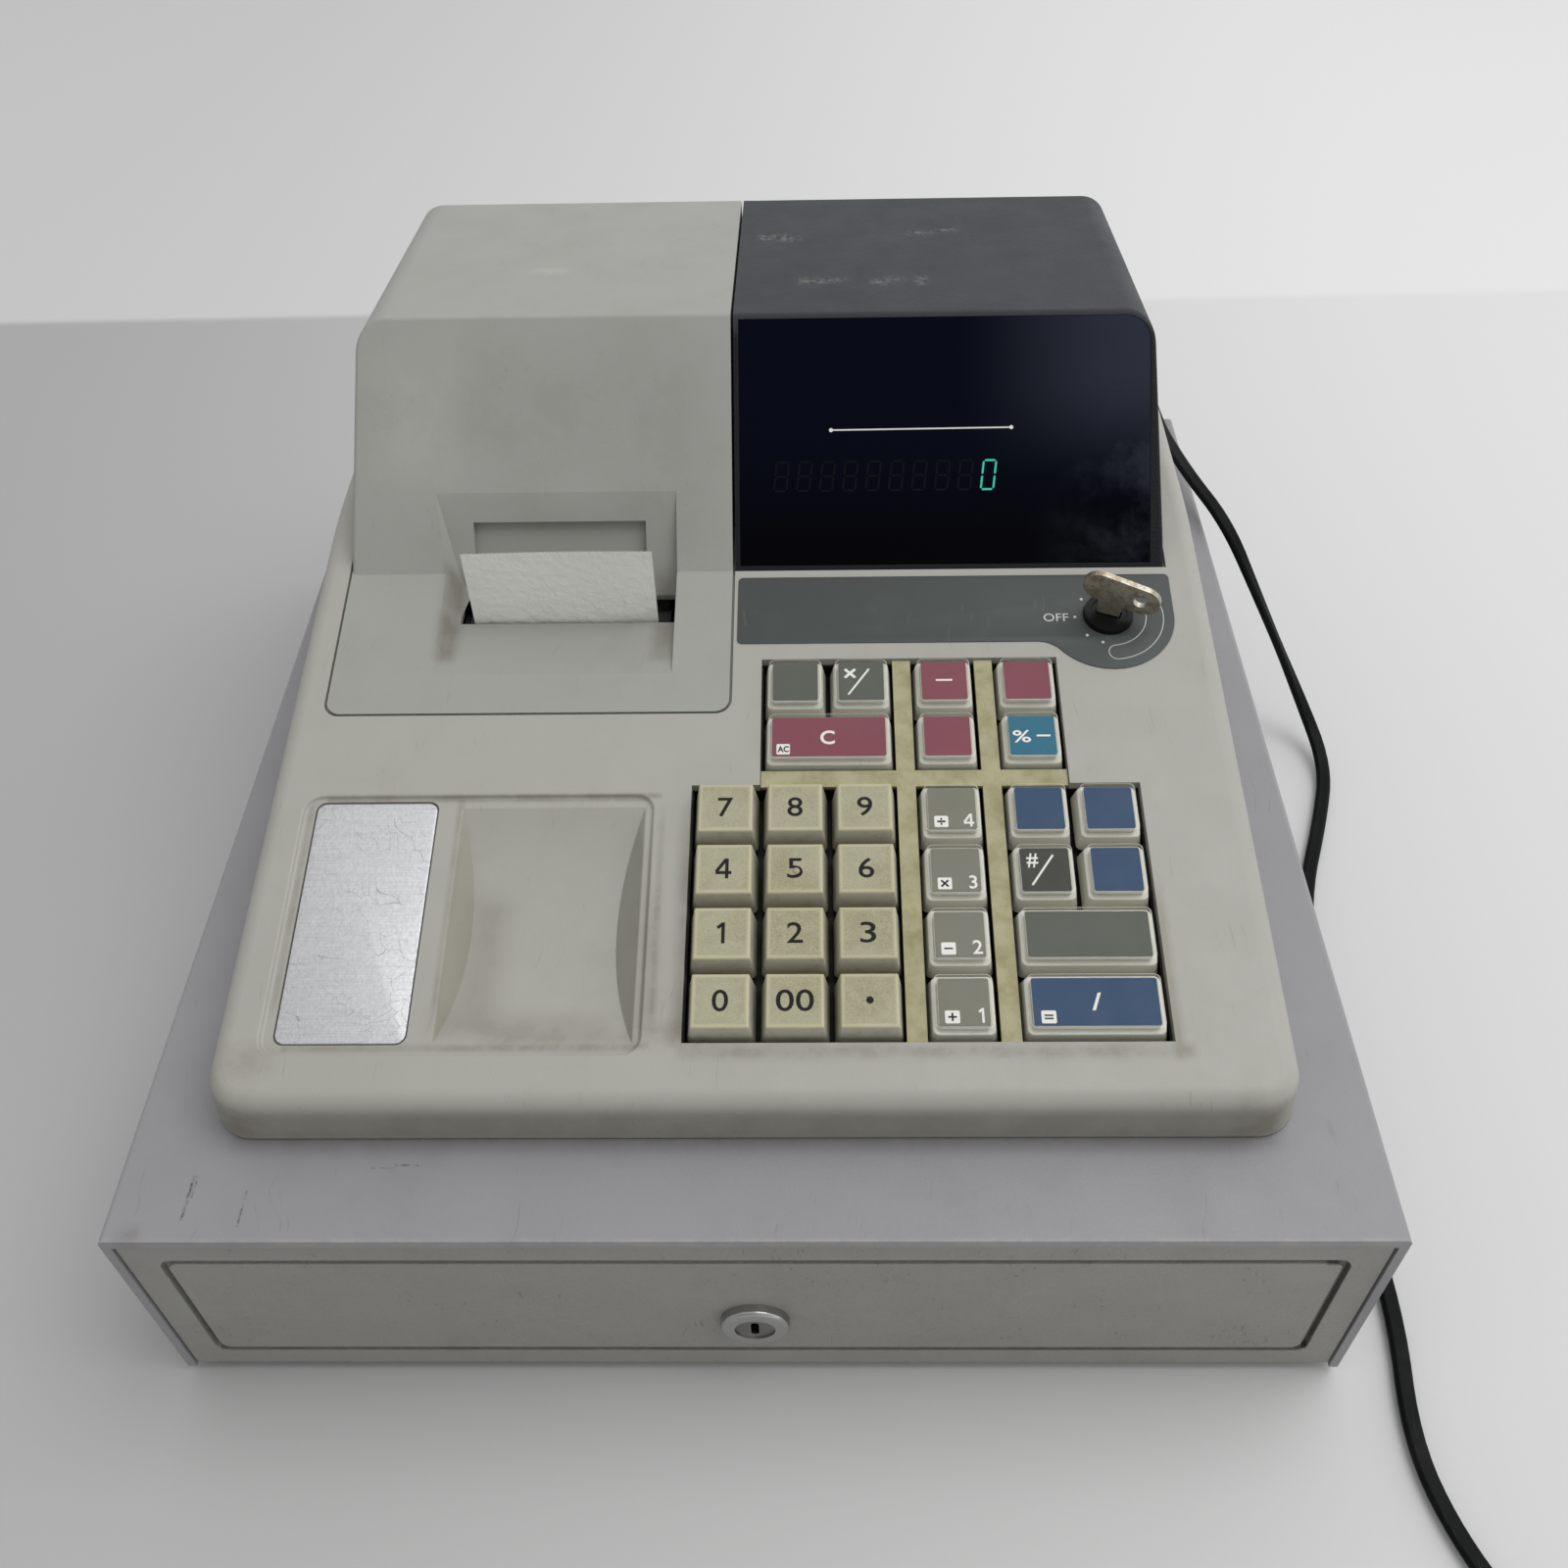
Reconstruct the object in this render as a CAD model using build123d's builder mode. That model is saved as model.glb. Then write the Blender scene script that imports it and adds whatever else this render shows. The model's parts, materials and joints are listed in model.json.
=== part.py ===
from build123d import *
from math import asin, atan, atan2, cos, degrees, hypot, pi, radians, sin, tan
import os

# A small electronic cash register: a sheet-steel cash drawer below, and on top of it a moulded
# register body with a sloped keyboard deck, a receipt printer under its own cover on the left
# and a display hood on the right.
# Millimetres. X runs to the right, Y to the back and Z up. The origin is under the middle of
# the object, on the surface that it stands on. Heights below are above that surface and depths
# are behind the front edge of the drawer cabinet.

# ---------------------------------------------------------------- driving dimensions
# drawer cabinet
cabinet_width = 330.0
cabinet_depth = 361.0
cabinet_top = 80.5
foot_height = 3.5
foot_diameter = 18.0
foot_inset = 26.0
sheet = 1.2
side_hem = 2.5
top_hem = 3.6
hem_depth = 9.0
lock_proud = 2.5

# register body on the cabinet
body_width = 277.0
body_flare = 0.084
body_front = 29.0
body_front_height = 17.5
deck_start = 30.0
deck_slope = 0.205
shoulder_start = 225.0
shoulder_slope = 0.0147
crease_radius = 120.0
body_corner = 11.0
body_back_corner = 6.5
body_edge = 5.5
shadow_gap = 0.7
side_wall = 2.5
deck_wall = 3.2
cover_step = 1.8
cover_gap = 0.8
apron_start = 147.0
apron_corner = 4.5
ledge = 3.2
front_ledge = 5.0

# hoods over the printer and the display
hood_base = 200.0
hood_crease_depth = 255.0
hood_crease_rise = 110.2
hood_back_rise = 95.5
hood_left = 128.8
hood_right = 127.0
hood_lean = 2.9
hood_seam = -7.7
hood_edge = 9.5
hood_crisp = 1.4
hood_wall = 2.2

# keyboard
key_pitch = 19.64
key_bar = 5.0
key_first_column = -8.0
key_first_row = 25.7
key_base = 18.3
key_top = 15.2
key_rise = 4.1
clear_key_rise = 3.4
key_skirt = 5.5
key_travel = 2.5
key_stem = 5.0
key_collar = 8.0
collar_thickness = 1.0
running = 0.06
well_margin = 0.75
frame_rim = 3.0
frame_floor = 1.6
bar_below_deck = 1.0

# tray on the deck: a name plate and a coin dish in one shallow recess
tray_left = -129.4
tray_right = -29.0
tray_front = 12.6
tray_length = 78.8
tray_depth = 1.2
tray_corner = 5.0
plate_left = -126.0
plate_width = 35.0
plate_front = 16.0
plate_length = 73.9
plate_thickness = 1.5
dish_left = -84.5
dish_margin = 1.2
dish_depth = 10.0
dish_wall = 2.0
dish_edge = 0.9
tray_edge = 0.7

# receipt outlet
outlet_front = 161.5
outlet_lip = 186.2
outlet_floor_rise = 43.3
outlet_back = 199.5
outlet_top_depth = 217.5
outlet_top_rise = 70.8
outlet_left = -101.6
outlet_low_left = -98.4
outlet_slot_left = -93.8
outlet_right = -25.7
outlet_wall = 1.8
channel_left = -90.3
channel_right = -35.6
channel_top_rise = 63.0
channel_depth = 3.0

# printer, roll and paper
paper_width = 58.0
paper_centre = -60.5
paper_sheet = 0.25
paper_plane = 187.6
paper_top_rise = 70.2
roll_diameter = 60.0
roll_bore = 12.0
roll_depth = 300.0
frame_front = 180.0
frame_back = 320.0
frame_sheet = 2.0
frame_side_gap = 6.0
head_gap = 2.4
platen_diameter = 16.0
platen_rise = 29.5
platen_shaft = 5.0

# display
window_margin = 1.6
window_thickness = 2.0
window_frame = 4.4
tube_width = 82.0
tube_height = 24.0
tube_thickness = 9.0
tube_x = 43.0
tube_row = 29.0

# mode lock
mode_x = 107.6
mode_row = 154.6
mode_ring = 15.5
mode_barrel = 14.0
mode_rotor = 11.0
mode_proud = 2.0
mode_length = 13.0
mode_key_sheet = 1.8

# drawer
drawer_gap = 0.6
drawer_front_thickness = 9.0
drawer_front_set_back = 0.6
pad_margin = 11.5
pad_bottom = 13.5
pad_groove = 2.0
pad_corner = 4.0
pan_floor_height = 8.2
pan_headroom = 14.5
pan_side_room = 15.0
latch_room = 31.4
pan_sheet = 1.0
rail_height = 38.0
rail_size = 8.0
rail_reach = 9.5
slide_gap = 0.2
tray_wall = 2.0
tray_below_rim = 4.8
cam_clearance = 9.0
tray_back_gap = 5.6
coin_cups = 6
coin_length = 92.0
bill_bays = 3
clip_axle = 3.0
clip_arm = 76.0
clip_width = 18.0
clip_sheet = 1.2
clip_pad = 8.0

# drawer lock and latch
lock_height = 33.8
lock_flange = 19.0
lock_barrel = 16.0
lock_plug = 11.0
lock_length = 22.0
cam_length = 24.5
cam_width = 7.0
cam_sheet = 1.6
cam_slot = 25.0
latch_pivot_height = 34.0
latch_width = 10.0
latch_pin = 4.0

# boards inside the body
board_thickness = 1.6
mat_thickness = 1.2
post_radius = 4.0
main_board_left = 5.0
main_board_start = 197.0
main_board_width = 110.0
main_board_length = 130.0
main_board_lift = 3.0
transformer_width = 48.0
transformer_length = 40.0
transformer_height = 38.0
chip_length = 34.0
chip_width = 14.0

# power cord
cord_diameter = 5.2
cord_exit_x = 97.0
cord_exit_rise = 19.5
gland_length = 24.0
gland_root = 11.0
gland_tip = 7.6
coil_middle = 58.0
coil_band = 15.6
coil_height = 10.4

# ---------------------------------------------------------------- derived places
cabinet_front = -(cabinet_depth - lock_proud) / 2
half_cabinet = cabinet_width / 2
body_back = cabinet_depth
body_bottom = cabinet_top + shadow_gap
deck_angle = atan(deck_slope)
deck_start_height = cabinet_top + body_front_height
hood_crease_height = cabinet_top + hood_crease_rise
hood_back_height = cabinet_top + hood_back_rise
outlet_floor = cabinet_top + outlet_floor_rise
outlet_top_height = cabinet_top + outlet_top_rise
channel_top = cabinet_top + channel_top_rise
paper_top = cabinet_top + paper_top_rise
platen_height = cabinet_top + platen_rise
cord_exit_height = cabinet_top + cord_exit_rise
pad_width = cabinet_width - 2 * pad_margin
pad_top = cabinet_top - pad_margin
front_back = drawer_front_set_back + drawer_front_thickness
pan_width = cabinet_width - 2 * pan_side_room
pan_top = cabinet_top - pan_headroom
pan_start = front_back
pan_end = cabinet_depth - latch_room
pan_depth = pan_end - pan_start
tray_width = pan_width - 2 * pan_sheet - 0.6
tray_floor = pan_floor_height + pan_sheet
tray_top = pan_top - tray_below_rim
tray_height = tray_top - tray_floor
tray_start = lock_length + cam_clearance
tray_end = pan_end - tray_back_gap
platen_depth = paper_plane + paper_sheet / 2 + platen_diameter / 2 + 0.05
shoulder_height = deck_start_height + deck_slope * (shoulder_start - deck_start)
back_shoulder = shoulder_height + shoulder_slope * (body_back - shoulder_start)
hood_angle = atan2(hood_crease_height - deck_start_height - deck_slope * (hood_base - deck_start),
                   hood_crease_depth - hood_base)

os.makedirs("parts", exist_ok=True)


# ---------------------------------------------------------------- planes and helpers
def level(height):
    """Horizontal plane; local x is X and local y is the depth behind the cabinet's front."""
    return Plane(origin=(0, cabinet_front, height))


def side(x=0.0):
    """Upright plane across X; local x is the depth and local y the height."""
    return Plane(origin=(x, cabinet_front, 0), x_dir=(0, 1, 0), z_dir=(1, 0, 0))


def facing(depth=0.0):
    """Upright plane that faces the front; local x is X and local y the height."""
    return Plane(origin=(0, cabinet_front + depth, 0), x_dir=(1, 0, 0), z_dir=(0, -1, 0))


def deck(rise=0.0):
    """Plane of the sloped deck; local y runs up the slope from the deck's front edge."""
    normal = Vector(0, -sin(deck_angle), cos(deck_angle))
    start = Vector(0, cabinet_front + deck_start, deck_start_height)
    return Plane(origin=start + normal * rise, x_dir=(1, 0, 0), z_dir=normal)


def hood_face(rise=0.0):
    """Plane of the hoods' leaning front; local y runs up it from the deck."""
    normal = Vector(0, -sin(hood_angle), cos(hood_angle))
    start = Vector(0, cabinet_front + hood_base, deck_height(hood_base))
    return Plane(origin=start + normal * rise, x_dir=(1, 0, 0), z_dir=normal)


def deck_height(depth):
    """Height of the deck's surface at a depth."""
    return deck_start_height + deck_slope * (depth - deck_start)


def deck_row(depth):
    """Distance up the deck's slope at a depth."""
    return (depth - deck_start) / cos(deck_angle)


def world(point):
    """A place in the object's own frame, given as X, depth and height."""
    return Vector(point[0], cabinet_front + point[1], point[2])


def body_half(height):
    """Half the body's width at a height: its sides spread towards the bottom."""
    return body_width / 2 + body_flare * (shoulder_height - height)


def span(low, high):
    """Middle and size of a stretch."""
    return (low + high) / 2, high - low


def keep(piece, label):
    """Label a finished piece and write it."""
    piece.label = label
    export_step(piece, f"parts/{label}.step")


# ---------------------------------------------------------------- drawer cabinet
with BuildPart() as rubber_feet:
    with BuildSketch(level(0)):
        with Locations(*[(sx * (half_cabinet - foot_inset), y)
                         for sx in (-1, 1)
                         for y in (foot_inset, cabinet_depth - foot_inset)]):
            Circle(foot_diameter / 2)
    extrude(amount=foot_height)
keep(rubber_feet.part, "rubber_feet")

cabinet_bottom = foot_height
rail_channel = rail_size + 2 * slide_gap + 2 * sheet
channel_inside = pan_width / 2 + 3.0
with BuildPart() as cabinet_shell:
    with BuildSketch(level(cabinet_bottom)):
        with Locations((0, cabinet_depth / 2)):
            Rectangle(cabinet_width, cabinet_depth)
    extrude(amount=cabinet_top - cabinet_bottom)
    outer_edges = cabinet_shell.edges().filter_by(Axis.Y).group_by(Axis.Z)[-1]
    fillet(outer_edges, radius=1.6)
    with BuildSketch(level(cabinet_bottom)):
        with Locations((0, (cabinet_depth - sheet) / 2)):
            Rectangle(cabinet_width - 2 * sheet, cabinet_depth - sheet)
    extrude(amount=cabinet_top - cabinet_bottom - sheet, mode=Mode.SUBTRACT)
    # folded hems round the drawer's mouth
    with BuildSketch(facing(0)):
        for sx in (-1, 1):
            with Locations((sx * (half_cabinet - side_hem / 2), (cabinet_bottom + cabinet_top - sheet) / 2)):
                Rectangle(side_hem, cabinet_top - sheet - cabinet_bottom)
        with Locations((0, cabinet_top - top_hem / 2)):
            Rectangle(cabinet_width - side_hem, top_hem - 2 * 0.8)
    extrude(amount=-hem_depth)
    with BuildSketch(facing(0)):
        with Locations((0, cabinet_top - (top_hem + sheet) / 2)):
            Rectangle(cabinet_width - side_hem, top_hem - sheet)
    extrude(amount=-sheet)
    # channels that the drawer's rails slide in
    for sx in (-1, 1):
        with BuildSketch(facing(hem_depth + 3)):
            with Locations((sx * (channel_inside + half_cabinet) / 2, rail_height + rail_size / 2)):
                Rectangle(half_cabinet - channel_inside - sheet / 2, rail_channel)
            with Locations((sx * (channel_inside + half_cabinet) / 2 - sx * 2 * sheet,
                            rail_height + rail_size / 2)):
                Rectangle(half_cabinet - channel_inside - sheet / 2, rail_channel - 2 * sheet,
                          mode=Mode.SUBTRACT)
        extrude(amount=-(cabinet_depth - hem_depth - 12))
keep(cabinet_shell.part, "cabinet_shell")

catch_depth = lock_length - 2.0
with BuildPart() as cabinet_floor:
    with BuildSketch(level(cabinet_bottom)):
        with Locations((0, cabinet_depth / 2)):
            Rectangle(cabinet_width - 2 * side_hem - 0.4, cabinet_depth - 2 * sheet - 0.4)
    extrude(amount=sheet)
    # lug that the lock's cam drops behind
    with BuildSketch(level(cabinet_bottom + sheet)):
        with Locations((0, catch_depth)):
            Rectangle(24, 2.4)
    extrude(amount=pan_floor_height - cabinet_bottom - sheet - 0.8)
keep(cabinet_floor.part, "cabinet_floor")

# ---------------------------------------------------------------- drawer
drawer_front_width = cabinet_width - 2 * side_hem - 2 * drawer_gap
drawer_front_bottom = cabinet_bottom + sheet + drawer_gap
drawer_front_top = cabinet_top - top_hem - drawer_gap
with BuildPart() as drawer_front:
    middle, tall = span(drawer_front_bottom, drawer_front_top)
    with BuildSketch(facing(drawer_front_set_back)):
        with Locations((0, middle)):
            RectangleRounded(drawer_front_width, tall, 1.5)
    extrude(amount=-drawer_front_thickness)
    pad_middle, pad_tall = span(pad_bottom, pad_top)
    with BuildSketch(facing(drawer_front_set_back)):
        with Locations((0, pad_middle)):
            RectangleRounded(pad_width, pad_tall, pad_corner)
            RectangleRounded(pad_width - 2 * pad_groove, pad_tall - 2 * pad_groove,
                             pad_corner - pad_groove / 2, mode=Mode.SUBTRACT)
    extrude(amount=-pad_groove, mode=Mode.SUBTRACT)
    with BuildSketch(facing(drawer_front_set_back)):
        with Locations((0, lock_height)):
            Circle(lock_barrel / 2 + running)
    extrude(amount=-drawer_front_thickness, mode=Mode.SUBTRACT)
keep(drawer_front.part, "drawer_front")

striker_height = 18.0
striker_lip = 8.0
striker_reach = 12.0
with BuildPart() as drawer_pan:
    with BuildSketch(level(pan_floor_height)):
        with Locations((0, (pan_start + pan_end) / 2)):
            Rectangle(pan_width, pan_depth)
    extrude(amount=pan_top - pan_floor_height)
    with BuildSketch(level(pan_floor_height + pan_sheet)):
        with Locations((0, (pan_start + pan_end) / 2)):
            Rectangle(pan_width - 2 * pan_sheet, pan_depth - 2 * pan_sheet)
    extrude(amount=pan_top - pan_floor_height, mode=Mode.SUBTRACT)
    # rails on both sides
    with BuildSketch(facing(pan_start + 4)):
        for sx in (-1, 1):
            with Locations((sx * (pan_width / 2 + rail_reach / 2 - 0.1), rail_height + rail_size / 2)):
                Rectangle(rail_reach + 0.2, rail_size)
    extrude(amount=-(pan_depth - 4))
    # hole for the lock and slot for its cam
    with BuildSketch(facing(pan_start)):
        with Locations((0, lock_height)):
            Circle(lock_barrel / 2 + 0.3)
    extrude(amount=-pan_sheet, mode=Mode.SUBTRACT)
    with BuildSketch(level(pan_floor_height)):
        with Locations((cam_slot / 2 - cam_width, lock_length + cam_sheet / 2)):
            Rectangle(cam_slot, cam_sheet + 3)
    extrude(amount=pan_sheet, mode=Mode.SUBTRACT)
    # striker that the latch hooks
    with BuildSketch(side(-latch_width)):
        with BuildLine():
            Polyline((pan_end - 0.5, striker_height), (pan_end + striker_reach, striker_height),
                     (pan_end + striker_reach, striker_height + striker_lip),
                     (pan_end + striker_reach - 1.5, striker_height + striker_lip),
                     (pan_end + striker_reach - 1.5, striker_height + 1.5),
                     (pan_end - 0.5, striker_height + 1.5), close=True)
        make_face()
    extrude(amount=2 * latch_width)
keep(drawer_pan.part, "drawer_pan")

coin_pitch = (tray_width - tray_wall) / coin_cups
coin_start = tray_start + tray_wall
coin_end = coin_start + coin_length
bay_pitch = (tray_width - tray_wall) / bill_bays
bay_start = coin_end + tray_wall
bay_end = tray_end - tray_wall
cup_round = 26.0
clip_axle_depth = bay_end - 12.0
clip_axle_height = tray_top - 7.0
with BuildPart() as money_tray:
    with BuildSketch(level(tray_floor)):
        with Locations((0, (tray_start + tray_end) / 2)):
            RectangleRounded(tray_width, tray_end - tray_start, 3)
    extrude(amount=tray_height)
    # coin cups with a scooped floor
    for cup in range(coin_cups):
        left = -tray_width / 2 + tray_wall + cup * coin_pitch
        with BuildSketch(side(left)):
            with BuildLine():
                Line((coin_start, tray_top + 1), (coin_start, tray_floor + tray_wall + cup_round))
                RadiusArc((coin_start, tray_floor + tray_wall + cup_round),
                          (coin_start + cup_round, tray_floor + tray_wall), -cup_round)
                Polyline((coin_start + cup_round, tray_floor + tray_wall),
                         (coin_end, tray_floor + tray_wall), (coin_end, tray_top + 1),
                         (coin_start, tray_top + 1))
            make_face()
        extrude(amount=coin_pitch - tray_wall, mode=Mode.SUBTRACT)
    # bill bays
    for bay in range(bill_bays):
        left = -tray_width / 2 + tray_wall + bay * bay_pitch
        with BuildSketch(level(tray_floor + tray_wall)):
            with Locations((left + (bay_pitch - tray_wall) / 2, (bay_start + bay_end) / 2)):
                Rectangle(bay_pitch - tray_wall, bay_end - bay_start)
        extrude(amount=tray_height, mode=Mode.SUBTRACT)
    # holes in the walls for the ends of the clips' axles
    with BuildSketch(side(-tray_width / 2)):
        with Locations((clip_axle_depth, clip_axle_height)):
            Circle(clip_axle / 2 + running)
    extrude(amount=tray_width, mode=Mode.SUBTRACT)
keep(money_tray.part, "money_tray")


def bill_clip(bay, label):
    """Sprung clip of one bill bay: an axle, an arm that leans down to the floor and a pad."""
    left = -tray_width / 2 + tray_wall + bay * bay_pitch
    inner = bay_pitch - tray_wall
    drop = clip_axle_height - tray_floor - tray_wall - clip_pad / 2 - 0.3
    tip_depth = clip_axle_depth - (clip_arm ** 2 - drop ** 2) ** 0.5
    tip_height = clip_axle_height - drop
    end_gap = 0.15
    with BuildPart() as clip:
        with BuildSketch(side(left - tray_wall / 2 + end_gap)):
            with Locations((clip_axle_depth, clip_axle_height)):
                Circle(clip_axle / 2)
        extrude(amount=inner + tray_wall - 2 * end_gap)
        with BuildSketch(side(left + (inner - clip_width) / 2)):
            with Locations((clip_axle_depth, clip_axle_height)):
                Circle(clip_axle / 2 + clip_sheet)
            with BuildLine():
                Polyline((clip_axle_depth, clip_axle_height + clip_sheet),
                         (tip_depth, tip_height + clip_sheet / 2),
                         (tip_depth, tip_height - clip_sheet / 2),
                         (clip_axle_depth, clip_axle_height - clip_sheet), close=True)
            make_face()
            with Locations((tip_depth, tip_height)):
                Circle(clip_pad / 2)
        extrude(amount=clip_width)
    keep(clip.part, label)


for bay_number, bay_name in enumerate(("left", "middle", "right")):
    bill_clip(bay_number, f"bill_clip_{bay_name}")

# ---------------------------------------------------------------- drawer lock
with BuildPart() as drawer_lock:
    with BuildSketch(facing(drawer_front_set_back)):
        with Locations((0, lock_height)):
            Circle(lock_flange / 2)
    extrude(amount=lock_proud + drawer_front_set_back)
    fillet(drawer_lock.edges().group_by(Axis.Y)[0], radius=1.2)
    with BuildSketch(facing(drawer_front_set_back)):
        with Locations((0, lock_height)):
            Circle(lock_barrel / 2)
    extrude(amount=-(lock_length - 1.0))
    with BuildSketch(facing(-lock_proud - 1)):
        with Locations((0, lock_height)):
            Circle(lock_plug / 2 + running)
    extrude(amount=-(lock_length + lock_proud + 4), mode=Mode.SUBTRACT)
keep(drawer_lock.part, "drawer_lock")

with BuildPart() as lock_cylinder:
    with BuildSketch(facing(-lock_proud + 0.5)):
        with Locations((0, lock_height)):
            Circle(lock_plug / 2)
    extrude(amount=-(lock_length + lock_proud - 0.5))
    with BuildSketch(facing(-lock_proud + 0.5)):
        with Locations((0, lock_height)):
            SlotOverall(lock_plug * 0.62, 2.2, rotation=90)
    extrude(amount=-6, mode=Mode.SUBTRACT)
    with BuildSketch(facing(lock_length)):
        with Locations((cam_length / 2, lock_height)):
            SlotCenterToCenter(cam_length, cam_width)
    extrude(amount=-cam_sheet)
keep(lock_cylinder.part, "lock_cylinder")

# ---------------------------------------------------------------- drawer latch
latch_depth = pan_end + striker_reach + 11.0
tooth_front = pan_end + 1.6
tooth_back = tooth_front + 4.0
tooth_bottom = striker_height + striker_lip + 1.5
arm_bottom = tooth_bottom + 3.5
with BuildPart() as drawer_latch:
    with BuildSketch(side(-latch_width / 2)):
        with BuildLine():
            Polyline((tooth_front, tooth_bottom), (tooth_back, tooth_bottom), (tooth_back, arm_bottom),
                     (latch_depth, arm_bottom), (latch_depth, arm_bottom + 6.0),
                     (tooth_front, arm_bottom + 6.0), close=True)
        make_face()
        with Locations((latch_depth, latch_pivot_height)):
            Circle(latch_pin / 2 + 2.2)
            Circle(latch_pin / 2 + running, mode=Mode.SUBTRACT)
    extrude(amount=latch_width)
keep(drawer_latch.part, "drawer_latch")

ear_gap = 0.2
back_inside = cabinet_depth - sheet
coil_case = 22.0
with BuildPart() as release_solenoid:
    # mounting plate on the cabinet's back wall, two ears and the pin between them
    with BuildSketch(facing(back_inside)):
        with Locations((0, latch_pivot_height + 12)):
            Rectangle(40, 44)
    extrude(amount=1.5)
    for sx in (-1, 1):
        with BuildSketch(side(sx * (latch_width / 2 + ear_gap + 1) - 1)):
            with BuildLine():
                Polyline((back_inside, latch_pivot_height - 8), (latch_depth, latch_pivot_height - 4),
                         (latch_depth - 3.5, latch_pivot_height), (latch_depth, latch_pivot_height + 4),
                         (back_inside, latch_pivot_height + 8), close=True)
            make_face()
        extrude(amount=2)
    with BuildSketch(side(-latch_width / 2 - ear_gap - 1)):
        with Locations((latch_depth, latch_pivot_height)):
            Circle(latch_pin / 2)
    extrude(amount=latch_width + 2 * ear_gap + 2)
    # winding
    with BuildSketch(level(latch_pivot_height + 11)):
        with Locations((0, back_inside - 1.5 - coil_case / 2 + 0.2)):
            RectangleRounded(30, coil_case, 3)
    extrude(amount=22)
keep(release_solenoid.part, "release_solenoid")

# ---------------------------------------------------------------- places of the keys
key_columns = [key_first_column + n * key_pitch for n in range(3)]
key_columns.append(key_columns[2] + key_pitch + key_bar)
key_columns.append(key_columns[3] + key_pitch + key_bar)
key_columns.append(key_columns[4] + key_pitch)
key_rows = [key_first_row + n * key_pitch for n in range(4)]
key_rows.append(key_rows[3] + key_pitch + key_bar)
key_rows.append(key_rows[4] + key_pitch)
half_pitch = key_pitch / 2
reach = half_pitch + well_margin - 0.4
lower_left = key_columns[0] - reach
lower_right = key_columns[5] + reach
lower_front = key_rows[0] - reach
lower_back = key_rows[3] + half_pitch
upper_left = key_columns[1] - reach
upper_right = key_columns[4] + half_pitch
upper_front = lower_back + key_bar
upper_back = key_rows[5] + reach

# ---------------------------------------------------------------- register body: lower case
nest_gap = 0.2
rim_height = 8.0
floor_wall = 2.5
inside_half = body_half(cabinet_top + floor_wall + rim_height) - side_wall - nest_gap
inside_front = body_front + side_wall + nest_gap
inside_back = body_back - side_wall - nest_gap
floor_top = cabinet_top + floor_wall
mat_rise = -(key_skirt + key_travel + 0.6 + frame_floor + 0.1 + collar_thickness + key_travel + 0.2)
board_rise = mat_rise - mat_thickness - board_thickness
post_rows = (lower_front + 6, lower_back - 6)
board_posts = [(x, row) for x in (lower_left + 3, lower_right - 3) for row in post_rows]
board_posts += [(x, upper_back - 6) for x in (upper_left + 3, upper_right - 3)]
paper_wrap = platen_diameter / 2 + paper_sheet / 2 + 0.05
strip_height = platen_height - paper_wrap
roll_centre = strip_height + paper_sheet / 2 + 0.3 + roll_diameter / 2


def posts_under_board():
    """Posts that stand on the floor and end on the slope of the keyboard's board."""
    with BuildPart(mode=Mode.PRIVATE) as posts:
        with BuildSketch(level(floor_top - 0.5)):
            with Locations(*[(x, deck_start + row * cos(deck_angle)) for x, row in board_posts]):
                Circle(post_radius)
        extrude(amount=hood_crease_rise)
        with BuildSketch(deck(board_rise)):
            Rectangle(2 * cabinet_width, 2 * cabinet_depth)
        extrude(amount=2 * hood_crease_rise, mode=Mode.SUBTRACT)
    return posts.part


with BuildPart() as lower_case:
    plan_middle, plan_length = span(inside_front, inside_back)
    with BuildSketch(level(cabinet_top)):
        with Locations((0, plan_middle)):
            RectangleRounded(2 * inside_half, plan_length, body_back_corner)
    extrude(amount=floor_wall + rim_height)
    with BuildSketch(level(floor_top)):
        with Locations((0, plan_middle)):
            RectangleRounded(2 * (inside_half - 2), plan_length - 4, body_back_corner - 2)
    extrude(amount=rim_height, mode=Mode.SUBTRACT)
    add(posts_under_board())
keep(lower_case.part, "lower_case")

# ---------------------------------------------------------------- register body: upper case
dish_front = tray_front + dish_margin
dish_back = tray_front + tray_length - dish_margin
dish_right = tray_right - dish_margin
dish_radius = ((dish_back - dish_front) ** 2 / 4 + dish_depth ** 2) / (2 * dish_depth)


def body_block(wall, roof, drop):
    """The register body as a solid, set in by a wall and a roof, extended down by a drop."""
    front = body_front + wall
    back = body_back - wall
    down = roof / cos(deck_angle)
    bottom = body_bottom - drop
    top = back_shoulder + 10
    with BuildPart(mode=Mode.PRIVATE) as block:
        with BuildSketch(side(-cabinet_width / 2)) as outline:
            with BuildLine():
                Polyline((front, bottom), (front, deck_height(front) - down),
                         (shoulder_start, shoulder_height - roof), (back, back_shoulder - roof),
                         (back, bottom), close=True)
            make_face()
            crease = outline.vertices().sort_by(Axis.Y)[-2]
            fillet(crease, radius=crease_radius)
        extrude(amount=cabinet_width)
        with BuildSketch(facing(0)):
            with BuildLine():
                Polyline((-body_half(bottom) + wall, bottom), (body_half(bottom) - wall, bottom),
                         (body_half(top) - wall, top), (-body_half(top) + wall, top), close=True)
            make_face()
        extrude(amount=-2 * cabinet_depth, mode=Mode.INTERSECT)
    return block.part


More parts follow.
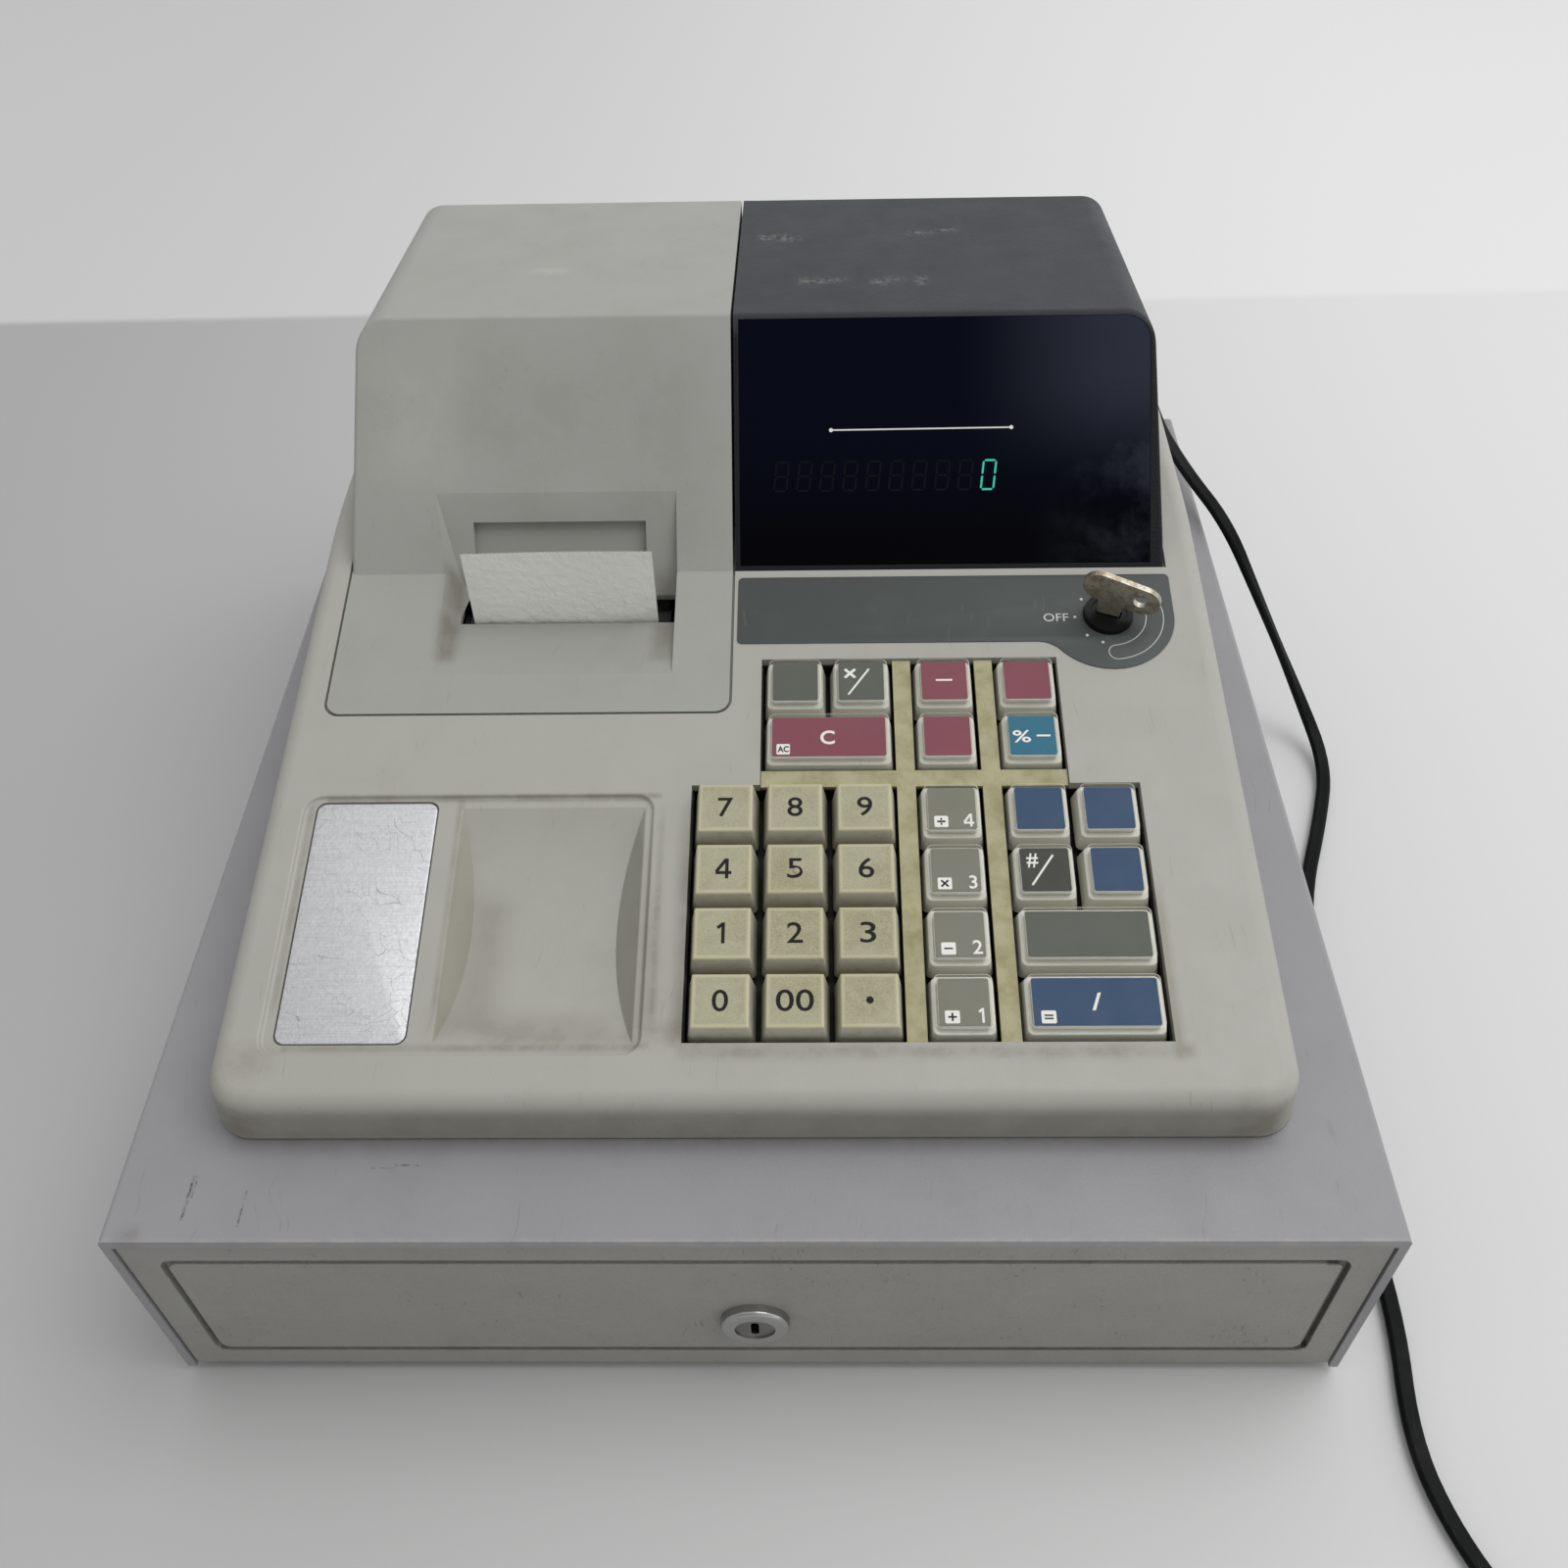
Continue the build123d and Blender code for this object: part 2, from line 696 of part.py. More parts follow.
def dish(grow):
    """Scooped hollow: an arc across the depth, between side walls that slope in."""
    low = -dish_depth - grow
    with BuildPart(mode=Mode.PRIVATE) as scoop:
        with BuildSketch(Plane(origin=deck(0).origin, x_dir=deck(0).y_dir, z_dir=(1, 0, 0))):
            with BuildLine():
                ThreePointArc((dish_front - grow, 0), ((dish_front + dish_back) / 2, low),
                              (dish_back + grow, 0))
                Line((dish_back + grow, 0), (dish_front - grow, 0))
            make_face()
        extrude(amount=300, both=True)
        with BuildSketch(Plane(origin=deck(0).origin, x_dir=(1, 0, 0), z_dir=-deck(0).y_dir)):
            with BuildLine():
                Polyline((dish_left - grow, 0), (dish_right + grow, 0), (dish_right - 9 + grow, low - 1),
                         (dish_left + 6 - grow, low - 1), close=True)
            make_face()
        extrude(amount=400, both=True, mode=Mode.INTERSECT)
    return scoop.part


def cover_seat():
    """Room for the two covers: a step below the deck and shoulder, as wide as both together."""
    left = -hood_left - cover_gap
    right = hood_right + cover_gap
    back = body_back + 1
    apron_right = hood_seam + cover_gap / 2
    with BuildPart(mode=Mode.PRIVATE) as room:
        with BuildSketch(side(left)):
            with BuildLine():
                Polyline((hood_base, deck_height(hood_base) - cover_step),
                         (shoulder_start, shoulder_height - cover_step),
                         (back, back_shoulder - cover_step), (back, hood_crease_height),
                         (hood_base, hood_crease_height), close=True)
            make_face()
        extrude(amount=right - left)
        first = deck_row(apron_start)
        last = deck_row(hood_base) + ledge
        with BuildSketch(deck(-cover_step * cos(deck_angle))):
            with Locations(((left + apron_right) / 2, (first + last) / 2)):
                Rectangle(apron_right - left, last - first)
        extrude(amount=hood_crease_rise)
        uprights = room.edges().filter_by(lambda e: abs(e.tangent_at(0.5).Z) > 0.9)
        fillet(uprights.group_by(Axis.Y)[0], radius=apron_corner + cover_gap / 2)
    return room.part


def edges_on_deck(builder, rise, left, right, first_row, last_row):
    """Edges that lie in the deck's plane at a rise and inside a rectangle on it."""
    def inside(edge):
        place = deck(rise).to_local_coords(edge.center())
        ends = [deck(rise).to_local_coords(edge @ t).Z for t in (0, 0.5, 1)]
        return (max(abs(z) for z in ends) < 0.01 and left - 0.1 < place.X < right + 0.1
                and first_row - 0.1 < place.Y < last_row + 0.1)
    return builder.edges().filter_by(inside)


with BuildPart() as upper_case:
    add(body_block(0, 0, 0))
    uprights = upper_case.edges().filter_by(lambda e: abs(e.tangent_at(0.5).Z) > 0.9).group_by(Axis.Y)
    fillet(uprights[0], radius=body_corner)
    uprights = upper_case.edges().filter_by(lambda e: abs(e.tangent_at(0.5).Z) > 0.9).group_by(Axis.Y)
    fillet(uprights[-1], radius=body_back_corner)
    tops = upper_case.faces().filter_by(lambda f: f.normal_at(f.center()).Z > 0.9)
    rim = tops.edges().filter_by(
        lambda e: e.center().Y < cabinet_front + body_back - 1
        and (abs(e.center().X) > body_width / 2 - body_corner
             or e.center().Y < cabinet_front + body_front + 1))
    fillet(rim, radius=body_edge)
    add(body_block(side_wall, deck_wall, 5), mode=Mode.SUBTRACT)
    # bowl of the coin dish and floor of the tray, under the deck
    add(dish(dish_wall))
    with BuildSketch(deck(-deck_wall - plate_thickness)):
        with Locations(((tray_left + tray_right) / 2, tray_front + tray_length / 2)):
            Rectangle(tray_right - tray_left, tray_length)
    extrude(amount=plate_thickness + 0.5)
    with BuildSketch(deck(0)):
        with Locations(((tray_left + tray_right) / 2, tray_front + tray_length / 2)):
            RectangleRounded(tray_right - tray_left, tray_length, tray_corner)
    extrude(amount=-tray_depth, mode=Mode.SUBTRACT)
    fillet(edges_on_deck(upper_case, 0, tray_left, tray_right, tray_front, tray_front + tray_length),
           radius=tray_edge)
    with BuildSketch(deck(-tray_depth)):
        with Locations((plate_left + plate_width / 2, plate_front + plate_length / 2)):
            RectangleRounded(plate_width + 0.6, plate_length + 0.6, 3)
    extrude(amount=-plate_thickness - 0.2, mode=Mode.SUBTRACT)
    add(dish(0), mode=Mode.SUBTRACT)
    fillet(edges_on_deck(upper_case, -tray_depth, dish_left, dish_right, dish_front, dish_back),
           radius=dish_edge)
    # opening for the keys
    with BuildSketch(deck(1)):
        x_mid, x_size = span(lower_left, lower_right)
        y_mid, y_size = span(lower_front, lower_back)
        with Locations((x_mid, y_mid)):
            Rectangle(x_size, y_size)
        x_mid, x_size = span(upper_left, upper_right)
        y_mid, y_size = span(lower_back - 1, upper_back)
        with Locations((x_mid, y_mid)):
            Rectangle(x_size, y_size)
    extrude(amount=-deck_wall - 3, mode=Mode.SUBTRACT)
    # stepped openings under the printer cover and the display hood
    add(cover_seat(), mode=Mode.SUBTRACT)
    with BuildSketch(level(body_bottom + 12)):
        end = body_back - side_wall - running
        for low, high, start in ((-hood_left + ledge - cover_gap, hood_seam - ledge, apron_start + ledge),
                                 (hood_seam + ledge, hood_right - ledge, hood_base + front_ledge)):
            with Locations(((low + high) / 2, (start + end) / 2)):
                Rectangle(high - low, end - start)
    extrude(amount=100, mode=Mode.SUBTRACT)
    # mode lock and cord holes
    with BuildSketch(deck(1)):
        with Locations((mode_x, mode_row)):
            Circle(mode_barrel / 2 + running)
    extrude(amount=-deck_wall - 3, mode=Mode.SUBTRACT)
    with BuildSketch(facing(body_back + 1)):
        with Locations((cord_exit_x, cord_exit_height)):
            Circle(gland_root / 2 - 1 + 0.1)
    extrude(amount=side_wall + 3, mode=Mode.SUBTRACT)
keep(upper_case.part, "upper_case")

# ---------------------------------------------------------------- key frame
well_floor = -(key_skirt + key_travel + 0.6)
frame_bottom = well_floor - frame_floor
stem_bottom = frame_bottom - 0.1 - collar_thickness


def well(low_column, high_column, low_row, high_row):
    """Middle and size of the well round a block of keys."""
    edge = half_pitch - 0.2
    x_mid, x_size = span(key_columns[low_column] - edge, key_columns[high_column] + edge)
    y_mid, y_size = span(key_rows[low_row] - edge, key_rows[high_row] + edge)
    return x_mid, y_mid, x_size, y_size


wells = [well(0, 2, 0, 3), well(3, 3, 0, 3), well(4, 5, 0, 3),
         well(1, 2, 4, 5), well(3, 3, 4, 5), well(4, 4, 4, 5)]

# Each key: name, its first column, its row, how many columns wide, and whether it has a clear cap
digit_names = (("0", "00", "point"), ("1", "2", "3"), ("4", "5", "6"), ("7", "8", "9"))
key_list = [(f"key_{name}", column, row, 1, False)
            for row, names in enumerate(digit_names)
            for column, name in enumerate(names)]
key_list += [("key_plus", 3, 0, 1, True), ("key_minus", 3, 1, 1, True),
             ("key_times", 3, 2, 1, True), ("key_divide", 3, 3, 1, True),
             ("key_cash", 4, 0, 2, True), ("key_subtotal", 4, 1, 2, True),
             ("key_no_sale", 4, 2, 1, True), ("key_charge", 5, 2, 1, True),
             ("key_received", 4, 3, 1, True), ("key_paid_out", 5, 3, 1, True),
             ("key_clear", 1, 4, 2, True), ("key_void", 3, 4, 1, True), ("key_percent", 4, 4, 1, True),
             ("key_feed", 1, 5, 1, True), ("key_date", 2, 5, 1, True),
             ("key_discount", 3, 5, 1, True), ("key_release", 4, 5, 1, True)]


def key_place(column, row, columns_wide):
    """Middle of a key on the deck."""
    return (key_columns[column] + (columns_wide - 1) * half_pitch, key_rows[row])


def stems(column, row, columns_wide):
    """Middles of a key's stems: one, or two under a double-wide key."""
    x, y = key_place(column, row, columns_wide)
    return [(x + n * half_pitch, y) for n in ((0,) if columns_wide == 1 else (-1, 1))]


with BuildPart() as key_frame:
    with BuildSketch(deck(frame_bottom)):
        x_mid, x_size = span(lower_left - frame_rim, lower_right + frame_rim)
        y_mid, y_size = span(lower_front - frame_rim, lower_back + key_bar + frame_rim)
        with Locations((x_mid, y_mid)):
            Rectangle(x_size, y_size)
        x_mid, x_size = span(upper_left - frame_rim, upper_right + frame_rim)
        y_mid, y_size = span(lower_back, upper_back + frame_rim)
        with Locations((x_mid, y_mid)):
            Rectangle(x_size, y_size)
    extrude(amount=-frame_bottom - deck_wall)
    # bars between the groups of keys, standing up into the opening
    bar_size = key_bar + 0.4
    with BuildSketch(deck(-deck_wall - 0.2)):
        for column in (2, 3):
            x_mid = key_columns[column] + half_pitch + key_bar / 2
            with Locations((x_mid, (lower_front + upper_back) / 2)):
                Rectangle(bar_size, upper_back - lower_front - 0.4)
        x_mid, x_size = span(upper_left + 0.2, upper_right - 0.2)
        with Locations((x_mid, lower_back + key_bar / 2)):
            Rectangle(x_size, bar_size)
    extrude(amount=deck_wall + 0.2 - bar_below_deck)
    with BuildSketch(deck(well_floor)):
        for x_mid, y_mid, x_size, y_size in wells:
            with Locations((x_mid, y_mid)):
                Rectangle(x_size, y_size)
    extrude(amount=-well_floor + 1, mode=Mode.SUBTRACT)
    # guide holes for the stems
    with BuildSketch(deck(frame_bottom - 1)):
        for label, column, row, columns_wide, clear in key_list:
            with Locations(*stems(column, row, columns_wide)):
                Circle(key_stem / 2 + running)
    extrude(amount=frame_floor + 2, mode=Mode.SUBTRACT)
keep(key_frame.part, "key_frame")


# ---------------------------------------------------------------- keys
def key(label, column, row, columns_wide, clear):
    """A key: a tapered cap on a guided stem with a stop collar; some have a clear cover."""
    place = key_place(column, row, columns_wide)
    stem_places = stems(column, row, columns_wide)
    extra = (columns_wide - 1) * key_pitch
    taper = degrees(atan((key_base - key_top) / 2 / (key_skirt + key_rise)))
    cover_seat_rise = 0.2
    block = key_top - 1.4
    with BuildPart() as cap:
        with BuildSketch(deck(-key_skirt)):
            with Locations(place):
                RectangleRounded(key_base + extra, key_base, 1.8)
        if clear:
            extrude(amount=key_skirt + cover_seat_rise, taper=taper)
            with BuildSketch(deck(cover_seat_rise)):
                with Locations(place):
                    RectangleRounded(block + extra, block, 1.0)
            extrude(amount=clear_key_rise - 0.7 - cover_seat_rise)
        else:
            extrude(amount=key_skirt + key_rise, taper=taper)
            upward = deck(0).z_dir
            fillet(cap.faces().sort_by(Axis(deck(0).origin, upward))[-1].edges(), radius=0.7)
        # hollow underside
        with BuildSketch(deck(-key_skirt)):
            with Locations(place):
                RectangleRounded(key_base - 3.4 + extra, key_base - 3.4, 1)
        extrude(amount=key_skirt - 2.0, mode=Mode.SUBTRACT)
        with BuildSketch(deck(stem_bottom)):
            with Locations(*stem_places):
                Circle(key_stem / 2)
        extrude(amount=-stem_bottom - 1.5)
        with BuildSketch(deck(stem_bottom)):
            with Locations(*stem_places):
                Circle(key_collar / 2)
        extrude(amount=collar_thickness)
        if clear:
            lift = 0.05
            rise = cover_seat_rise + lift
            waist = key_base - 2 * (key_skirt + rise) * tan(radians(taper))
            with BuildSketch(deck(rise)):
                with Locations(place):
                    RectangleRounded(waist + extra, waist, 1.6)
            extrude(amount=clear_key_rise - rise, taper=taper * 0.8)
            with BuildSketch(deck(rise)):
                with Locations(place):
                    RectangleRounded(block + 0.2 + extra, block + 0.2, 1.1)
            extrude(amount=clear_key_rise - 0.65 - rise, mode=Mode.SUBTRACT)
            with BuildSketch(deck(rise)):
                with Locations(place):
                    RectangleRounded(block + extra, block, 1.0)
            extrude(amount=clear_key_rise - 0.7 - rise)
    keep(cap.part, label)


for entry in key_list:
    key(*entry)

# ---------------------------------------------------------------- circuit boards
with BuildPart() as circuit_boards:
    # keyboard board under the key frame, and its contact mat
    x_mid, x_size = span(lower_left - frame_rim, lower_right + frame_rim)
    y_mid, y_size = span(lower_front - frame_rim, upper_back + frame_rim)
    with BuildSketch(deck(board_rise)):
        with Locations((x_mid, y_mid)):
            Rectangle(x_size, y_size)
    extrude(amount=board_thickness + mat_thickness)
    # main board on the floor behind it, with its supply transformer and two large chips
    board_x = main_board_left + main_board_width / 2
    board_depth = main_board_start + main_board_length / 2
    with BuildSketch(level(floor_top + main_board_lift)):
        with Locations((board_x, board_depth)):
            Rectangle(main_board_width, main_board_length)
    extrude(amount=board_thickness)
    with BuildSketch(level(floor_top)):
        with Locations((board_x, board_depth)):
            with GridLocations(main_board_width - 10, main_board_length - 10, 2, 2):
                Circle(main_board_lift)
    extrude(amount=main_board_lift + board_thickness / 2)
    board_top = floor_top + main_board_lift + board_thickness - 0.2
    with BuildSketch(level(board_top)):
        with Locations((board_x + main_board_width / 4, board_depth + main_board_length / 4)):
            Rectangle(transformer_width, transformer_length)
    extrude(amount=transformer_height)
    with BuildSketch(level(board_top)):
        with Locations((board_x - main_board_width / 4, board_depth - main_board_length / 8),
                       (board_x + main_board_width / 8, board_depth - main_board_length / 3)):
            Rectangle(chip_length, chip_width)
    extrude(amount=chip_width / 3)
keep(circuit_boards.part, "circuit_boards")

# ---------------------------------------------------------------- hoods
def hood_outline(x, inset, drop):
    """Side outline of the hoods; inset leaves the wall, drop carries the inner form down."""
    sink = cover_step
    with BuildSketch(side(x)) as outline:
        with BuildLine():
            Polyline((hood_base, deck_height(hood_base)), (hood_crease_depth, hood_crease_height),
                     (body_back, hood_back_height), (body_back, back_shoulder - sink - drop),
                     (shoulder_start, shoulder_height - sink - drop),
                     (hood_base - drop * 0.6, deck_height(hood_base) - sink - drop * 0.6),
                     close=True)
        make_face()
        if inset:
            offset(amount=-inset, kind=Kind.INTERSECTION, mode=Mode.REPLACE)
    return outline.sketch


def hood_block(sign, outer, inner, inset, drop):
    """One hood as a solid: sign -1 is the printer's side and 1 the display's."""
    low, high = sorted((sign * outer, inner))
    with BuildPart(mode=Mode.PRIVATE) as block:
        extrude(hood_outline(low, inset, drop), amount=high - low)
        foot = cabinet_top
        lean = hood_lean / (hood_crease_height - shoulder_height)
        at_foot = outer + lean * (shoulder_height - foot)
        at_top = outer - lean * (hood_crease_height + 10 - shoulder_height)
        with BuildSketch(facing(0)):
            with BuildLine():
                Polyline((sign * at_foot, foot), (sign * at_top, hood_crease_height + 10),
                         (inner, hood_crease_height + 10), (inner, foot), close=True)
            make_face()
        extrude(amount=-cabinet_depth - 50, mode=Mode.INTERSECT)
        top = block.faces().filter_by(lambda f: f.normal_at(f.center()).Z > 0.9).sort_by(Axis.Z)[-1]
        ridge = top.edges().filter_by(lambda e: abs(e.tangent_at(0.5).Y) > 0.9).sort_by(Axis.X)
        fillet(ridge[0] if sign < 0 else ridge[-1], radius=hood_edge - inset)
    return block.part


def crisp(builder, sign):
    """Small rounding round the leaning front face, except at the seam and the base."""
    normal = hood_face().z_dir
    face = builder.faces().filter_by(lambda f: f.normal_at(f.center()).dot(normal) > 0.99)
    face = face.sort_by(SortBy.AREA)[-1]
    lowest = deck_height(hood_base) + 1
    edges = [e for e in face.edges()
             if e.center().Z > lowest and sign * e.center().X > sign * hood_seam + 1]
    fillet(edges, radius=hood_crisp)


outlet_angle = atan2(outlet_top_height - outlet_floor, outlet_top_depth - outlet_back)


def outlet(grow):
    """Hollow that the receipt comes out of: floor, open slot, leaning back and slanted left."""
    with BuildPart(mode=Mode.PRIVATE) as hollow:
        with BuildSketch(side(outlet_left - 12 - grow)):
            with BuildLine():
                Polyline((outlet_front, deck_height(outlet_front)), (outlet_lip, outlet_floor),
                         (outlet_back, outlet_floor), (outlet_top_depth, outlet_top_height),
                         (outlet_top_depth - 8, outlet_top_height + 8),
                         (outlet_front - 4, deck_height(outlet_front) + 4), close=True)
            make_face()
            if grow:
                offset(amount=grow, kind=Kind.INTERSECTION, mode=Mode.REPLACE)
        extrude(amount=outlet_right - outlet_left + 12 + 2 * grow)
        # the left side leans in two facets, one under the deck and one under the hood's front
        low_corner = (outlet_low_left, outlet_front, deck_height(outlet_front))
        fold = (outlet_low_left - 0.5, hood_base, deck_height(hood_base))
        floor_corner = (outlet_slot_left, outlet_lip, outlet_floor)
        back_corner = (outlet_slot_left, outlet_back, outlet_floor)
        top_corner = (outlet_left, outlet_top_depth, outlet_top_height)
        for a, b, c in ((low_corner, fold, floor_corner), (fold, top_corner, back_corner)):
            a, b, c = world(a), world(b), world(c)
            lean = (c - a).cross(b - a).normalized()
            with BuildSketch(Plane(origin=a - lean * grow, z_dir=lean)):
                Rectangle(400, 400)
            extrude(amount=300, mode=Mode.INTERSECT)
    return hollow.part


def channel(grow):
    """Shallow channel in the outlet's back wall, behind the paper."""
    normal = Vector(0, -sin(outlet_angle), cos(outlet_angle))
    start = Vector(0, cabinet_front + outlet_top_depth, outlet_top_height)
    down = (outlet_top_height - channel_top) / sin(outlet_angle)
    length = (channel_top - outlet_floor) / sin(outlet_angle) + 2
    plane = Plane(origin=start + normal * 1.0, x_dir=(1, 0, 0), z_dir=normal)
    with BuildPart(mode=Mode.PRIVATE) as groove:
        with BuildSketch(plane):
            with Locations(((channel_left + channel_right) / 2, -down - length / 2)):
                Rectangle(channel_right - channel_left + 2 * grow, length + 2 * grow)
        extrude(amount=-channel_depth - 1.0 - grow)
    return groove.part


with BuildPart() as printer_cover:
    add(hood_block(-1, hood_left, hood_seam - cover_gap / 2, 0, 0))
    crisp(printer_cover, -1)
    # flat front part, flush in the deck
    first = deck_row(apron_start) + cover_gap
    last = deck_row(hood_base) + ledge
    with BuildSketch(deck(-cover_step * cos(deck_angle))) as apron:
        with Locations(((-hood_left + hood_seam - cover_gap / 2) / 2, (first + last) / 2)):
            Rectangle(hood_left + hood_seam - cover_gap / 2, last - first)
        fillet(apron.vertices().group_by(Axis.Y)[0], radius=apron_corner)
    extrude(amount=cover_step * cos(deck_angle))
    add(hood_block(-1, hood_left - hood_wall, hood_seam - cover_gap / 2 - hood_wall, hood_wall, 30),
        mode=Mode.SUBTRACT)
    add(outlet(outlet_wall))
    add(channel(outlet_wall))
    # nothing of the outlet's walls stands out of the cover
    with BuildSketch(side(-body_width / 2)):
        with BuildLine():
            Polyline((outlet_front - 30, deck_height(outlet_front - 30)), (hood_base, deck_height(hood_base)),
                     (hood_crease_depth, hood_crease_height), (hood_crease_depth, hood_crease_height + 40),
                     (outlet_front - 30, hood_crease_height + 40), close=True)
        make_face()
    extrude(amount=body_width, mode=Mode.SUBTRACT)
    add(outlet(0), mode=Mode.SUBTRACT)
    add(channel(0), mode=Mode.SUBTRACT)
    # slot under the paper
    slot_mid, slot_size = span(outlet_slot_left, outlet_right - 0.7)
    with BuildSketch(level(outlet_floor - 14)):
        with Locations((slot_mid, (outlet_lip + outlet_back) / 2)):
            Rectangle(slot_size, outlet_back - outlet_lip)
    extrude(amount=14.5, mode=Mode.SUBTRACT)
keep(printer_cover.part, "printer_cover")

window_left = hood_seam + cover_gap / 2 + window_margin
window_right = hood_right - 4.2
face_length = hypot(hood_crease_depth - hood_base, hood_crease_height - deck_height(hood_base))
with BuildPart() as display_cover:
    add(hood_block(1, hood_right, hood_seam + cover_gap / 2, 0, 0))
    crisp(display_cover, 1)
    add(hood_block(1, hood_right - hood_wall, hood_seam + cover_gap / 2 + hood_wall, window_frame, 30),
        mode=Mode.SUBTRACT)
    with BuildSketch(hood_face(0)) as glazing:
        with Locations(((window_left + window_right) / 2, face_length / 2)):
            Rectangle(window_right - window_left, face_length - 2 * window_margin)
        fillet(glazing.vertices().sort_by(Axis.X).group_by(Axis.X)[-1].sort_by(Axis.Y)[-1],
               radius=hood_edge - window_margin)
    extrude(amount=-window_thickness - 0.1, mode=Mode.SUBTRACT)
    with BuildSketch(hood_face(-window_thickness)):
        with Locations((tube_x, tube_row)):
            Rectangle(tube_width - 8, tube_height - 6)
    extrude(amount=-window_frame, mode=Mode.SUBTRACT)
keep(display_cover.part, "display_cover")

with BuildPart() as display_window:
    with BuildSketch(hood_face(-window_thickness)) as pane:
        with Locations(((window_left + window_right) / 2, face_length / 2)):
            Rectangle(window_right - window_left - 0.3, face_length - 2 * window_margin - 0.3)
        fillet(pane.vertices().sort_by(Axis.X).group_by(Axis.X)[-1].sort_by(Axis.Y)[-1],
               radius=hood_edge - window_margin)
    extrude(amount=window_thickness)
keep(display_window.part, "display_window")

with BuildPart() as display_tube:
    with BuildSketch(hood_face(-window_frame)):
        with Locations((tube_x, tube_row)):
            RectangleRounded(tube_width, tube_height, 2)
    extrude(amount=-tube_thickness)
keep(display_tube.part, "display_tube")

# ---------------------------------------------------------------- mode lock
with BuildPart() as mode_lock:
    with BuildSketch(deck(0)):
        with Locations((mode_x, mode_row)):
            Circle(mode_ring / 2)
    extrude(amount=mode_proud, taper=12)
    with BuildSketch(deck(0)):
        with Locations((mode_x, mode_row)):
            Circle(mode_barrel / 2)
    extrude(amount=-mode_length)
    with BuildSketch(deck(mode_proud + 1)):
        with Locations((mode_x, mode_row)):
            Circle(mode_rotor / 2 + running)
    extrude(amount=-mode_length - mode_proud + 0.5, mode=Mode.SUBTRACT)
keep(mode_lock.part, "mode_lock")

key_slot = 7.0
key_slot_depth = 3.0
bow_size = 11.0
bow_reach = 13.0
bow_turn = 20.0
bow_hole = 4.6
mode_axis = deck(0).from_local_coords((mode_x, mode_row, 0))
# the key's blade stands on the lock's axis, turned a little from straight across
blade = Plane(origin=mode_axis, x_dir=deck(0).x_dir, z_dir=deck(0).z_dir).rotated((0, 0, -bow_turn))
bow_plane = Plane(origin=blade.origin, x_dir=blade.x_dir, z_dir=-blade.y_dir)
with BuildPart() as mode_key:
    rotor_face = mode_proud - 0.4
    with BuildSketch(deck(rotor_face)):
        with Locations((mode_x, mode_row)):
            Circle(mode_rotor / 2)
    extrude(amount=-mode_length - rotor_face + 2.4)
    with BuildSketch(deck(rotor_face)):
        with Locations((mode_x, mode_row)):
            Rectangle(key_slot + 0.8, mode_key_sheet + 0.8, rotation=-bow_turn)
    extrude(amount=-key_slot_depth, mode=Mode.SUBTRACT)
    with BuildSketch(bow_plane):
        # local y points up out of the deck
        with Locations((0, rotor_face - key_slot_depth + 5)):
            Rectangle(key_slot, 10.5)
        with Locations((3.2, 12.0)):
            SlotCenterToCenter(bow_reach, bow_size, rotation=-13)
        with Locations((9.2, 10.5)):
            Circle(bow_hole / 2, mode=Mode.SUBTRACT)
    extrude(amount=mode_key_sheet / 2, both=True)
keep(mode_key.part, "mode_key")

# ---------------------------------------------------------------- printer
frame_left = paper_centre - paper_width / 2 - frame_side_gap
frame_right = paper_centre + paper_width / 2 + frame_side_gap
with BuildPart() as printer_frame:
    with BuildSketch(level(floor_top)):
        with Locations(((frame_left + frame_right) / 2, (frame_front + frame_back) / 2)):
            Rectangle(frame_right - frame_left, frame_back - frame_front)
    extrude(amount=frame_sheet)
    for x in (frame_left, frame_right - frame_sheet):
        with BuildSketch(side(x)):
            with BuildLine():
                Polyline((frame_front, floor_top), (frame_front, platen_height + platen_shaft),
                         (platen_depth + platen_diameter, platen_height + platen_shaft),
                         (roll_depth - roll_bore, roll_centre), (roll_depth - roll_bore, roll_centre + roll_bore),
                         (roll_depth + roll_bore, roll_centre + roll_bore), (frame_back, floor_top), close=True)
            make_face()
            with Locations((platen_depth, platen_height)):
                Circle(platen_shaft / 2 + running, mode=Mode.SUBTRACT)
        extrude(amount=frame_sheet)
    # spindle of the roll
    with BuildSketch(side(frame_left)):
        with Locations((roll_depth, roll_centre)):
            Circle(roll_bore / 2 - running)
    extrude(amount=frame_right - frame_left)
    # print head in front of the paper, on a bridge
    with BuildSketch(side(frame_left)):
        with BuildLine():
            Polyline((frame_front, platen_height - platen_diameter),
                     (paper_plane - head_gap, platen_height - platen_diameter),
                     (paper_plane - head_gap, platen_height + platen_shaft / 2),
                     (frame_front, platen_height + platen_shaft / 2), close=True)
        make_face()
    extrude(amount=frame_right - frame_left)
keep(printer_frame.part, "printer_frame")

with BuildPart() as platen_roller:
    with BuildSketch(side(frame_left - 8)):
        with Locations((platen_depth, platen_height)):
            Circle(platen_shaft / 2)
    extrude(amount=frame_right - frame_left + 11)
    with BuildSketch(side(frame_left + frame_sheet + 1)):
        with Locations((platen_depth, platen_height)):
            Circle(platen_diameter / 2)
    extrude(amount=frame_right - frame_left - 2 * frame_sheet - 2)
    # drive gear on the left end
    gear_radius = platen_diameter / 2 + 1
    with BuildSketch(side(frame_left - 6)):
        with Locations((platen_depth, platen_height)):
            Circle(gear_radius)
            with PolarLocations(gear_radius, 20):
                Rectangle(2.4, 1.5)
    extrude(amount=4)
keep(platen_roller.part, "platen_roller")

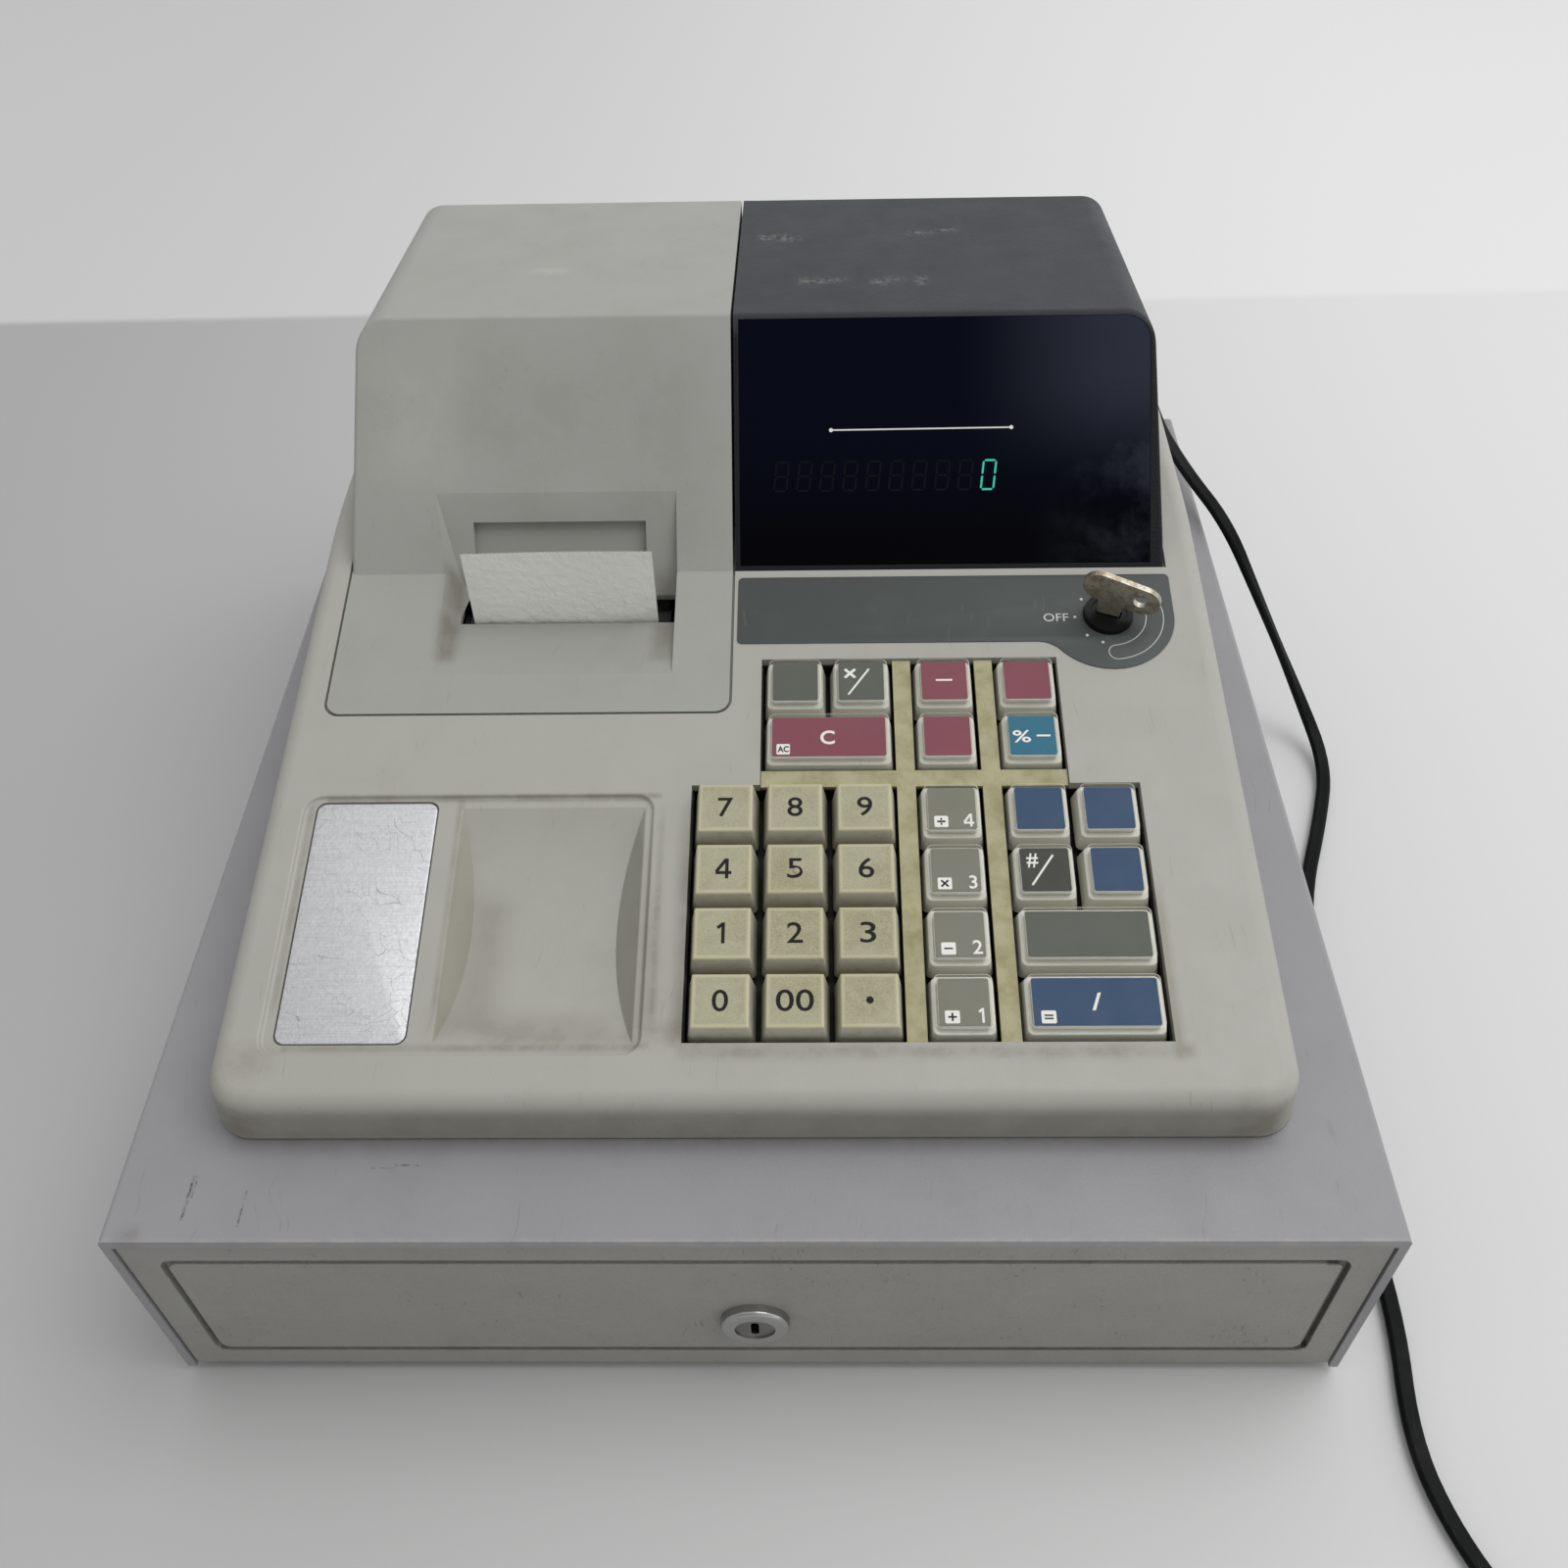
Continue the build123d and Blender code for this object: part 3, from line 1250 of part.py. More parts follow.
with BuildPart() as paper_roll:
    with BuildSketch(side(paper_centre - paper_width / 2)):
        with Locations((roll_depth, roll_centre)):
            Circle(roll_diameter / 2)
            Circle(roll_bore / 2, mode=Mode.SUBTRACT)
    extrude(amount=paper_width)
keep(paper_roll.part, "paper_roll")

with BuildPart() as receipt_paper:
    with BuildSketch(side(paper_centre - paper_width / 2)):
        with BuildLine() as run:
            Line((paper_plane, paper_top), (paper_plane, platen_height))
            RadiusArc((paper_plane, platen_height), (platen_depth, strip_height), -paper_wrap)
            Line((platen_depth, strip_height), (roll_depth, strip_height))
        trace(line_width=paper_sheet)
    extrude(amount=paper_width)
keep(receipt_paper.part, "receipt_paper")

# ---------------------------------------------------------------- power cord
with BuildPart() as cord_gland:
    with BuildSketch(facing(body_back)):
        with Locations((cord_exit_x, cord_exit_height)):
            Circle(gland_root / 2)
    with BuildSketch(facing(body_back + gland_length)):
        with Locations((cord_exit_x, cord_exit_height)):
            Circle(gland_tip / 2)
    loft()
    with BuildSketch(facing(body_back)):
        with Locations((cord_exit_x, cord_exit_height)):
            Circle(gland_root / 2 - 1)
    extrude(amount=side_wall + 1)
    with BuildSketch(facing(body_back - side_wall - 0.2)):
        with Locations((cord_exit_x, cord_exit_height)):
            Circle(gland_root / 2 + 1)
    extrude(amount=2)
keep(cord_gland.part, "cord_gland")

coil_outer = (coil_middle + coil_band) / 2
cord_radius = cord_diameter / 2
cord_rest = cord_radius + 0.1
cord_on_cabinet = cabinet_top + cord_radius + 0.8
# The route is a list of corners: X, depth behind the cabinet's front and height.
cord_route = [
    (cord_exit_x, body_back + gland_length, cord_exit_height),
    (cord_exit_x, body_back + gland_length + 34, cord_exit_height),
    (127, 436.5, 96),
    (157, 419, 89.5),
    (155.5, 362, cord_on_cabinet),
    (159.5, 310, 91.5),
    (170.5, 281, 88.5),
    (183, 268.5, 66.5),
    (209.5, 263.5, 16.5),
    (217.5, 238, cord_rest),
    (208.5, 209, cord_rest),
    (194, 172, cord_rest),
    (185.5, 122, cord_rest),
    (184, 66, cord_rest),
    (186, 16, cord_rest),
    (180.5, -20, cord_rest),
    (186, -46, cord_rest),
    (198.5, -69, cord_rest),
    (206.5, -92, cord_rest),
]


def corner_radii(points):
    """The largest radius that each corner's two runs leave room for."""
    radii = []
    for before, at, after in zip(points, points[1:], points[2:]):
        turn = radians((at - before).get_angle(after - at))
        shorter = min((at - before).length, (after - at).length)
        radii.append(0.45 * shorter / tan(turn / 2))
    return radii


cord_points = [world(p) for p in cord_route]
cord_radii = corner_radii(cord_points)
print("cord radii in diameters", [round(r / cord_diameter, 1) for r in cord_radii])
with BuildPart() as power_cord:
    with BuildLine() as cord_path:
        FilletPolyline(*cord_points, radius=cord_radii)
    with BuildSketch(Plane(origin=cord_path.line @ 0, z_dir=cord_path.line % 0)):
        Circle(cord_radius)
    sweep()
cord_length = sum(edge.length for edge in cord_path.edges())
print("cord length", round(cord_length, 1), "volume ratio",
      round(power_cord.part.volume / (pi * cord_radius ** 2 * cord_length), 4))
keep(power_cord.part, "power_cord")

cord_end = cord_points[-1]
cord_heading = (cord_points[-1] - cord_points[-2]).normalized()
coil_left = Vector(-cord_heading.Y, cord_heading.X, 0)
lead_length = 27.0
lead_height = 8.0
coil_centre = cord_end + cord_heading * lead_length + coil_left * (coil_middle / 2)
plug_height = 6.1
plug_root = 8.0
with BuildPart() as cord_coil:
    with BuildSketch(Plane(origin=(coil_centre.X, coil_centre.Y, 0.3))):
        Circle(coil_outer)
        Circle(coil_outer - coil_band, mode=Mode.SUBTRACT)
    extrude(amount=coil_height)
    # the turns that lead in from the floor and out to the plug
    with BuildSketch(Plane(origin=cord_end, z_dir=-cord_heading)):
        Circle(cord_radius)
    extrude(amount=-lead_length)
    with BuildSketch(Plane(origin=(coil_centre.X, coil_centre.Y - coil_middle / 2, plug_height),
                           z_dir=(1, 0, 0))):
        Circle(cord_radius)
    extrude(amount=lead_length)
keep(cord_coil.part, "cord_coil")

plug_start = coil_centre + Vector(lead_length, -coil_middle / 2, plug_height - coil_centre.Z)
plug_taper = 14.0
plug_body = 11.0
plug_wide = 18.0
plug_thick = 11.5
pin_spread = 12.7
with BuildPart() as plug:
    with BuildSketch(Plane(origin=plug_start, x_dir=(0, 1, 0), z_dir=(1, 0, 0))):
        RectangleRounded(plug_root, plug_root - 1.5, 2)
    with BuildSketch(Plane(origin=plug_start + Vector(plug_taper, 0, 0), x_dir=(0, 1, 0), z_dir=(1, 0, 0))):
        RectangleRounded(plug_wide, plug_thick, 3)
    loft()
    with BuildSketch(Plane(origin=plug_start + Vector(plug_taper, 0, 0), x_dir=(0, 1, 0), z_dir=(1, 0, 0))):
        RectangleRounded(plug_wide, plug_thick, 3)
    extrude(amount=plug_body)
    with BuildSketch(Plane(origin=plug_start + Vector(plug_taper + plug_body, 0, 0),
                           x_dir=(0, 1, 0), z_dir=(1, 0, 0))):
        with Locations((-pin_spread / 2, 0), (pin_spread / 2, 0)):
            Rectangle(1.5, 6.2)
    extrude(amount=16)
keep(plug.part, "plug")
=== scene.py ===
"""Looks of a small electronic cash register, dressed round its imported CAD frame.

Lengths are metres in the frame of the CAD model: X runs to the right, Y to the back and Z up, with
the origin under the middle of the register. Every piece has its place in its mesh.
"""

from __future__ import annotations

import json
import logging
import math
from dataclasses import dataclass, field
from enum import Enum
from typing import Iterable, Sequence

import bmesh
import bpy
from mathutils import Matrix, Vector

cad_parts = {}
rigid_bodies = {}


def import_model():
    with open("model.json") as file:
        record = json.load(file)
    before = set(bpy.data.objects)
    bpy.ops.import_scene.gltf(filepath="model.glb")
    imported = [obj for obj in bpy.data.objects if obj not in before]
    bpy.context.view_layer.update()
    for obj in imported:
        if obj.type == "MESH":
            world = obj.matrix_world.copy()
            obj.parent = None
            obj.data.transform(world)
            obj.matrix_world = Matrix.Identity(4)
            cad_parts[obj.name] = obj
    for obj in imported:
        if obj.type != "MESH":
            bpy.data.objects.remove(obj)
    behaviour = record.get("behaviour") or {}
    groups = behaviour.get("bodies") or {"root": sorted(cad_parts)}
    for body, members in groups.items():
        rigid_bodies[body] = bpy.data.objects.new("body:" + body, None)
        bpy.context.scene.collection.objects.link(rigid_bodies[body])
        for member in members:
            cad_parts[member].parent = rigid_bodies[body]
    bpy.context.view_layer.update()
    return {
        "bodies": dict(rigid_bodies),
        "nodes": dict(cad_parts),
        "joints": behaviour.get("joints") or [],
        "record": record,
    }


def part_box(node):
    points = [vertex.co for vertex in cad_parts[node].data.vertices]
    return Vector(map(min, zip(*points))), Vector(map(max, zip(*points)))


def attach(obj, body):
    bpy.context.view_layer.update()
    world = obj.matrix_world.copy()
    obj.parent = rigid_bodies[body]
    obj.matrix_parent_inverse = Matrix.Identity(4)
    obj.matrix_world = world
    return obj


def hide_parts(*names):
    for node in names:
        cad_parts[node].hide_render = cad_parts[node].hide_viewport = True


LOG = logging.getLogger("register")
MM = 0.001
CABINET_FRONT = -0.17925
#: The floor lies a hair under the feet.
FLOOR_LEVEL = -0.00002

Point2 = tuple[float, float]
Colour = tuple[float, float, float]


def srgb(red: int, green: int, blue: int) -> Colour:
    """A colour given as eight-bit screen values, turned to linear light.

    Args:
        red: Red from 0 to 255.
        green: Green from 0 to 255.
        blue: Blue from 0 to 255.

    Returns:
        The linear colour.
    """
    def linear(value: int) -> float:
        """One channel in linear light."""
        share = value / 255
        return share / 12.92 if share <= 0.04045 else ((share + 0.055) / 1.055) ** 2.4
    return linear(red), linear(green), linear(blue)


def put(name: str, data: bpy.types.ID) -> bpy.types.Object:
    """A new object in the scene."""
    made = bpy.data.objects.new(name, data)
    bpy.context.scene.collection.objects.link(made)
    return made


def baked(holder: bpy.types.Object) -> bpy.types.Mesh:
    """The plain mesh of an evaluated object; the object and its data are used up.

    Args:
        holder: The object, which is in the scene.

    Returns:
        The mesh.
    """
    data = holder.data
    graph = bpy.context.evaluated_depsgraph_get()
    mesh = bpy.data.meshes.new_from_object(holder.evaluated_get(graph))
    holder.modifiers.clear()
    bpy.data.objects.remove(holder)
    store = bpy.data.meshes if isinstance(data, bpy.types.Mesh) else bpy.data.curves
    store.remove(data)
    return mesh


def closed_line(curve: bpy.types.Curve, outline: Sequence[Point2]) -> None:
    """Add a closed flat line to a curve.

    Args:
        curve: The curve.
        outline: The line's points.
    """
    spline = curve.splines.new("POLY")
    spline.points.add(len(outline) - 1)
    for point, (x, y) in zip(spline.points, outline):
        point.co = (x, y, 0, 1)
    spline.use_cyclic_u = True


# ------------------------------------------------------------------------------ planes of the body
@dataclass(frozen=True)
class Slope:
    """A plane that leans back: local x is X, local y runs up it and local z is its normal.

    Attributes:
        depth: How far behind the cabinet's front the plane starts.
        height: Height of its start.
        angle: How much it leans back from level, in radians.
    """

    depth: float
    height: float
    angle: float

    def matrix(self, x: float = 0.0, row: float = 0.0, rise: float = 0.0, turn: float = 0.0) -> Matrix:
        """The placing matrix of a spot on the plane.

        Args:
            x: Place across.
            row: Distance up the plane.
            rise: Height above it.
            turn: Turn about the normal, in radians.

        Returns:
            A matrix from the spot's local axes to the object's frame.
        """
        start = Matrix.Translation((0, CABINET_FRONT + self.depth, self.height))
        lean = Matrix.Rotation(self.angle, 4, "X")
        return start @ lean @ Matrix.Translation((x, row, rise)) @ Matrix.Rotation(turn, 4, "Z")


DECK = Slope(depth=0.030, height=0.098, angle=math.atan(0.205))
HOOD = Slope(depth=0.200, height=0.098 + 0.205 * 0.170, angle=math.atan2(0.1907 - 0.13285, 0.055))


# ------------------------------------------------------------------------------ shader node groups
class NodeGroup:
    """A node group with named inputs and outputs, built once."""

    def __init__(self, name: str, inputs: Sequence[tuple[str, str, object]],
                 outputs: Sequence[tuple[str, str]], kind: str = "ShaderNodeTree") -> None:
        """Make the group's tree and its sockets.

        Args:
            name: Name of the group.
            inputs: Name, type and default of each input, where a type is named without NodeSocket.
            outputs: Name and type of each output.
            kind: Blender's type name of the tree.
        """
        self.tree = bpy.data.node_groups.new(name, kind)
        for label, value, default in inputs:
            socket = self.tree.interface.new_socket(label, in_out="INPUT", socket_type=f"NodeSocket{value}")
            if default is not None:
                socket.default_value = default
        for label, value in outputs:
            self.tree.interface.new_socket(label, in_out="OUTPUT", socket_type=f"NodeSocket{value}")
        self.entry = self.tree.nodes.new("NodeGroupInput")
        self.exit = self.tree.nodes.new("NodeGroupOutput")

    def input(self, label: str) -> bpy.types.NodeSocket:
        """The inner side of a named input."""
        return self.entry.outputs[label]

    def output(self, label: str, value: bpy.types.NodeSocket) -> None:
        """Wire a value to a named output."""
        self.tree.links.new(value, self.exit.inputs[label])


class Wires:
    """Short ways to add and wire nodes in one tree."""

    def __init__(self, tree: bpy.types.NodeTree) -> None:
        """Keep the tree that the nodes go into."""
        self.tree = tree

    def node(self, kind: str, settings: dict | None = None, **inputs: object) -> bpy.types.Node:
        """Add a node, set its properties and feed its inputs.

        Args:
            kind: Blender's type name of the node.
            settings: Properties to set on it.
            **inputs: Values or sockets by input name, with spaces written as underscores, or as
                i0, i1 and so on by number.

        Returns:
            The node.
        """
        made = self.tree.nodes.new(kind)
        for key, value in (settings or {}).items():
            setattr(made, key, value)
        self.feed(made, **inputs)
        return made

    def feed(self, node: bpy.types.Node, **inputs: object) -> None:
        """Give a node's inputs their values or wires.

        Args:
            node: The node.
            **inputs: Values or sockets, named as for a new node.
        """
        for key, value in inputs.items():
            number = key[1:]
            socket = node.inputs[int(number) if number.isdigit() else key.replace("_", " ")]
            if isinstance(value, bpy.types.NodeSocket):
                self.tree.links.new(value, socket)
            else:
                socket.default_value = value

    def relief(self, shader: bpy.types.Node, distance: float, height: object) -> None:
        """Feed a shader's normal from a height, where a height of 1 is the distance in metres."""
        bump = self.node("ShaderNodeBump", Strength=1.0, Distance=distance, Height=height)
        self.feed(shader, Normal=bump.outputs[0])

    def math(self, operation: str, *values: object, clamp: bool = False) -> bpy.types.NodeSocket:
        """The result of a Math node."""
        inputs = {f"i{n}": value for n, value in enumerate(values)}
        settings = {"operation": operation, "use_clamp": clamp}
        return self.node("ShaderNodeMath", settings, **inputs).outputs[0]

    def times(self, first: object, second: object) -> bpy.types.NodeSocket:
        """The product of two values."""
        return self.math("MULTIPLY", first, second)

    def plus(self, first: object, second: object, clamp: bool = False) -> bpy.types.NodeSocket:
        """The sum of two values."""
        return self.math("ADD", first, second, clamp=clamp)

    def minus(self, first: object, second: object, clamp: bool = False) -> bpy.types.NodeSocket:
        """The first value less the second one."""
        return self.math("SUBTRACT", first, second, clamp=clamp)

    def vector(self, operation: str, *values: object) -> bpy.types.NodeSocket:
        """The vector result of a Vector Math node."""
        inputs = {f"i{n}": value for n, value in enumerate(values)}
        made = self.node("ShaderNodeVectorMath", {"operation": operation}, **inputs)
        return made.outputs["Value" if operation in ("LENGTH", "DOT_PRODUCT", "DISTANCE") else "Vector"]

    def ramp(self, value: object, low: float, high: float, out_low: float = 0.0,
             out_high: float = 1.0) -> bpy.types.NodeSocket:
        """A smooth change from one value to another.

        Args:
            value: What it depends on.
            low: Where the change starts.
            high: Where it ends.
            out_low: Result at its start.
            out_high: Result at its end.

        Returns:
            The result.
        """
        made = self.node("ShaderNodeMapRange", {"interpolation_type": "SMOOTHSTEP"},
                         i0=value, i1=low, i2=high, i3=out_low, i4=out_high)
        return made.outputs[0]

    def mix(self, share: object, first: object, second: object, blend: str = "MIX") -> bpy.types.NodeSocket:
        """A mix of two colours, which are sockets or plain colours.

        Args:
            share: Share of the second colour.
            first: The first colour.
            second: The second colour.
            blend: How they are mixed, by Blender's name.

        Returns:
            The mixed colour.
        """
        low, high = ((*value, 1.0) if isinstance(value, tuple) else value for value in (first, second))
        settings = {"data_type": "RGBA", "blend_type": blend}
        return self.node("ShaderNodeMix", settings, i0=share, i6=low, i7=high).outputs[2]

    def on_plane(self, place: object, slope: Slope) -> tuple[bpy.types.NodeSocket, ...]:
        """A place in a sloping plane's own axes: across, up the plane and above it."""
        moved = self.vector("SUBTRACT", place, (0.0, CABINET_FRONT + slope.depth, slope.height))
        turned = self.node("ShaderNodeVectorRotate", {"rotation_type": "X_AXIS"}, Vector=moved,
                           Angle=-slope.angle)
        return tuple(self.node("ShaderNodeSeparateXYZ", Vector=turned.outputs[0]).outputs[:3])

    def noise(self, place: object, scale: object, detail: float = 3.0,
              rough: float = 0.55) -> bpy.types.NodeSocket:
        """The value of a Noise Texture."""
        return self.node("ShaderNodeTexNoise", Vector=place, Scale=scale, Detail=detail,
                         Roughness=rough).outputs[0]

    def stretched(self, place: object, scale: tuple[float, float, float],
                  turn: float = 0.0) -> bpy.types.NodeSocket:
        """A place that is turned about Z and scaled, for streaks."""
        return self.node("ShaderNodeMapping", Vector=place, Rotation=(0.0, 0.0, turn),
                         Scale=scale).outputs[0]

    def swirled(self, place: object, scale: float, reach: float) -> bpy.types.NodeSocket:
        """A place that is bent by a coloured noise."""
        swirl = self.node("ShaderNodeTexNoise", Vector=place, Scale=scale).outputs[1]
        return self.vector("MULTIPLY_ADD", swirl, (reach, reach, reach), place)


def make_grain() -> NodeGroup:
    """Fine moulded or painted grain, soft mottling, dull smears and thin scratches.

    Returns:
        The group; it takes a colour and gives the aged colour, a roughness and a height.
    """
    group = NodeGroup("aged_surface", [
        ("Vector", "Vector", None), ("Color", "Color", None), ("Grime Color", "Color", None),
        ("Mottle", "Float", 0.08), ("Grime", "Float", 0.1), ("Grain Scale", "Float", 1800.0),
        ("Grain", "Float", 0.3), ("Scratches", "Float", 0.2), ("Roughness", "Float", 0.5),
    ], [("Color", "Color"), ("Roughness", "Float"), ("Height", "Float")])
    w = Wires(group.tree)
    place = group.input("Vector")
    broad = w.noise(place, 14.0, 4.0, 0.6)
    cloud = w.noise(place, 55.0, 5.0, 0.65)
    patch = w.ramp(w.plus(w.times(broad, 0.6), w.times(cloud, 0.4)), 0.38, 0.68)
    grain = w.noise(place, group.input("Grain Scale"), 2.0, 0.6)
    bend = w.swirled(place, 25.0, 0.02)
    streaks = [w.ramp(w.noise(w.stretched(bend, stretch, turn), 1.0, 1.0, 0.4), 0.70, 0.76)
               for turn, stretch in ((0.5, (900.0, 26.0, 300.0)), (-0.9, (1000.0, 20.0, 300.0)),
                                     (1.5, (700.0, 32.0, 260.0)))]
    scratch = w.math("MAXIMUM", w.math("MAXIMUM", streaks[0], streaks[1]), streaks[2])
    scratch = w.times(w.times(scratch, w.ramp(cloud, 0.5, 0.62)), group.input("Scratches"))
    dark = w.times(patch, group.input("Mottle"))
    shade = w.mix(dark, group.input("Color"), (0.55, 0.54, 0.52), "MULTIPLY")
    grime = w.times(w.ramp(w.noise(place, 33.0, 6.0, 0.7), 0.5, 0.75), group.input("Grime"))
    dirty = w.mix(grime, shade, group.input("Grime Color"))
    scored = w.mix(w.times(scratch, 0.6), dirty, group.input("Grime Color"))
    group.output("Color", scored)
    uneven = w.times(w.minus(cloud, 0.5), 0.25)
    group.output("Roughness", w.plus(group.input("Roughness"), uneven, clamp=True))
    grained = w.times(grain, group.input("Grain"))
    group.output("Height", w.minus(grained, scratch))
    return group


def make_halo() -> NodeGroup:
    """A mask that is full inside a box, fades with the distance from it and breaks up.

    Returns:
        The group; it takes the place, the box's centre, half size and fade, and gives a mask.
    """
    group = NodeGroup("box_halo", [
        ("Vector", "Vector", None), ("Centre", "Vector", None), ("Half Size", "Vector", None),
        ("Fade", "Float", 0.01), ("Break Up", "Float", 0.5), ("Break Scale", "Float", 120.0),
    ], [("Mask", "Float")])
    w = Wires(group.tree)
    offset = w.vector("ABSOLUTE", w.vector("SUBTRACT", group.input("Vector"), group.input("Centre")))
    outside = w.vector("MAXIMUM", w.vector("SUBTRACT", offset, group.input("Half Size")), (0.0, 0.0, 0.0))
    far = w.math("DIVIDE", w.vector("LENGTH", outside), group.input("Fade"))
    near = w.minus(1.0, far, clamp=True)
    broken = w.ramp(w.noise(group.input("Vector"), group.input("Break Scale"), 6.0, 0.7), 0.4, 0.6)
    kept = w.plus(w.times(broken, group.input("Break Up")),
                  w.minus(1.0, group.input("Break Up")))
    group.output("Mask", w.times(w.math("POWER", near, 1.6), kept))
    return group


# ------------------------------------------------------------------------------ finishes
@dataclass(frozen=True)
class TonePatch:
    """A patch of colour on a finish, as a box that fades out, for dirt, wear, painted shade and painted
    highlights.

    Attributes:
        centre: Middle of the box.
        half: Half its size.
        fade: How far it fades beyond the box.
        colour: Colour of the patch.
        strength: Share of the colour at the middle.
        break_up: How ragged it is, from 0 to 1.
        break_scale: How fine its ragged parts are.
        facing: Direction that the surface must face, or None for any.
    """

    centre: tuple[float, float, float]
    half: tuple[float, float, float]
    fade: float
    colour: Colour
    strength: float = 0.5
    break_up: float = 0.6
    break_scale: float = 120.0
    facing: tuple[float, float, float] | None = None


def spots(*rows: tuple) -> tuple[TonePatch, ...]:
    """Patches from rows in the order of their attributes, with colours as screen values.

    Args:
        *rows: Centre, half size, fade, colour and whatever follows.

    Returns:
        The smudges.
    """
    return tuple(TonePatch(centre, half, fade, srgb(*colour), *rest)
                 for centre, half, fade, colour, *rest in rows)


@dataclass(frozen=True)
class Finish:
    """A surface finish, from which one material is made.

    Attributes:
        name: Name of the material.
        colour: Main colour, linear.
        roughness: Plain roughness before it is broken up.
        metallic: 1 for bare metal.
        grime_colour: Colour that dirt and scratches show.
        mottle: Depth of the soft dark clouds.
        grime: Share of dirt in the dirty patches.
        grain_scale: Fineness of the grain.
        grain: Depth of the grain.
        scratches: Depth of the scratches.
        bump: Height of all the relief, in metres.
        coat: Clear coat on top, from 0 to 1.
        specular: Strength of the plain reflection.
        tone_patches: Patches of dirt, wear, painted shade and painted highlights.
    """

    name: str
    colour: Colour
    roughness: float = 0.5
    metallic: float = 0.0
    grime_colour: Colour = (0.05, 0.045, 0.035)
    mottle: float = 0.12
    grime: float = 0.08
    grain_scale: float = 1800.0
    grain: float = 0.35
    scratches: float = 0.25
    bump: float = 0.00015
    coat: float = 0.0
    specular: float = 0.5
    tone_patches: tuple[TonePatch, ...] = ()


class Paintbox:
    """Makes each finish's material once and hands it out."""

    def __init__(self) -> None:
        """Build the shared shader groups."""
        self.grain = make_grain()
        self.halo = make_halo()
        self.made: dict[str, bpy.types.Material] = {}

    @staticmethod
    def start(name: str) -> tuple[bpy.types.Material, Wires, bpy.types.Node, bpy.types.NodeSocket]:
        """A new material with its shader and the object's own coordinates.

        Args:
            name: Name of the material.

        Returns:
            The material, its wiring helper, its Principled shader and the coordinate socket.
        """
        material = bpy.data.materials.new(name)
        material.use_nodes = True
        shader = material.node_tree.nodes["Principled BSDF"]
        wires = Wires(material.node_tree)
        place = wires.node("ShaderNodeTexCoord").outputs["Object"]
        return material, wires, shader, place

    def with_tone_patches(self, wires: Wires, place: bpy.types.NodeSocket, colour: object,
                tone_patches: Iterable[TonePatch]) -> object:
        """Lay the patches of dirt, wear, painted shade and painted highlights over a colour, one after the
        other.
        """
        for tone_patch in tone_patches:
            halo = wires.node("ShaderNodeGroup", {"node_tree": self.halo.tree}, Vector=place,
                              Centre=tone_patch.centre, Half_Size=tone_patch.half, Fade=tone_patch.fade,
                              Break_Up=tone_patch.break_up, Break_Scale=tone_patch.break_scale).outputs[0]
            if tone_patch.facing:
                normal = wires.node("ShaderNodeNewGeometry").outputs["Normal"]
                turned = wires.vector("DOT_PRODUCT", normal, tone_patch.facing)
                halo = wires.times(halo, wires.ramp(turned, 0.10, 0.32))
            colour = wires.mix(wires.times(halo, tone_patch.strength), colour, tone_patch.colour)
        return colour

    def get(self, finish: Finish) -> bpy.types.Material:
        """The material of a finish, made at its first use.

        Args:
            finish: What the surface is like.

        Returns:
            The material.
        """
        if finish.name in self.made:
            return self.made[finish.name]
        material, wires, shader, place = self.start(finish.name)
        aged = wires.node("ShaderNodeGroup", {"node_tree": self.grain.tree}, Vector=place,
                          Color=(*finish.colour, 1), Grime_Color=(*finish.grime_colour, 1),
                          Mottle=finish.mottle, Grime=finish.grime, Grain_Scale=finish.grain_scale,
                          Grain=finish.grain, Scratches=finish.scratches, Roughness=finish.roughness)
        colour = self.with_tone_patches(wires, place, aged.outputs["Color"], finish.tone_patches)
        wires.feed(shader, Base_Color=colour, Roughness=aged.outputs["Roughness"], Metallic=finish.metallic,
                   Coat_Weight=finish.coat, Specular_IOR_Level=finish.specular)
        wires.relief(shader, finish.bump, aged.outputs["Height"])
        self.made[finish.name] = material
        return material


# ------------------------------------------------------------------------------ mesh making
def rounded_rectangle(width: float, height: float, radius: float, steps: int = 6) -> list[Point2]:
    """Points round a rectangle with round corners, middle at the origin.

    Args:
        width: Size across.
        height: Size up.
        radius: Corner radius.
        steps: Segments in each corner.

    Returns:
        The points, counter-clockwise.
    """
    points = []
    for corner, (sx, sy) in enumerate(((1, 1), (-1, 1), (-1, -1), (1, -1))):
        for step in range(steps + 1):
            angle = (corner + step / steps) * math.pi / 2
            points.append((sx * (width / 2 - radius) + radius * math.cos(angle),
                           sy * (height / 2 - radius) + radius * math.sin(angle)))
    return points


def circle(radius: float, steps: int = 32) -> list[Point2]:
    """Points round a circle, counter-clockwise."""
    return [(radius * math.cos(2 * math.pi * n / steps), radius * math.sin(2 * math.pi * n / steps))
            for n in range(steps)]


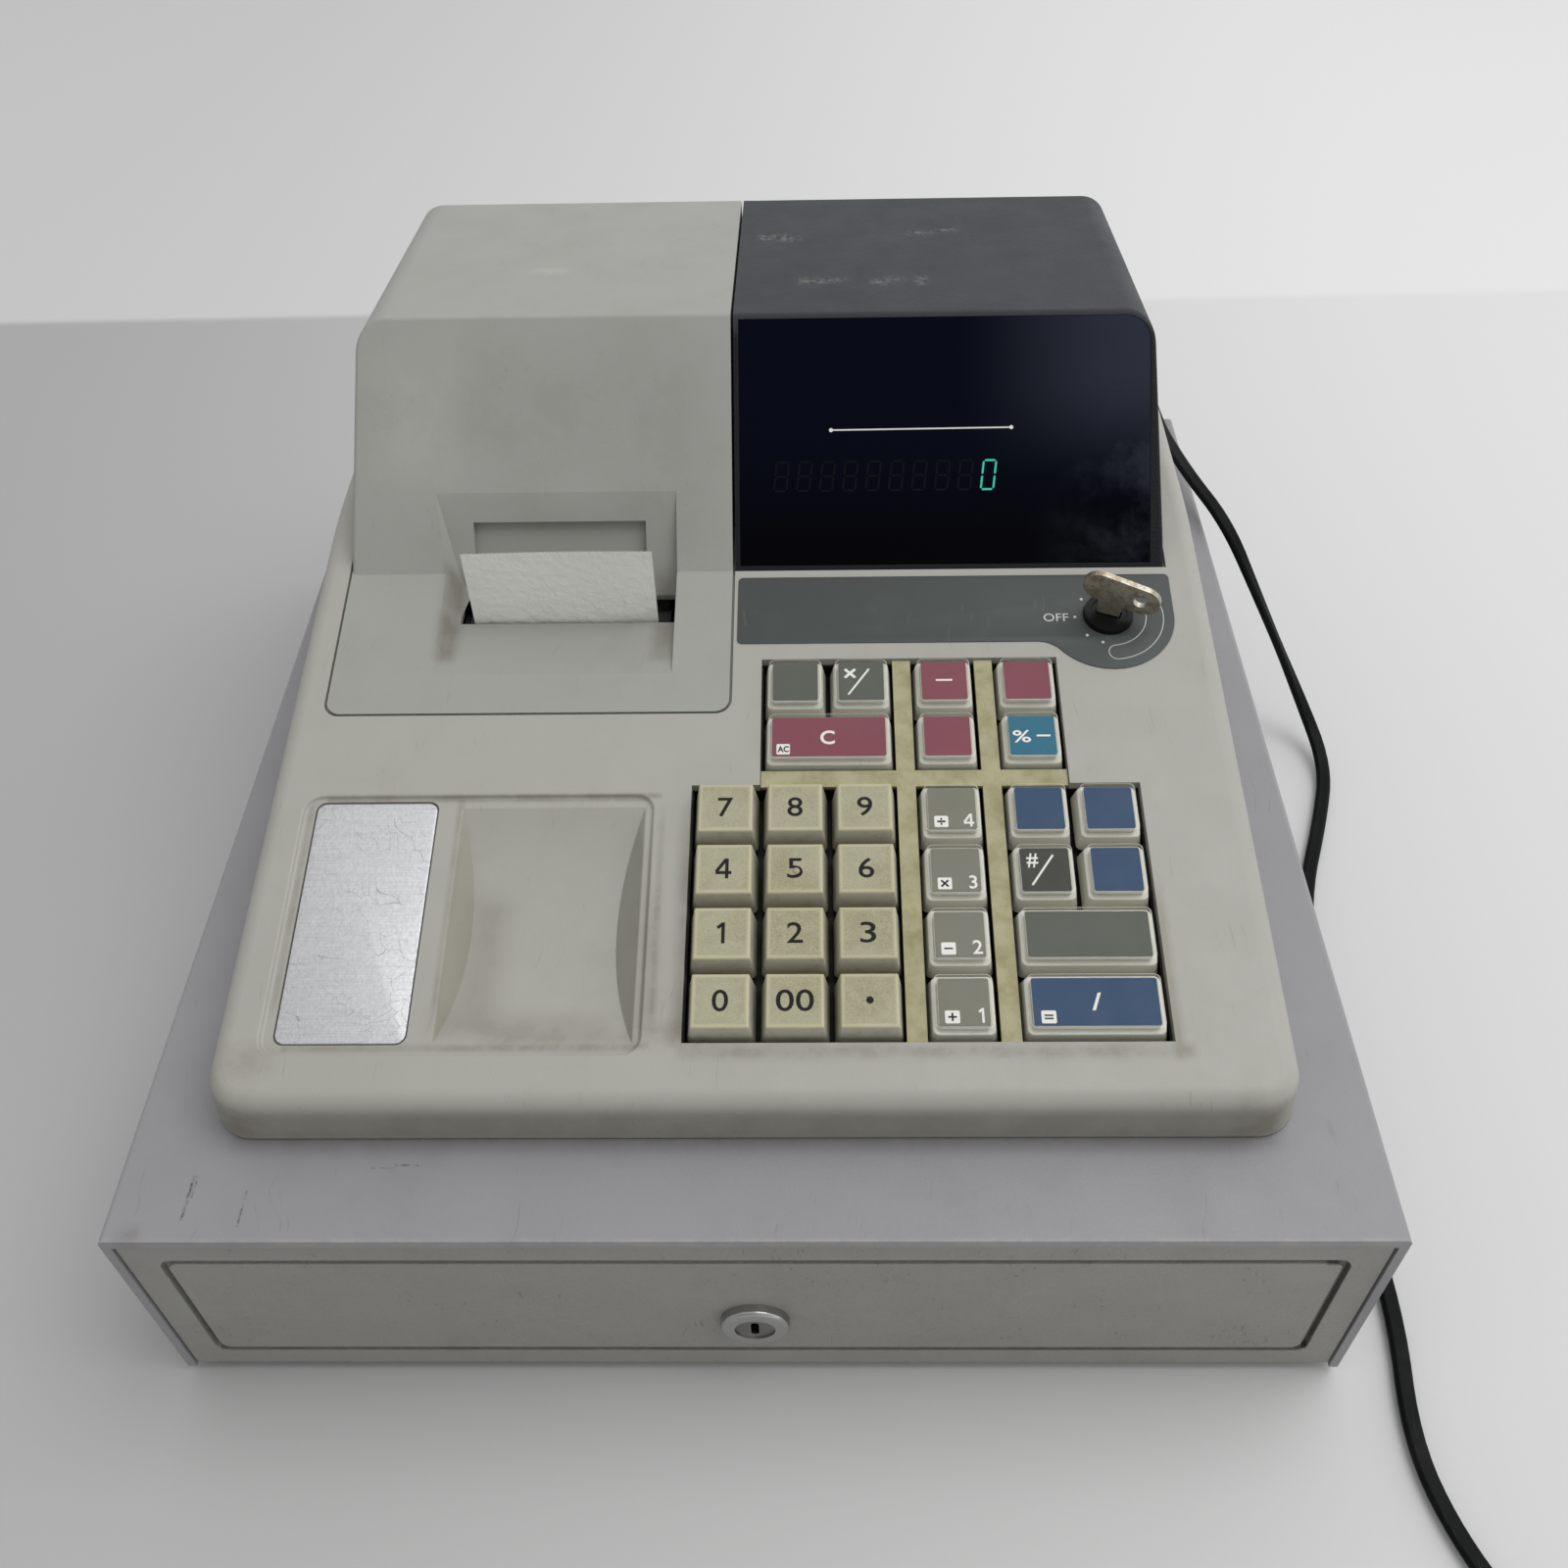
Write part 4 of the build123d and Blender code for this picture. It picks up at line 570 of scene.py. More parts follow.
class Form:
    """A mesh under construction, in the object's frame."""

    def __init__(self) -> None:
        """Start with nothing."""
        self.mesh = bmesh.new()

    def slabs(self, place: Matrix, levels: Sequence[tuple[float, Sequence[Point2]]]) -> None:
        """Skin outlines that lie one above the other, and close both ends.

        Args:
            place: Matrix of the outlines' plane.
            levels: Height and outline of each level; all outlines have as many points.
        """
        rows = [[self.mesh.verts.new(place @ Vector((x, y, rise))) for x, y in outline]
                for rise, outline in levels]
        for low, high in zip(rows, rows[1:]):
            for n in range(len(low)):
                after = (n + 1) % len(low)
                self.mesh.faces.new((low[n], low[after], high[after], high[n]))
        self.mesh.faces.new(rows[0][::-1])
        self.mesh.faces.new(rows[-1])

    def plate(self, place: Matrix, outline: Sequence[Point2], top: float, bottom: float = 0.0) -> None:
        """Add a flat plate with straight sides."""
        self.slabs(place, [(bottom, outline), (top, outline)])

    def add_mesh(self, mesh: bpy.types.Mesh, place: Matrix) -> None:
        """Add a finished mesh at a place and forget the original."""
        mesh.transform(place)
        self.mesh.from_mesh(mesh)
        bpy.data.meshes.remove(mesh)

    def piece(self, name: str, material: bpy.types.Material, body: str, slot: str,
              smooth_below: float = 35.0) -> bpy.types.Object:
        """Finish the mesh and make the piece that rides on a body.

        Args:
            name: Name of the piece.
            material: Its material.
            body: The CAD body that it rides on.
            slot: The record's material slot; it is not used.
            smooth_below: Edges with less than this angle, in degrees, are shaded smooth.

        Returns:
            The piece.
        """
        bmesh.ops.remove_doubles(self.mesh, verts=self.mesh.verts, dist=1e-7)
        bmesh.ops.recalc_face_normals(self.mesh, faces=self.mesh.faces)
        for face in self.mesh.faces:
            face.smooth = True
        for edge in self.mesh.edges:
            if edge.calc_face_angle(0) > math.radians(smooth_below):
                edge.smooth = False
        data = bpy.data.meshes.new(name)
        self.mesh.to_mesh(data)
        self.mesh.free()
        data.materials.append(material)
        made = put(name, data)
        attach(made, body)
        return made


def text_mesh(text: str, height: float, width: float | None, weight: float,
              thickness: float) -> bpy.types.Mesh:
    """A flat mesh of a digit or sign, its middle at the origin and its back at z 0.

    Args:
        text: What it says.
        height: Height of the finished mesh.
        width: Width of the finished mesh, or None to keep the letters' own.
        weight: How much bolder the strokes are, as a share of the height.
        thickness: Thickness of the raised print.

    Returns:
        The mesh.
    """
    curve = bpy.data.curves.new("print", "FONT")
    curve.body = text
    curve.size = 1.0
    curve.offset = weight
    curve.resolution_u = 4
    curve.fill_mode = "BOTH"
    curve.extrude = 0.5
    mesh = baked(put("print", curve))
    corners = [tuple(v.co) for v in mesh.vertices]
    low = [min(c[axis] for c in corners) for axis in range(3)]
    high = [max(c[axis] for c in corners) for axis in range(3)]
    tall = height / (high[1] - low[1])
    wide = tall if width is None else width / (high[0] - low[0])
    shift = Matrix.Translation((-(low[0] + high[0]) / 2, -(low[1] + high[1]) / 2, 0.5))
    mesh.transform(Matrix.Diagonal((wide, tall, thickness, 1)) @ shift)
    return mesh


# ------------------------------------------------------------------------------ stage
@dataclass
class Studio:
    """Camera, lamps, floor and backdrop.

    Attributes:
        camera_place: Where the camera stands.
        pitch: How far it looks down, in degrees.
        yaw: How far it is turned to the right, in degrees.
        roll: How far it is tipped, in degrees.
        focal_pixels: Focal length in picture points.
        picture_width: Width of the picture in points.
        sensor: Width of the camera's sensor, in millimetres.
        floor_left: Colour of the floor at the left; floor_right is that at the right, brighter as painted
            light falloff.
        wall_left: Colour behind the floor's edge at the left; wall_right is that at the right, brighter as
            painted light falloff.
        wall_line: Y of that edge.
        floor_half: Half the floor's size, and floor_steps its squares each way.
        horizon: Brightness of the room at eye level; ceiling is that overhead.
        viewer_shade: How much darker the room is where the viewer stands.
        left_side: Brightness of the room's left side; right_side is that of its right side.
    """

    camera_place: tuple[float, float, float] = (0.01715, -0.35579, 0.43600)
    pitch: float = 46.812
    yaw: float = -1.676
    roll: float = -1.617
    focal_pixels: float = 1550.95
    picture_width: float = 1600.0
    sensor: float = 36.0
    floor_left: Colour = srgb(172, 172, 172)
    floor_right: Colour = srgb(222, 222, 222)
    wall_left: Colour = srgb(202, 202, 202)
    wall_right: Colour = srgb(228, 228, 228)
    wall_line: float = 0.418
    floor_half: float = 4.0
    floor_steps: int = 8
    horizon: float = 0.86
    ceiling: float = 0.98
    viewer_shade: float = 0.45
    left_side: float = 0.62
    right_side: float = 1.20

    def camera(self) -> None:
        """Set up the camera."""
        data = bpy.data.cameras.new("camera")
        data.sensor_width = self.sensor
        data.lens = self.focal_pixels / self.picture_width * self.sensor
        data.clip_start = 0.01
        holder = put("camera", data)
        p, y, r = (math.radians(v) for v in (self.pitch, self.yaw, self.roll))
        forward = Vector((math.sin(y) * math.cos(p), math.cos(y) * math.cos(p), -math.sin(p)))
        right = Vector((math.cos(y), -math.sin(y), 0.0))
        up = right.cross(forward)
        tipped_right = right * math.cos(r) + up * math.sin(r)
        tipped_up = up * math.cos(r) - right * math.sin(r)
        turn = Matrix((tipped_right, tipped_up, -forward)).transposed().to_4x4()
        holder.matrix_world = Matrix.Translation(self.camera_place) @ turn
        bpy.context.scene.camera = holder

    @staticmethod
    def lamp(name: str, place: Sequence[float], target: Sequence[float], size: float,
             power: float) -> None:
        """Add a square area lamp.

        Args:
            name: Its name.
            place: Where it hangs.
            target: What it points at.
            size: Length of its sides.
            power: Its power in watts.
        """
        data = bpy.data.lights.new(name, "AREA")
        data.size = size
        data.energy = power
        holder = put(name, data)
        aim = Vector(target) - Vector(place)
        holder.matrix_world = Matrix.Translation(place) @ aim.to_track_quat("-Z", "Y").to_matrix().to_4x4()

    def stage_material(self) -> bpy.types.Material:
        """Matt pale paper with painted light falloff, darker to the left and brighter to the right, and
        paler behind the wall line.
        """
        material, w, shader, place = Paintbox.start("stage_paper")
        x, y, _ = w.node("ShaderNodeSeparateXYZ", Vector=place).outputs
        # Painted light falloff: the paper is darker to the left and brighter to the right.
        across = w.ramp(x, -0.45, 0.45)
        floor = w.mix(across, self.floor_left, self.floor_right)
        wall = w.mix(across, self.wall_left, self.wall_right)
        behind = w.ramp(w.plus(y, w.times(x, -0.015)),
                        self.wall_line - 0.004, self.wall_line + 0.004)
        tone = w.mix(behind, floor, wall)
        speck = w.noise(place, 420.0, 2.0)
        w.feed(shader, Base_Color=w.mix(w.times(speck, 0.04), tone, (0.3, 0.3, 0.3)),
               Roughness=w.ramp(speck, 0.3, 0.7, 0.85, 0.95), Specular_IOR_Level=0.1)
        return material

    def floor(self) -> None:
        """A wide level sheet of paper under the object."""
        form = Form()
        half, steps = self.floor_half, self.floor_steps
        line = [-half + 2 * half * n / steps for n in range(steps + 1)]
        grid = [[form.mesh.verts.new((x, y, FLOOR_LEVEL)) for x in line] for y in line]
        for b in range(steps):
            for a in range(steps):
                form.mesh.faces.new((grid[b][a], grid[b][a + 1], grid[b + 1][a + 1], grid[b + 1][a]))
        data = bpy.data.meshes.new("stage_floor")
        form.mesh.to_mesh(data)
        data.materials.append(self.stage_material())
        put("stage_floor", data)

    def world(self) -> None:
        """Light from a pale room: bright overhead, dark where the viewer stands."""
        world = bpy.data.worlds.new("soft_room")
        world.use_nodes = True
        w = Wires(world.node_tree)
        direction = w.node("ShaderNodeTexCoord").outputs["Generated"]
        x, y, z = w.node("ShaderNodeSeparateXYZ", Vector=direction).outputs
        room = w.ramp(z, 0.0, 0.93, self.horizon, self.ceiling)
        viewer = w.times(w.ramp(y, -0.30, -0.55, 0.0, 1.0),
                        w.times(w.ramp(z, 0.12, 0.30), w.ramp(z, 0.86, 0.95, 1.0, 0.0)))
        shaded = w.minus(1.0, w.times(viewer, self.viewer_shade))
        side = w.ramp(x, -0.9, 0.9, self.left_side, self.right_side)
        background = world.node_tree.nodes["Background"]
        w.feed(background, Color=(1, 1, 1, 1), Strength=w.times(w.times(room, shaded), side))
        bpy.context.scene.world = world

    def build(self) -> None:
        """Set everything up."""
        self.camera()
        self.world()
        self.lamp("overhead_panel", (0.75, 0.05, 1.9), (0.0, 0.0, 0.05), 1.2, 12.0)
        self.floor()
        bpy.context.scene.view_settings.view_transform = "Standard"


# ------------------------------------------------------------------------------ cord
@dataclass
class PowerCord:
    """The flat twin cord: its run to the floor, a neat coil and the lead to the plug.

    Attributes:
        width: Width of the cord.
        thickness: Its thickness.
        length: Its whole length; it is not used.
        route: Points from the gland to the coil, as X, depth and height in millimetres.
        coil_middle: X and Y of the coil's middle.
        turns: Number of turns in the coil.
        points_in_turn: Control points for each turn.
        start_angle: Where the coil starts, in degrees.
        schedule: Turn, radius and height of the coil's corners, in millimetres.
        inside_cut: How far the smooth line runs inside its control points, as a share of the radius.
        waist: Height of the cord's middle, as a share of its thickness.
    """

    width: float = 0.0052
    thickness: float = 0.0029
    length: float = 2.07
    route: tuple[tuple[float, float, float], ...] = (
        (97, 385, 100), (97, 419, 100), (127, 436.5, 96), (157, 419, 89.5), (155.5, 362, 83.9),
        (159.5, 310, 91.5), (170.5, 281, 88.5), (183, 268.5, 66.5), (209.5, 263.5, 16.5),
        (217.5, 238, 2.7), (208.5, 209, 2.7), (194, 172, 2.7), (185.5, 122, 2.7), (184, 66, 2.7),
        (186, 16, 2.7), (180.5, -20, 2.7), (186, -46, 2.7), (198.5, -69, 2.7), (206.5, -92, 2.7))
    coil_middle: tuple[float, float] = (0.24276, -0.28722)
    turns: float = 7.197
    points_in_turn: int = 14
    start_angle: float = 199.2
    schedule: tuple[tuple[float, float, float], ...] = (
        (0.0, 29.0, 1.7), (0.3, 34.2, 1.7), (2.3, 23.8, 1.7), (2.8, 23.8, 4.7), (4.8, 34.2, 4.7),
        (5.3, 34.2, 7.7), (7.197, 29.0, 7.7))
    inside_cut: float = 0.981
    waist: float = 0.72

    def winding(self, turn: float) -> tuple[float, float]:
        """Radius and height of the coil after some turns, in metres."""
        for (t0, r0, z0), (t1, r1, z1) in zip(self.schedule, self.schedule[1:]):
            if turn <= t1 + 1e-9:
                share = (turn - t0) / (t1 - t0)
                return (r0 + (r1 - r0) * share) * MM, (z0 + (z1 - z0) * share) * MM
        return self.schedule[-1][1] * MM, self.schedule[-1][2] * MM

    def control_points(self) -> list[tuple[float, float, float]]:
        """All the spline's control points, in the object's frame."""
        points = [(x * MM, CABINET_FRONT + depth * MM, z * MM) for x, depth, z in self.route]
        count = round(self.turns * self.points_in_turn)
        for n in range(count + 1):
            turn = self.turns * n / count
            radius, height = self.winding(turn)
            angle = math.radians(self.start_angle + 360 * turn)
            points.append((self.coil_middle[0] + radius / self.inside_cut * math.cos(angle),
                           self.coil_middle[1] + radius / self.inside_cut * math.sin(angle), height))
        low = self.coil_middle[1] - 0.029
        points += [(self.coil_middle[0] + 0.012, low - 0.0003, 0.0066),
                   (self.coil_middle[0] + 0.0272, low - 0.0003, 0.0061)]
        return points

    def profile(self) -> bpy.types.Object:
        """The figure-of-eight outline that is swept along the line."""
        half, lobe, steps = self.width / 2, self.thickness / 2, 16
        outline = []
        for side in (1, -1):
            for n in range(steps):
                angle = math.pi * (n + 0.5) / steps - side * math.pi / 2
                outline.append((side * (half - lobe) + lobe * math.cos(angle), lobe * math.sin(angle)))
            outline.append((0.0, side * lobe * self.waist))
        curve = bpy.data.curves.new("cord_outline", "CURVE")
        closed_line(curve, outline)
        made = put("cord_outline", curve)
        made.hide_render = True
        return made

    def build(self, paint: Paintbox) -> bpy.types.Object:
        """Make the cord.

        Args:
            paint: Where its material comes from.

        Returns:
            The cord's piece.
        """
        curve = bpy.data.curves.new("power_cord_line", "CURVE")
        curve.dimensions = "3D"
        points = self.control_points()
        spline = curve.splines.new("NURBS")
        spline.points.add(len(points) - 1)
        for point, place in zip(spline.points, points):
            point.co = (*place, 1)
        spline.order_u = 3
        spline.use_endpoint_u = True
        spline.resolution_u = 6
        curve.twist_mode = "Z_UP"
        curve.bevel_mode = "OBJECT"
        curve.bevel_object = self.profile()
        curve.use_fill_caps = True
        curve.materials.append(paint.get(CORD_VINYL))
        made = put("power_cord_line", curve)
        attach(made, "register")
        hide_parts("power_cord", "cord_coil")
        return made


# ------------------------------------------------------------------------------ the finishes
CORD_VINYL = Finish("cord_vinyl", srgb(13, 15, 16), roughness=0.42, specular=0.08,
    grime_colour=srgb(120, 116, 108), mottle=0.1, grime=0.06, grain_scale=900, grain=0.2,
    scratches=0.2, bump=0.00008)
RUBBER = Finish("foot_rubber", srgb(28, 27, 26), roughness=0.85, specular=0.3, mottle=0.3, grime=0.2,
    grime_colour=srgb(112, 106, 96), grain=0.6, bump=0.0002)
#: Chips and scrapes along the front edge of the cabinet's top, a darker band along the foot of the body
#: behind it, and a painted highlight along the cabinet's front edge.
CABINET_SPOTS = spots(
    ((-0.1450, -0.1670, 0.0805), (0.0001, 0.006, 0.001), 0.0006, (52, 48, 44), 0.95, 0.95, 500.0),
    ((-0.1440, -0.1640, 0.0805), (0.0001, 0.003, 0.001), 0.0004, (66, 62, 58), 0.7, 1.0, 700.0),
    ((-0.1302, -0.1700, 0.0805), (0.0001, 0.005, 0.001), 0.0004, (66, 62, 58), 0.8, 1.0, 600.0),
    ((-0.0900, -0.1578, 0.0805), (0.0030, 0.0001, 0.001), 0.0004, (66, 62, 58), 0.8, 1.0, 500.0),
    ((-0.0960, -0.1586, 0.0805), (0.0030, 0.0001, 0.001), 0.0004, (86, 82, 78), 0.6, 1.0, 600.0),
    ((0.0, -0.150, 0.0805), (0.135, 0.0005, 0.001), 0.006, (78, 72, 64), 0.35, 0.3),
    ((-0.1575, -0.1775, 0.080), (0.001, 0.001, 0.002), 0.004, (84, 76, 66), 0.5, 0.6),
    # Painted highlight along the curved front edge of the cabinet's top.
    ((0.0, -0.1792, 0.0795), (0.17, 0.0004, 0.001), 0.0012, (176, 170, 162), 0.30, 0.8),
)
CABINET = Finish("cabinet_enamel", srgb(142, 141, 144), roughness=0.42, grime_colour=srgb(104, 99, 92),
    mottle=0.1, grime=0.12, grain_scale=1500, grain=0.5, scratches=0.25, bump=0.00012,
    tone_patches=CABINET_SPOTS)
CABINET_UNDER = Finish("cabinet_under", srgb(128, 127, 126), roughness=0.5, grime=0.25, mottle=0.2,
    grime_colour=srgb(84, 78, 70), scratches=0.5)
ZINC = Finish("zinc_sheet", srgb(176, 178, 176), roughness=0.38, metallic=1.0, mottle=0.3, grime=0.1,
    grime_colour=srgb(96, 92, 84), grain_scale=240, grain=0.2, scratches=0.5, bump=0.00006)
TRAY_PLASTIC = Finish("tray_polystyrene", srgb(58, 58, 60), roughness=0.5, mottle=0.12, grime=0.12,
    grime_colour=srgb(110, 105, 96), scratches=0.6)
CHROME = Finish("lock_chrome", srgb(176, 176, 175), roughness=0.16, metallic=1.0, mottle=0.1,
    grime=0.12, grime_colour=srgb(110, 96, 76), grain=0.05, scratches=0.5, bump=0.00004)
LOCK_PLUG = Finish("lock_plug_nickel", srgb(128, 126, 121), roughness=0.3, metallic=1.0, mottle=0.3,
    grime=0.3, grime_colour=srgb(70, 62, 52), grain=0.1, scratches=0.8, bump=0.00005)
#: Shade in the groove round the drawer's pad.
PAD_SPOTS = spots(
    ((0.1525, -0.1783, 0.0400), (0.0008, 0.0012, 0.0250), 0.0008, (20, 19, 18), 0.88, 0.15),
    ((0.0, -0.1783, 0.0144), (0.1520, 0.0012, 0.0006), 0.0008, (46, 43, 38), 0.60, 0.35),
    ((0.1495, -0.1783, 0.0675), (0.0020, 0.0012, 0.0008), 0.0012, (24, 23, 21), 0.85, 0.2),
)
PAD = Finish("drawer_pad", srgb(146, 145, 139), roughness=0.5, mottle=0.12, grime=0.12,
    grime_colour=srgb(84, 78, 70), grain_scale=700, grain=1.6, scratches=0.5, bump=0.0002,
    tone_patches=PAD_SPOTS)
#: Dirt round the tray and painted shade lines along its rims, painted shade on the dish's walls, dirt mixed
#: with painted shade round the key opening, and darker bands and spots low along the front edge.
BODY_SPOTS = spots(
    # Dirt mixed with painted shade beside the key opening's left edge and front left corner, and a darker
    # band along the front to its left.
    ((-0.0188, -0.098, 0.107), (0.0004, 0.034, 0.006), 0.0042, (106, 99, 84), 0.50, 0.25),
    ((-0.0185, -0.131, 0.101), (0.001, 0.001, 0.004), 0.0050, (104, 95, 78), 0.40, 0.3),
    ((-0.040, -0.1315, 0.100), (0.030, 0.0008, 0.004), 0.005, (122, 112, 94), 0.35, 0.5),
    # Painted shade on the dish's left wall, where it faces right, and beside it.
    ((-0.0800, -0.098, 0.099), (0.0100, 0.036, 0.012), 0.004, (148, 145, 129), 0.60, 0.1, 120.0,
     (1.0, 0.0, 0.0)),
    ((-0.0745, -0.106, 0.099), (0.0015, 0.016, 0.008), 0.010, (118, 114, 98), 0.40, 0.2),
    # Painted shade lines along the tray's rims, and dirt at its front left corner.
    ((-0.0845, -0.0965, 0.1085), (0.0003, 0.0360, 0.006), 0.0015, (120, 114, 96), 0.45, 0.4),
    ((-0.0750, -0.0600, 0.116), (0.0480, 0.0004, 0.004), 0.0012, (104, 98, 82), 0.45, 0.5),
    ((-0.0750, -0.1345, 0.101), (0.0480, 0.0004, 0.004), 0.0014, (112, 106, 90), 0.45, 0.5),
    ((-0.1275, -0.0970, 0.1085), (0.0003, 0.0360, 0.006), 0.0012, (116, 110, 92), 0.40, 0.5),
    ((-0.0262, -0.0965, 0.1085), (0.0003, 0.0370, 0.006), 0.0014, (112, 106, 90), 0.45, 0.5),
    ((-0.1330, -0.1380, 0.100), (0.0060, 0.0015, 0.004), 0.006, (126, 118, 100), 0.35, 0.5),
    # Painted shade on the dish's right wall, where it faces left, a darker band in front of the dish, and
    # more painted shade by its right wall.
    ((-0.0340, -0.098, 0.099), (0.0080, 0.036, 0.012), 0.004, (126, 124, 112), 0.45, 0.1, 120.0,
     (-1.0, 0.0, 0.0)),
    ((-0.062, -0.127, 0.098), (0.020, 0.001, 0.004), 0.008, (118, 111, 94), 0.35, 0.3),
    ((-0.0285, -0.100, 0.102), (0.0010, 0.028, 0.006), 0.006, (112, 105, 90), 0.35, 0.3),
    # A darker band low along the body's front, and darker spots at its corners.
    ((0.0, -0.1495, 0.087), (0.135, 0.0020, 0.004), 0.006, (92, 84, 70), 0.40, 0.25, 60.0),
    ((-0.137, -0.147, 0.089), (0.003, 0.003, 0.005), 0.010, (104, 95, 78), 0.35, 0.5),
    ((0.131, -0.147, 0.089), (0.003, 0.003, 0.005), 0.008, (104, 95, 78), 0.3, 0.5),
    # Dirt mixed with painted shade along the key opening's front and right edges.
    ((0.048, -0.1365, 0.101), (0.066, 0.0006, 0.003), 0.003, (98, 90, 74), 0.40, 0.5),
    ((0.1112, -0.108, 0.103), (0.0003, 0.030, 0.006), 0.0026, (118, 108, 88), 0.45, 0.2),
)
BODY = Finish("body_abs", srgb(164, 163, 156), roughness=0.48, mottle=0.09, grime=0.08,
    grime_colour=srgb(118, 108, 90), grain_scale=2200, grain=0.45, scratches=0.25, bump=0.00012,
    tone_patches=BODY_SPOTS)
LOWER = Finish("lower_abs", srgb(120, 118, 112), roughness=0.5, mottle=0.12, grime=0.1,
    grime_colour=srgb(84, 76, 64))
#: Middle and half size of each scrap of old tape on the hood.
RESIDUE: tuple[tuple[float, ...], ...] = (
    (0.0035, 0.1435, 0.184, 0.004, 0.0016), (0.0095, 0.1415, 0.184, 0.002, 0.001),
    (0.0545, 0.1460, 0.184, 0.0035, 0.0009), (0.064, 0.1485, 0.184, 0.0018, 0.0003),
    (0.0170, 0.1030, 0.188, 0.0035, 0.0010), (0.0240, 0.1035, 0.188, 0.003, 0.0004),
    (0.0392, 0.1015, 0.188, 0.002, 0.0012), (0.0440, 0.1040, 0.188, 0.002, 0.0003),
    (0.0522, 0.1020, 0.188, 0.0005, 0.0024),
)
#: The shaded slope under the window, and for each scrap a torn film with a dusty edge.
HOOD_SPOTS = spots(
    ((0.057, 0.042, 0.160), (0.075, 0.0285, 0.045), 0.005, (12, 13, 19), 0.93, 0.0),
    *(row for x, y, z, wide, long in RESIDUE for row in (
        ((x, y, z), (wide, long, 0.004), 0.0032, (24, 24, 25), 0.85, 1.0, 420.0),
        ((x + 0.0007, y - 0.0005, z), (wide, long, 0.004), 0.0034, (108, 109, 108), 0.75, 1.0, 610.0))),
)
HOOD_COVER = Finish("hood_abs", srgb(52, 55, 60), roughness=0.5, mottle=0.08, grime=0.08, specular=0.2,
    grime_colour=srgb(74, 73, 72), grain_scale=1500, grain=0.9, scratches=0.2, bump=0.00018,
    tone_patches=HOOD_SPOTS)
#: Dirt mixed with painted shade on the side walls and over the top of the paper outlet, and paler and
#: darker patches on the printer's cover.
COVER_SPOTS = spots(
    ((-0.070, 0.114, 0.187), (0.004, 0.0008, 0.003), 0.005, (186, 184, 176), 0.35, 0.6),
    # Dirt mixed with painted shade on the outlet's side walls and over its top.
    ((-0.096, 0.006, 0.134), (0.0012, 0.016, 0.012), 0.004, (98, 90, 76), 0.6, 0.3),
    ((-0.030, 0.006, 0.134), (0.0012, 0.016, 0.012), 0.004, (106, 98, 84), 0.45, 0.3),
    ((-0.063, 0.0225, 0.150), (0.026, 0.002, 0.004), 0.006, (112, 104, 88), 0.3, 0.5),
    ((-0.030, 0.040, 0.165), (0.006, 0.020, 0.020), 0.020, (116, 114, 108), 0.22, 0.5, 60.0),
    ((-0.105, 0.052, 0.172), (0.006, 0.010, 0.010), 0.020, (188, 186, 178), 0.25, 0.5, 60.0),
    ((-0.070, 0.054, 0.174), (0.020, 0.006, 0.008), 0.018, (126, 124, 118), 0.25, 0.6, 50.0),
)
PRINTER_COVER = Finish("printer_cover_abs", srgb(154, 155, 149), roughness=0.48, mottle=0.1,
    grime=0.08, grime_colour=srgb(118, 108, 90), grain_scale=2200, grain=0.45, scratches=0.2,
    bump=0.00012, tone_patches=COVER_SPOTS)
BLACK_RING = Finish("black_ring", srgb(16, 16, 18), roughness=0.3, mottle=0.05, grime=0.04,
    specular=0.2, grime_colour=srgb(90, 86, 80), grain=0.05, scratches=0.3, bump=0.00004)
BOARD = Finish("board_laminate", srgb(126, 98, 58), roughness=0.45, mottle=0.15, grime=0.1,
    grime_colour=srgb(60, 84, 52), scratches=0.1)
PLATEN = Finish("platen_rubber", srgb(40, 40, 42), roughness=0.8, mottle=0.2, grime=0.1, grain=0.8)
PAPER = Finish("receipt_paper_stock", srgb(228, 228, 221), roughness=0.8, mottle=0.05, grime=0.03,
    grime_colour=srgb(150, 146, 132), grain_scale=1400, grain=0.6, scratches=0.0, bump=0.00005,
    specular=0.3)
STRIP = Finish("receipt_strip_stock", srgb(232, 232, 226), roughness=0.8, mottle=0.12, grime=0.03,
    grime_colour=srgb(170, 166, 152), grain_scale=330, grain=1.2, scratches=0.0, bump=0.0004,
    specular=0.2)
GLAND = Finish("gland_rubber", srgb(22, 22, 23), roughness=0.55, specular=0.3, mottle=0.15, grime=0.1,
    grime_colour=srgb(110, 104, 94), grain=0.5)
SHEET_GREY = Finish("mode_sheet_grey", srgb(68, 74, 73), roughness=0.45, specular=0.3, mottle=0.1,
    grime=0.12, grime_colour=srgb(128, 124, 112), grain_scale=3000, grain=0.1, scratches=0.3,
    bump=0.00003)
PRINT_WHITE = Finish("print_white", srgb(232, 232, 226), roughness=0.5, mottle=0.05, grime=0.06,
    grime_colour=srgb(160, 154, 140), grain=0.1, scratches=0.1, bump=0.00002)
SHEET_PRINT = Finish("mode_sheet_letters", srgb(196, 198, 194), roughness=0.5, mottle=0.08, grime=0.1,
    grime_colour=srgb(130, 126, 114), grain=0.1, scratches=0.1, bump=0.00002)
PRINT_DARK = Finish("print_dark", srgb(24, 23, 22), roughness=0.6, mottle=0.05, grime=0.03,
    specular=0.2, grime_colour=srgb(90, 84, 72), grain=0.1, scratches=0.1, bump=0.00002)
SCREW_ZINC = Finish("screw_zinc", srgb(168, 164, 150), roughness=0.35, metallic=1.0, mottle=0.3,
    grime=0.2, grime_colour=srgb(80, 72, 58), scratches=0.4, bump=0.00003)
SKIRT = Finish("clear_key_skirt", srgb(206, 205, 192), roughness=0.35, mottle=0.1, grime=0.12,
    grime_colour=srgb(96, 90, 74), coat=0.5, grain=0.1, bump=0.00003)

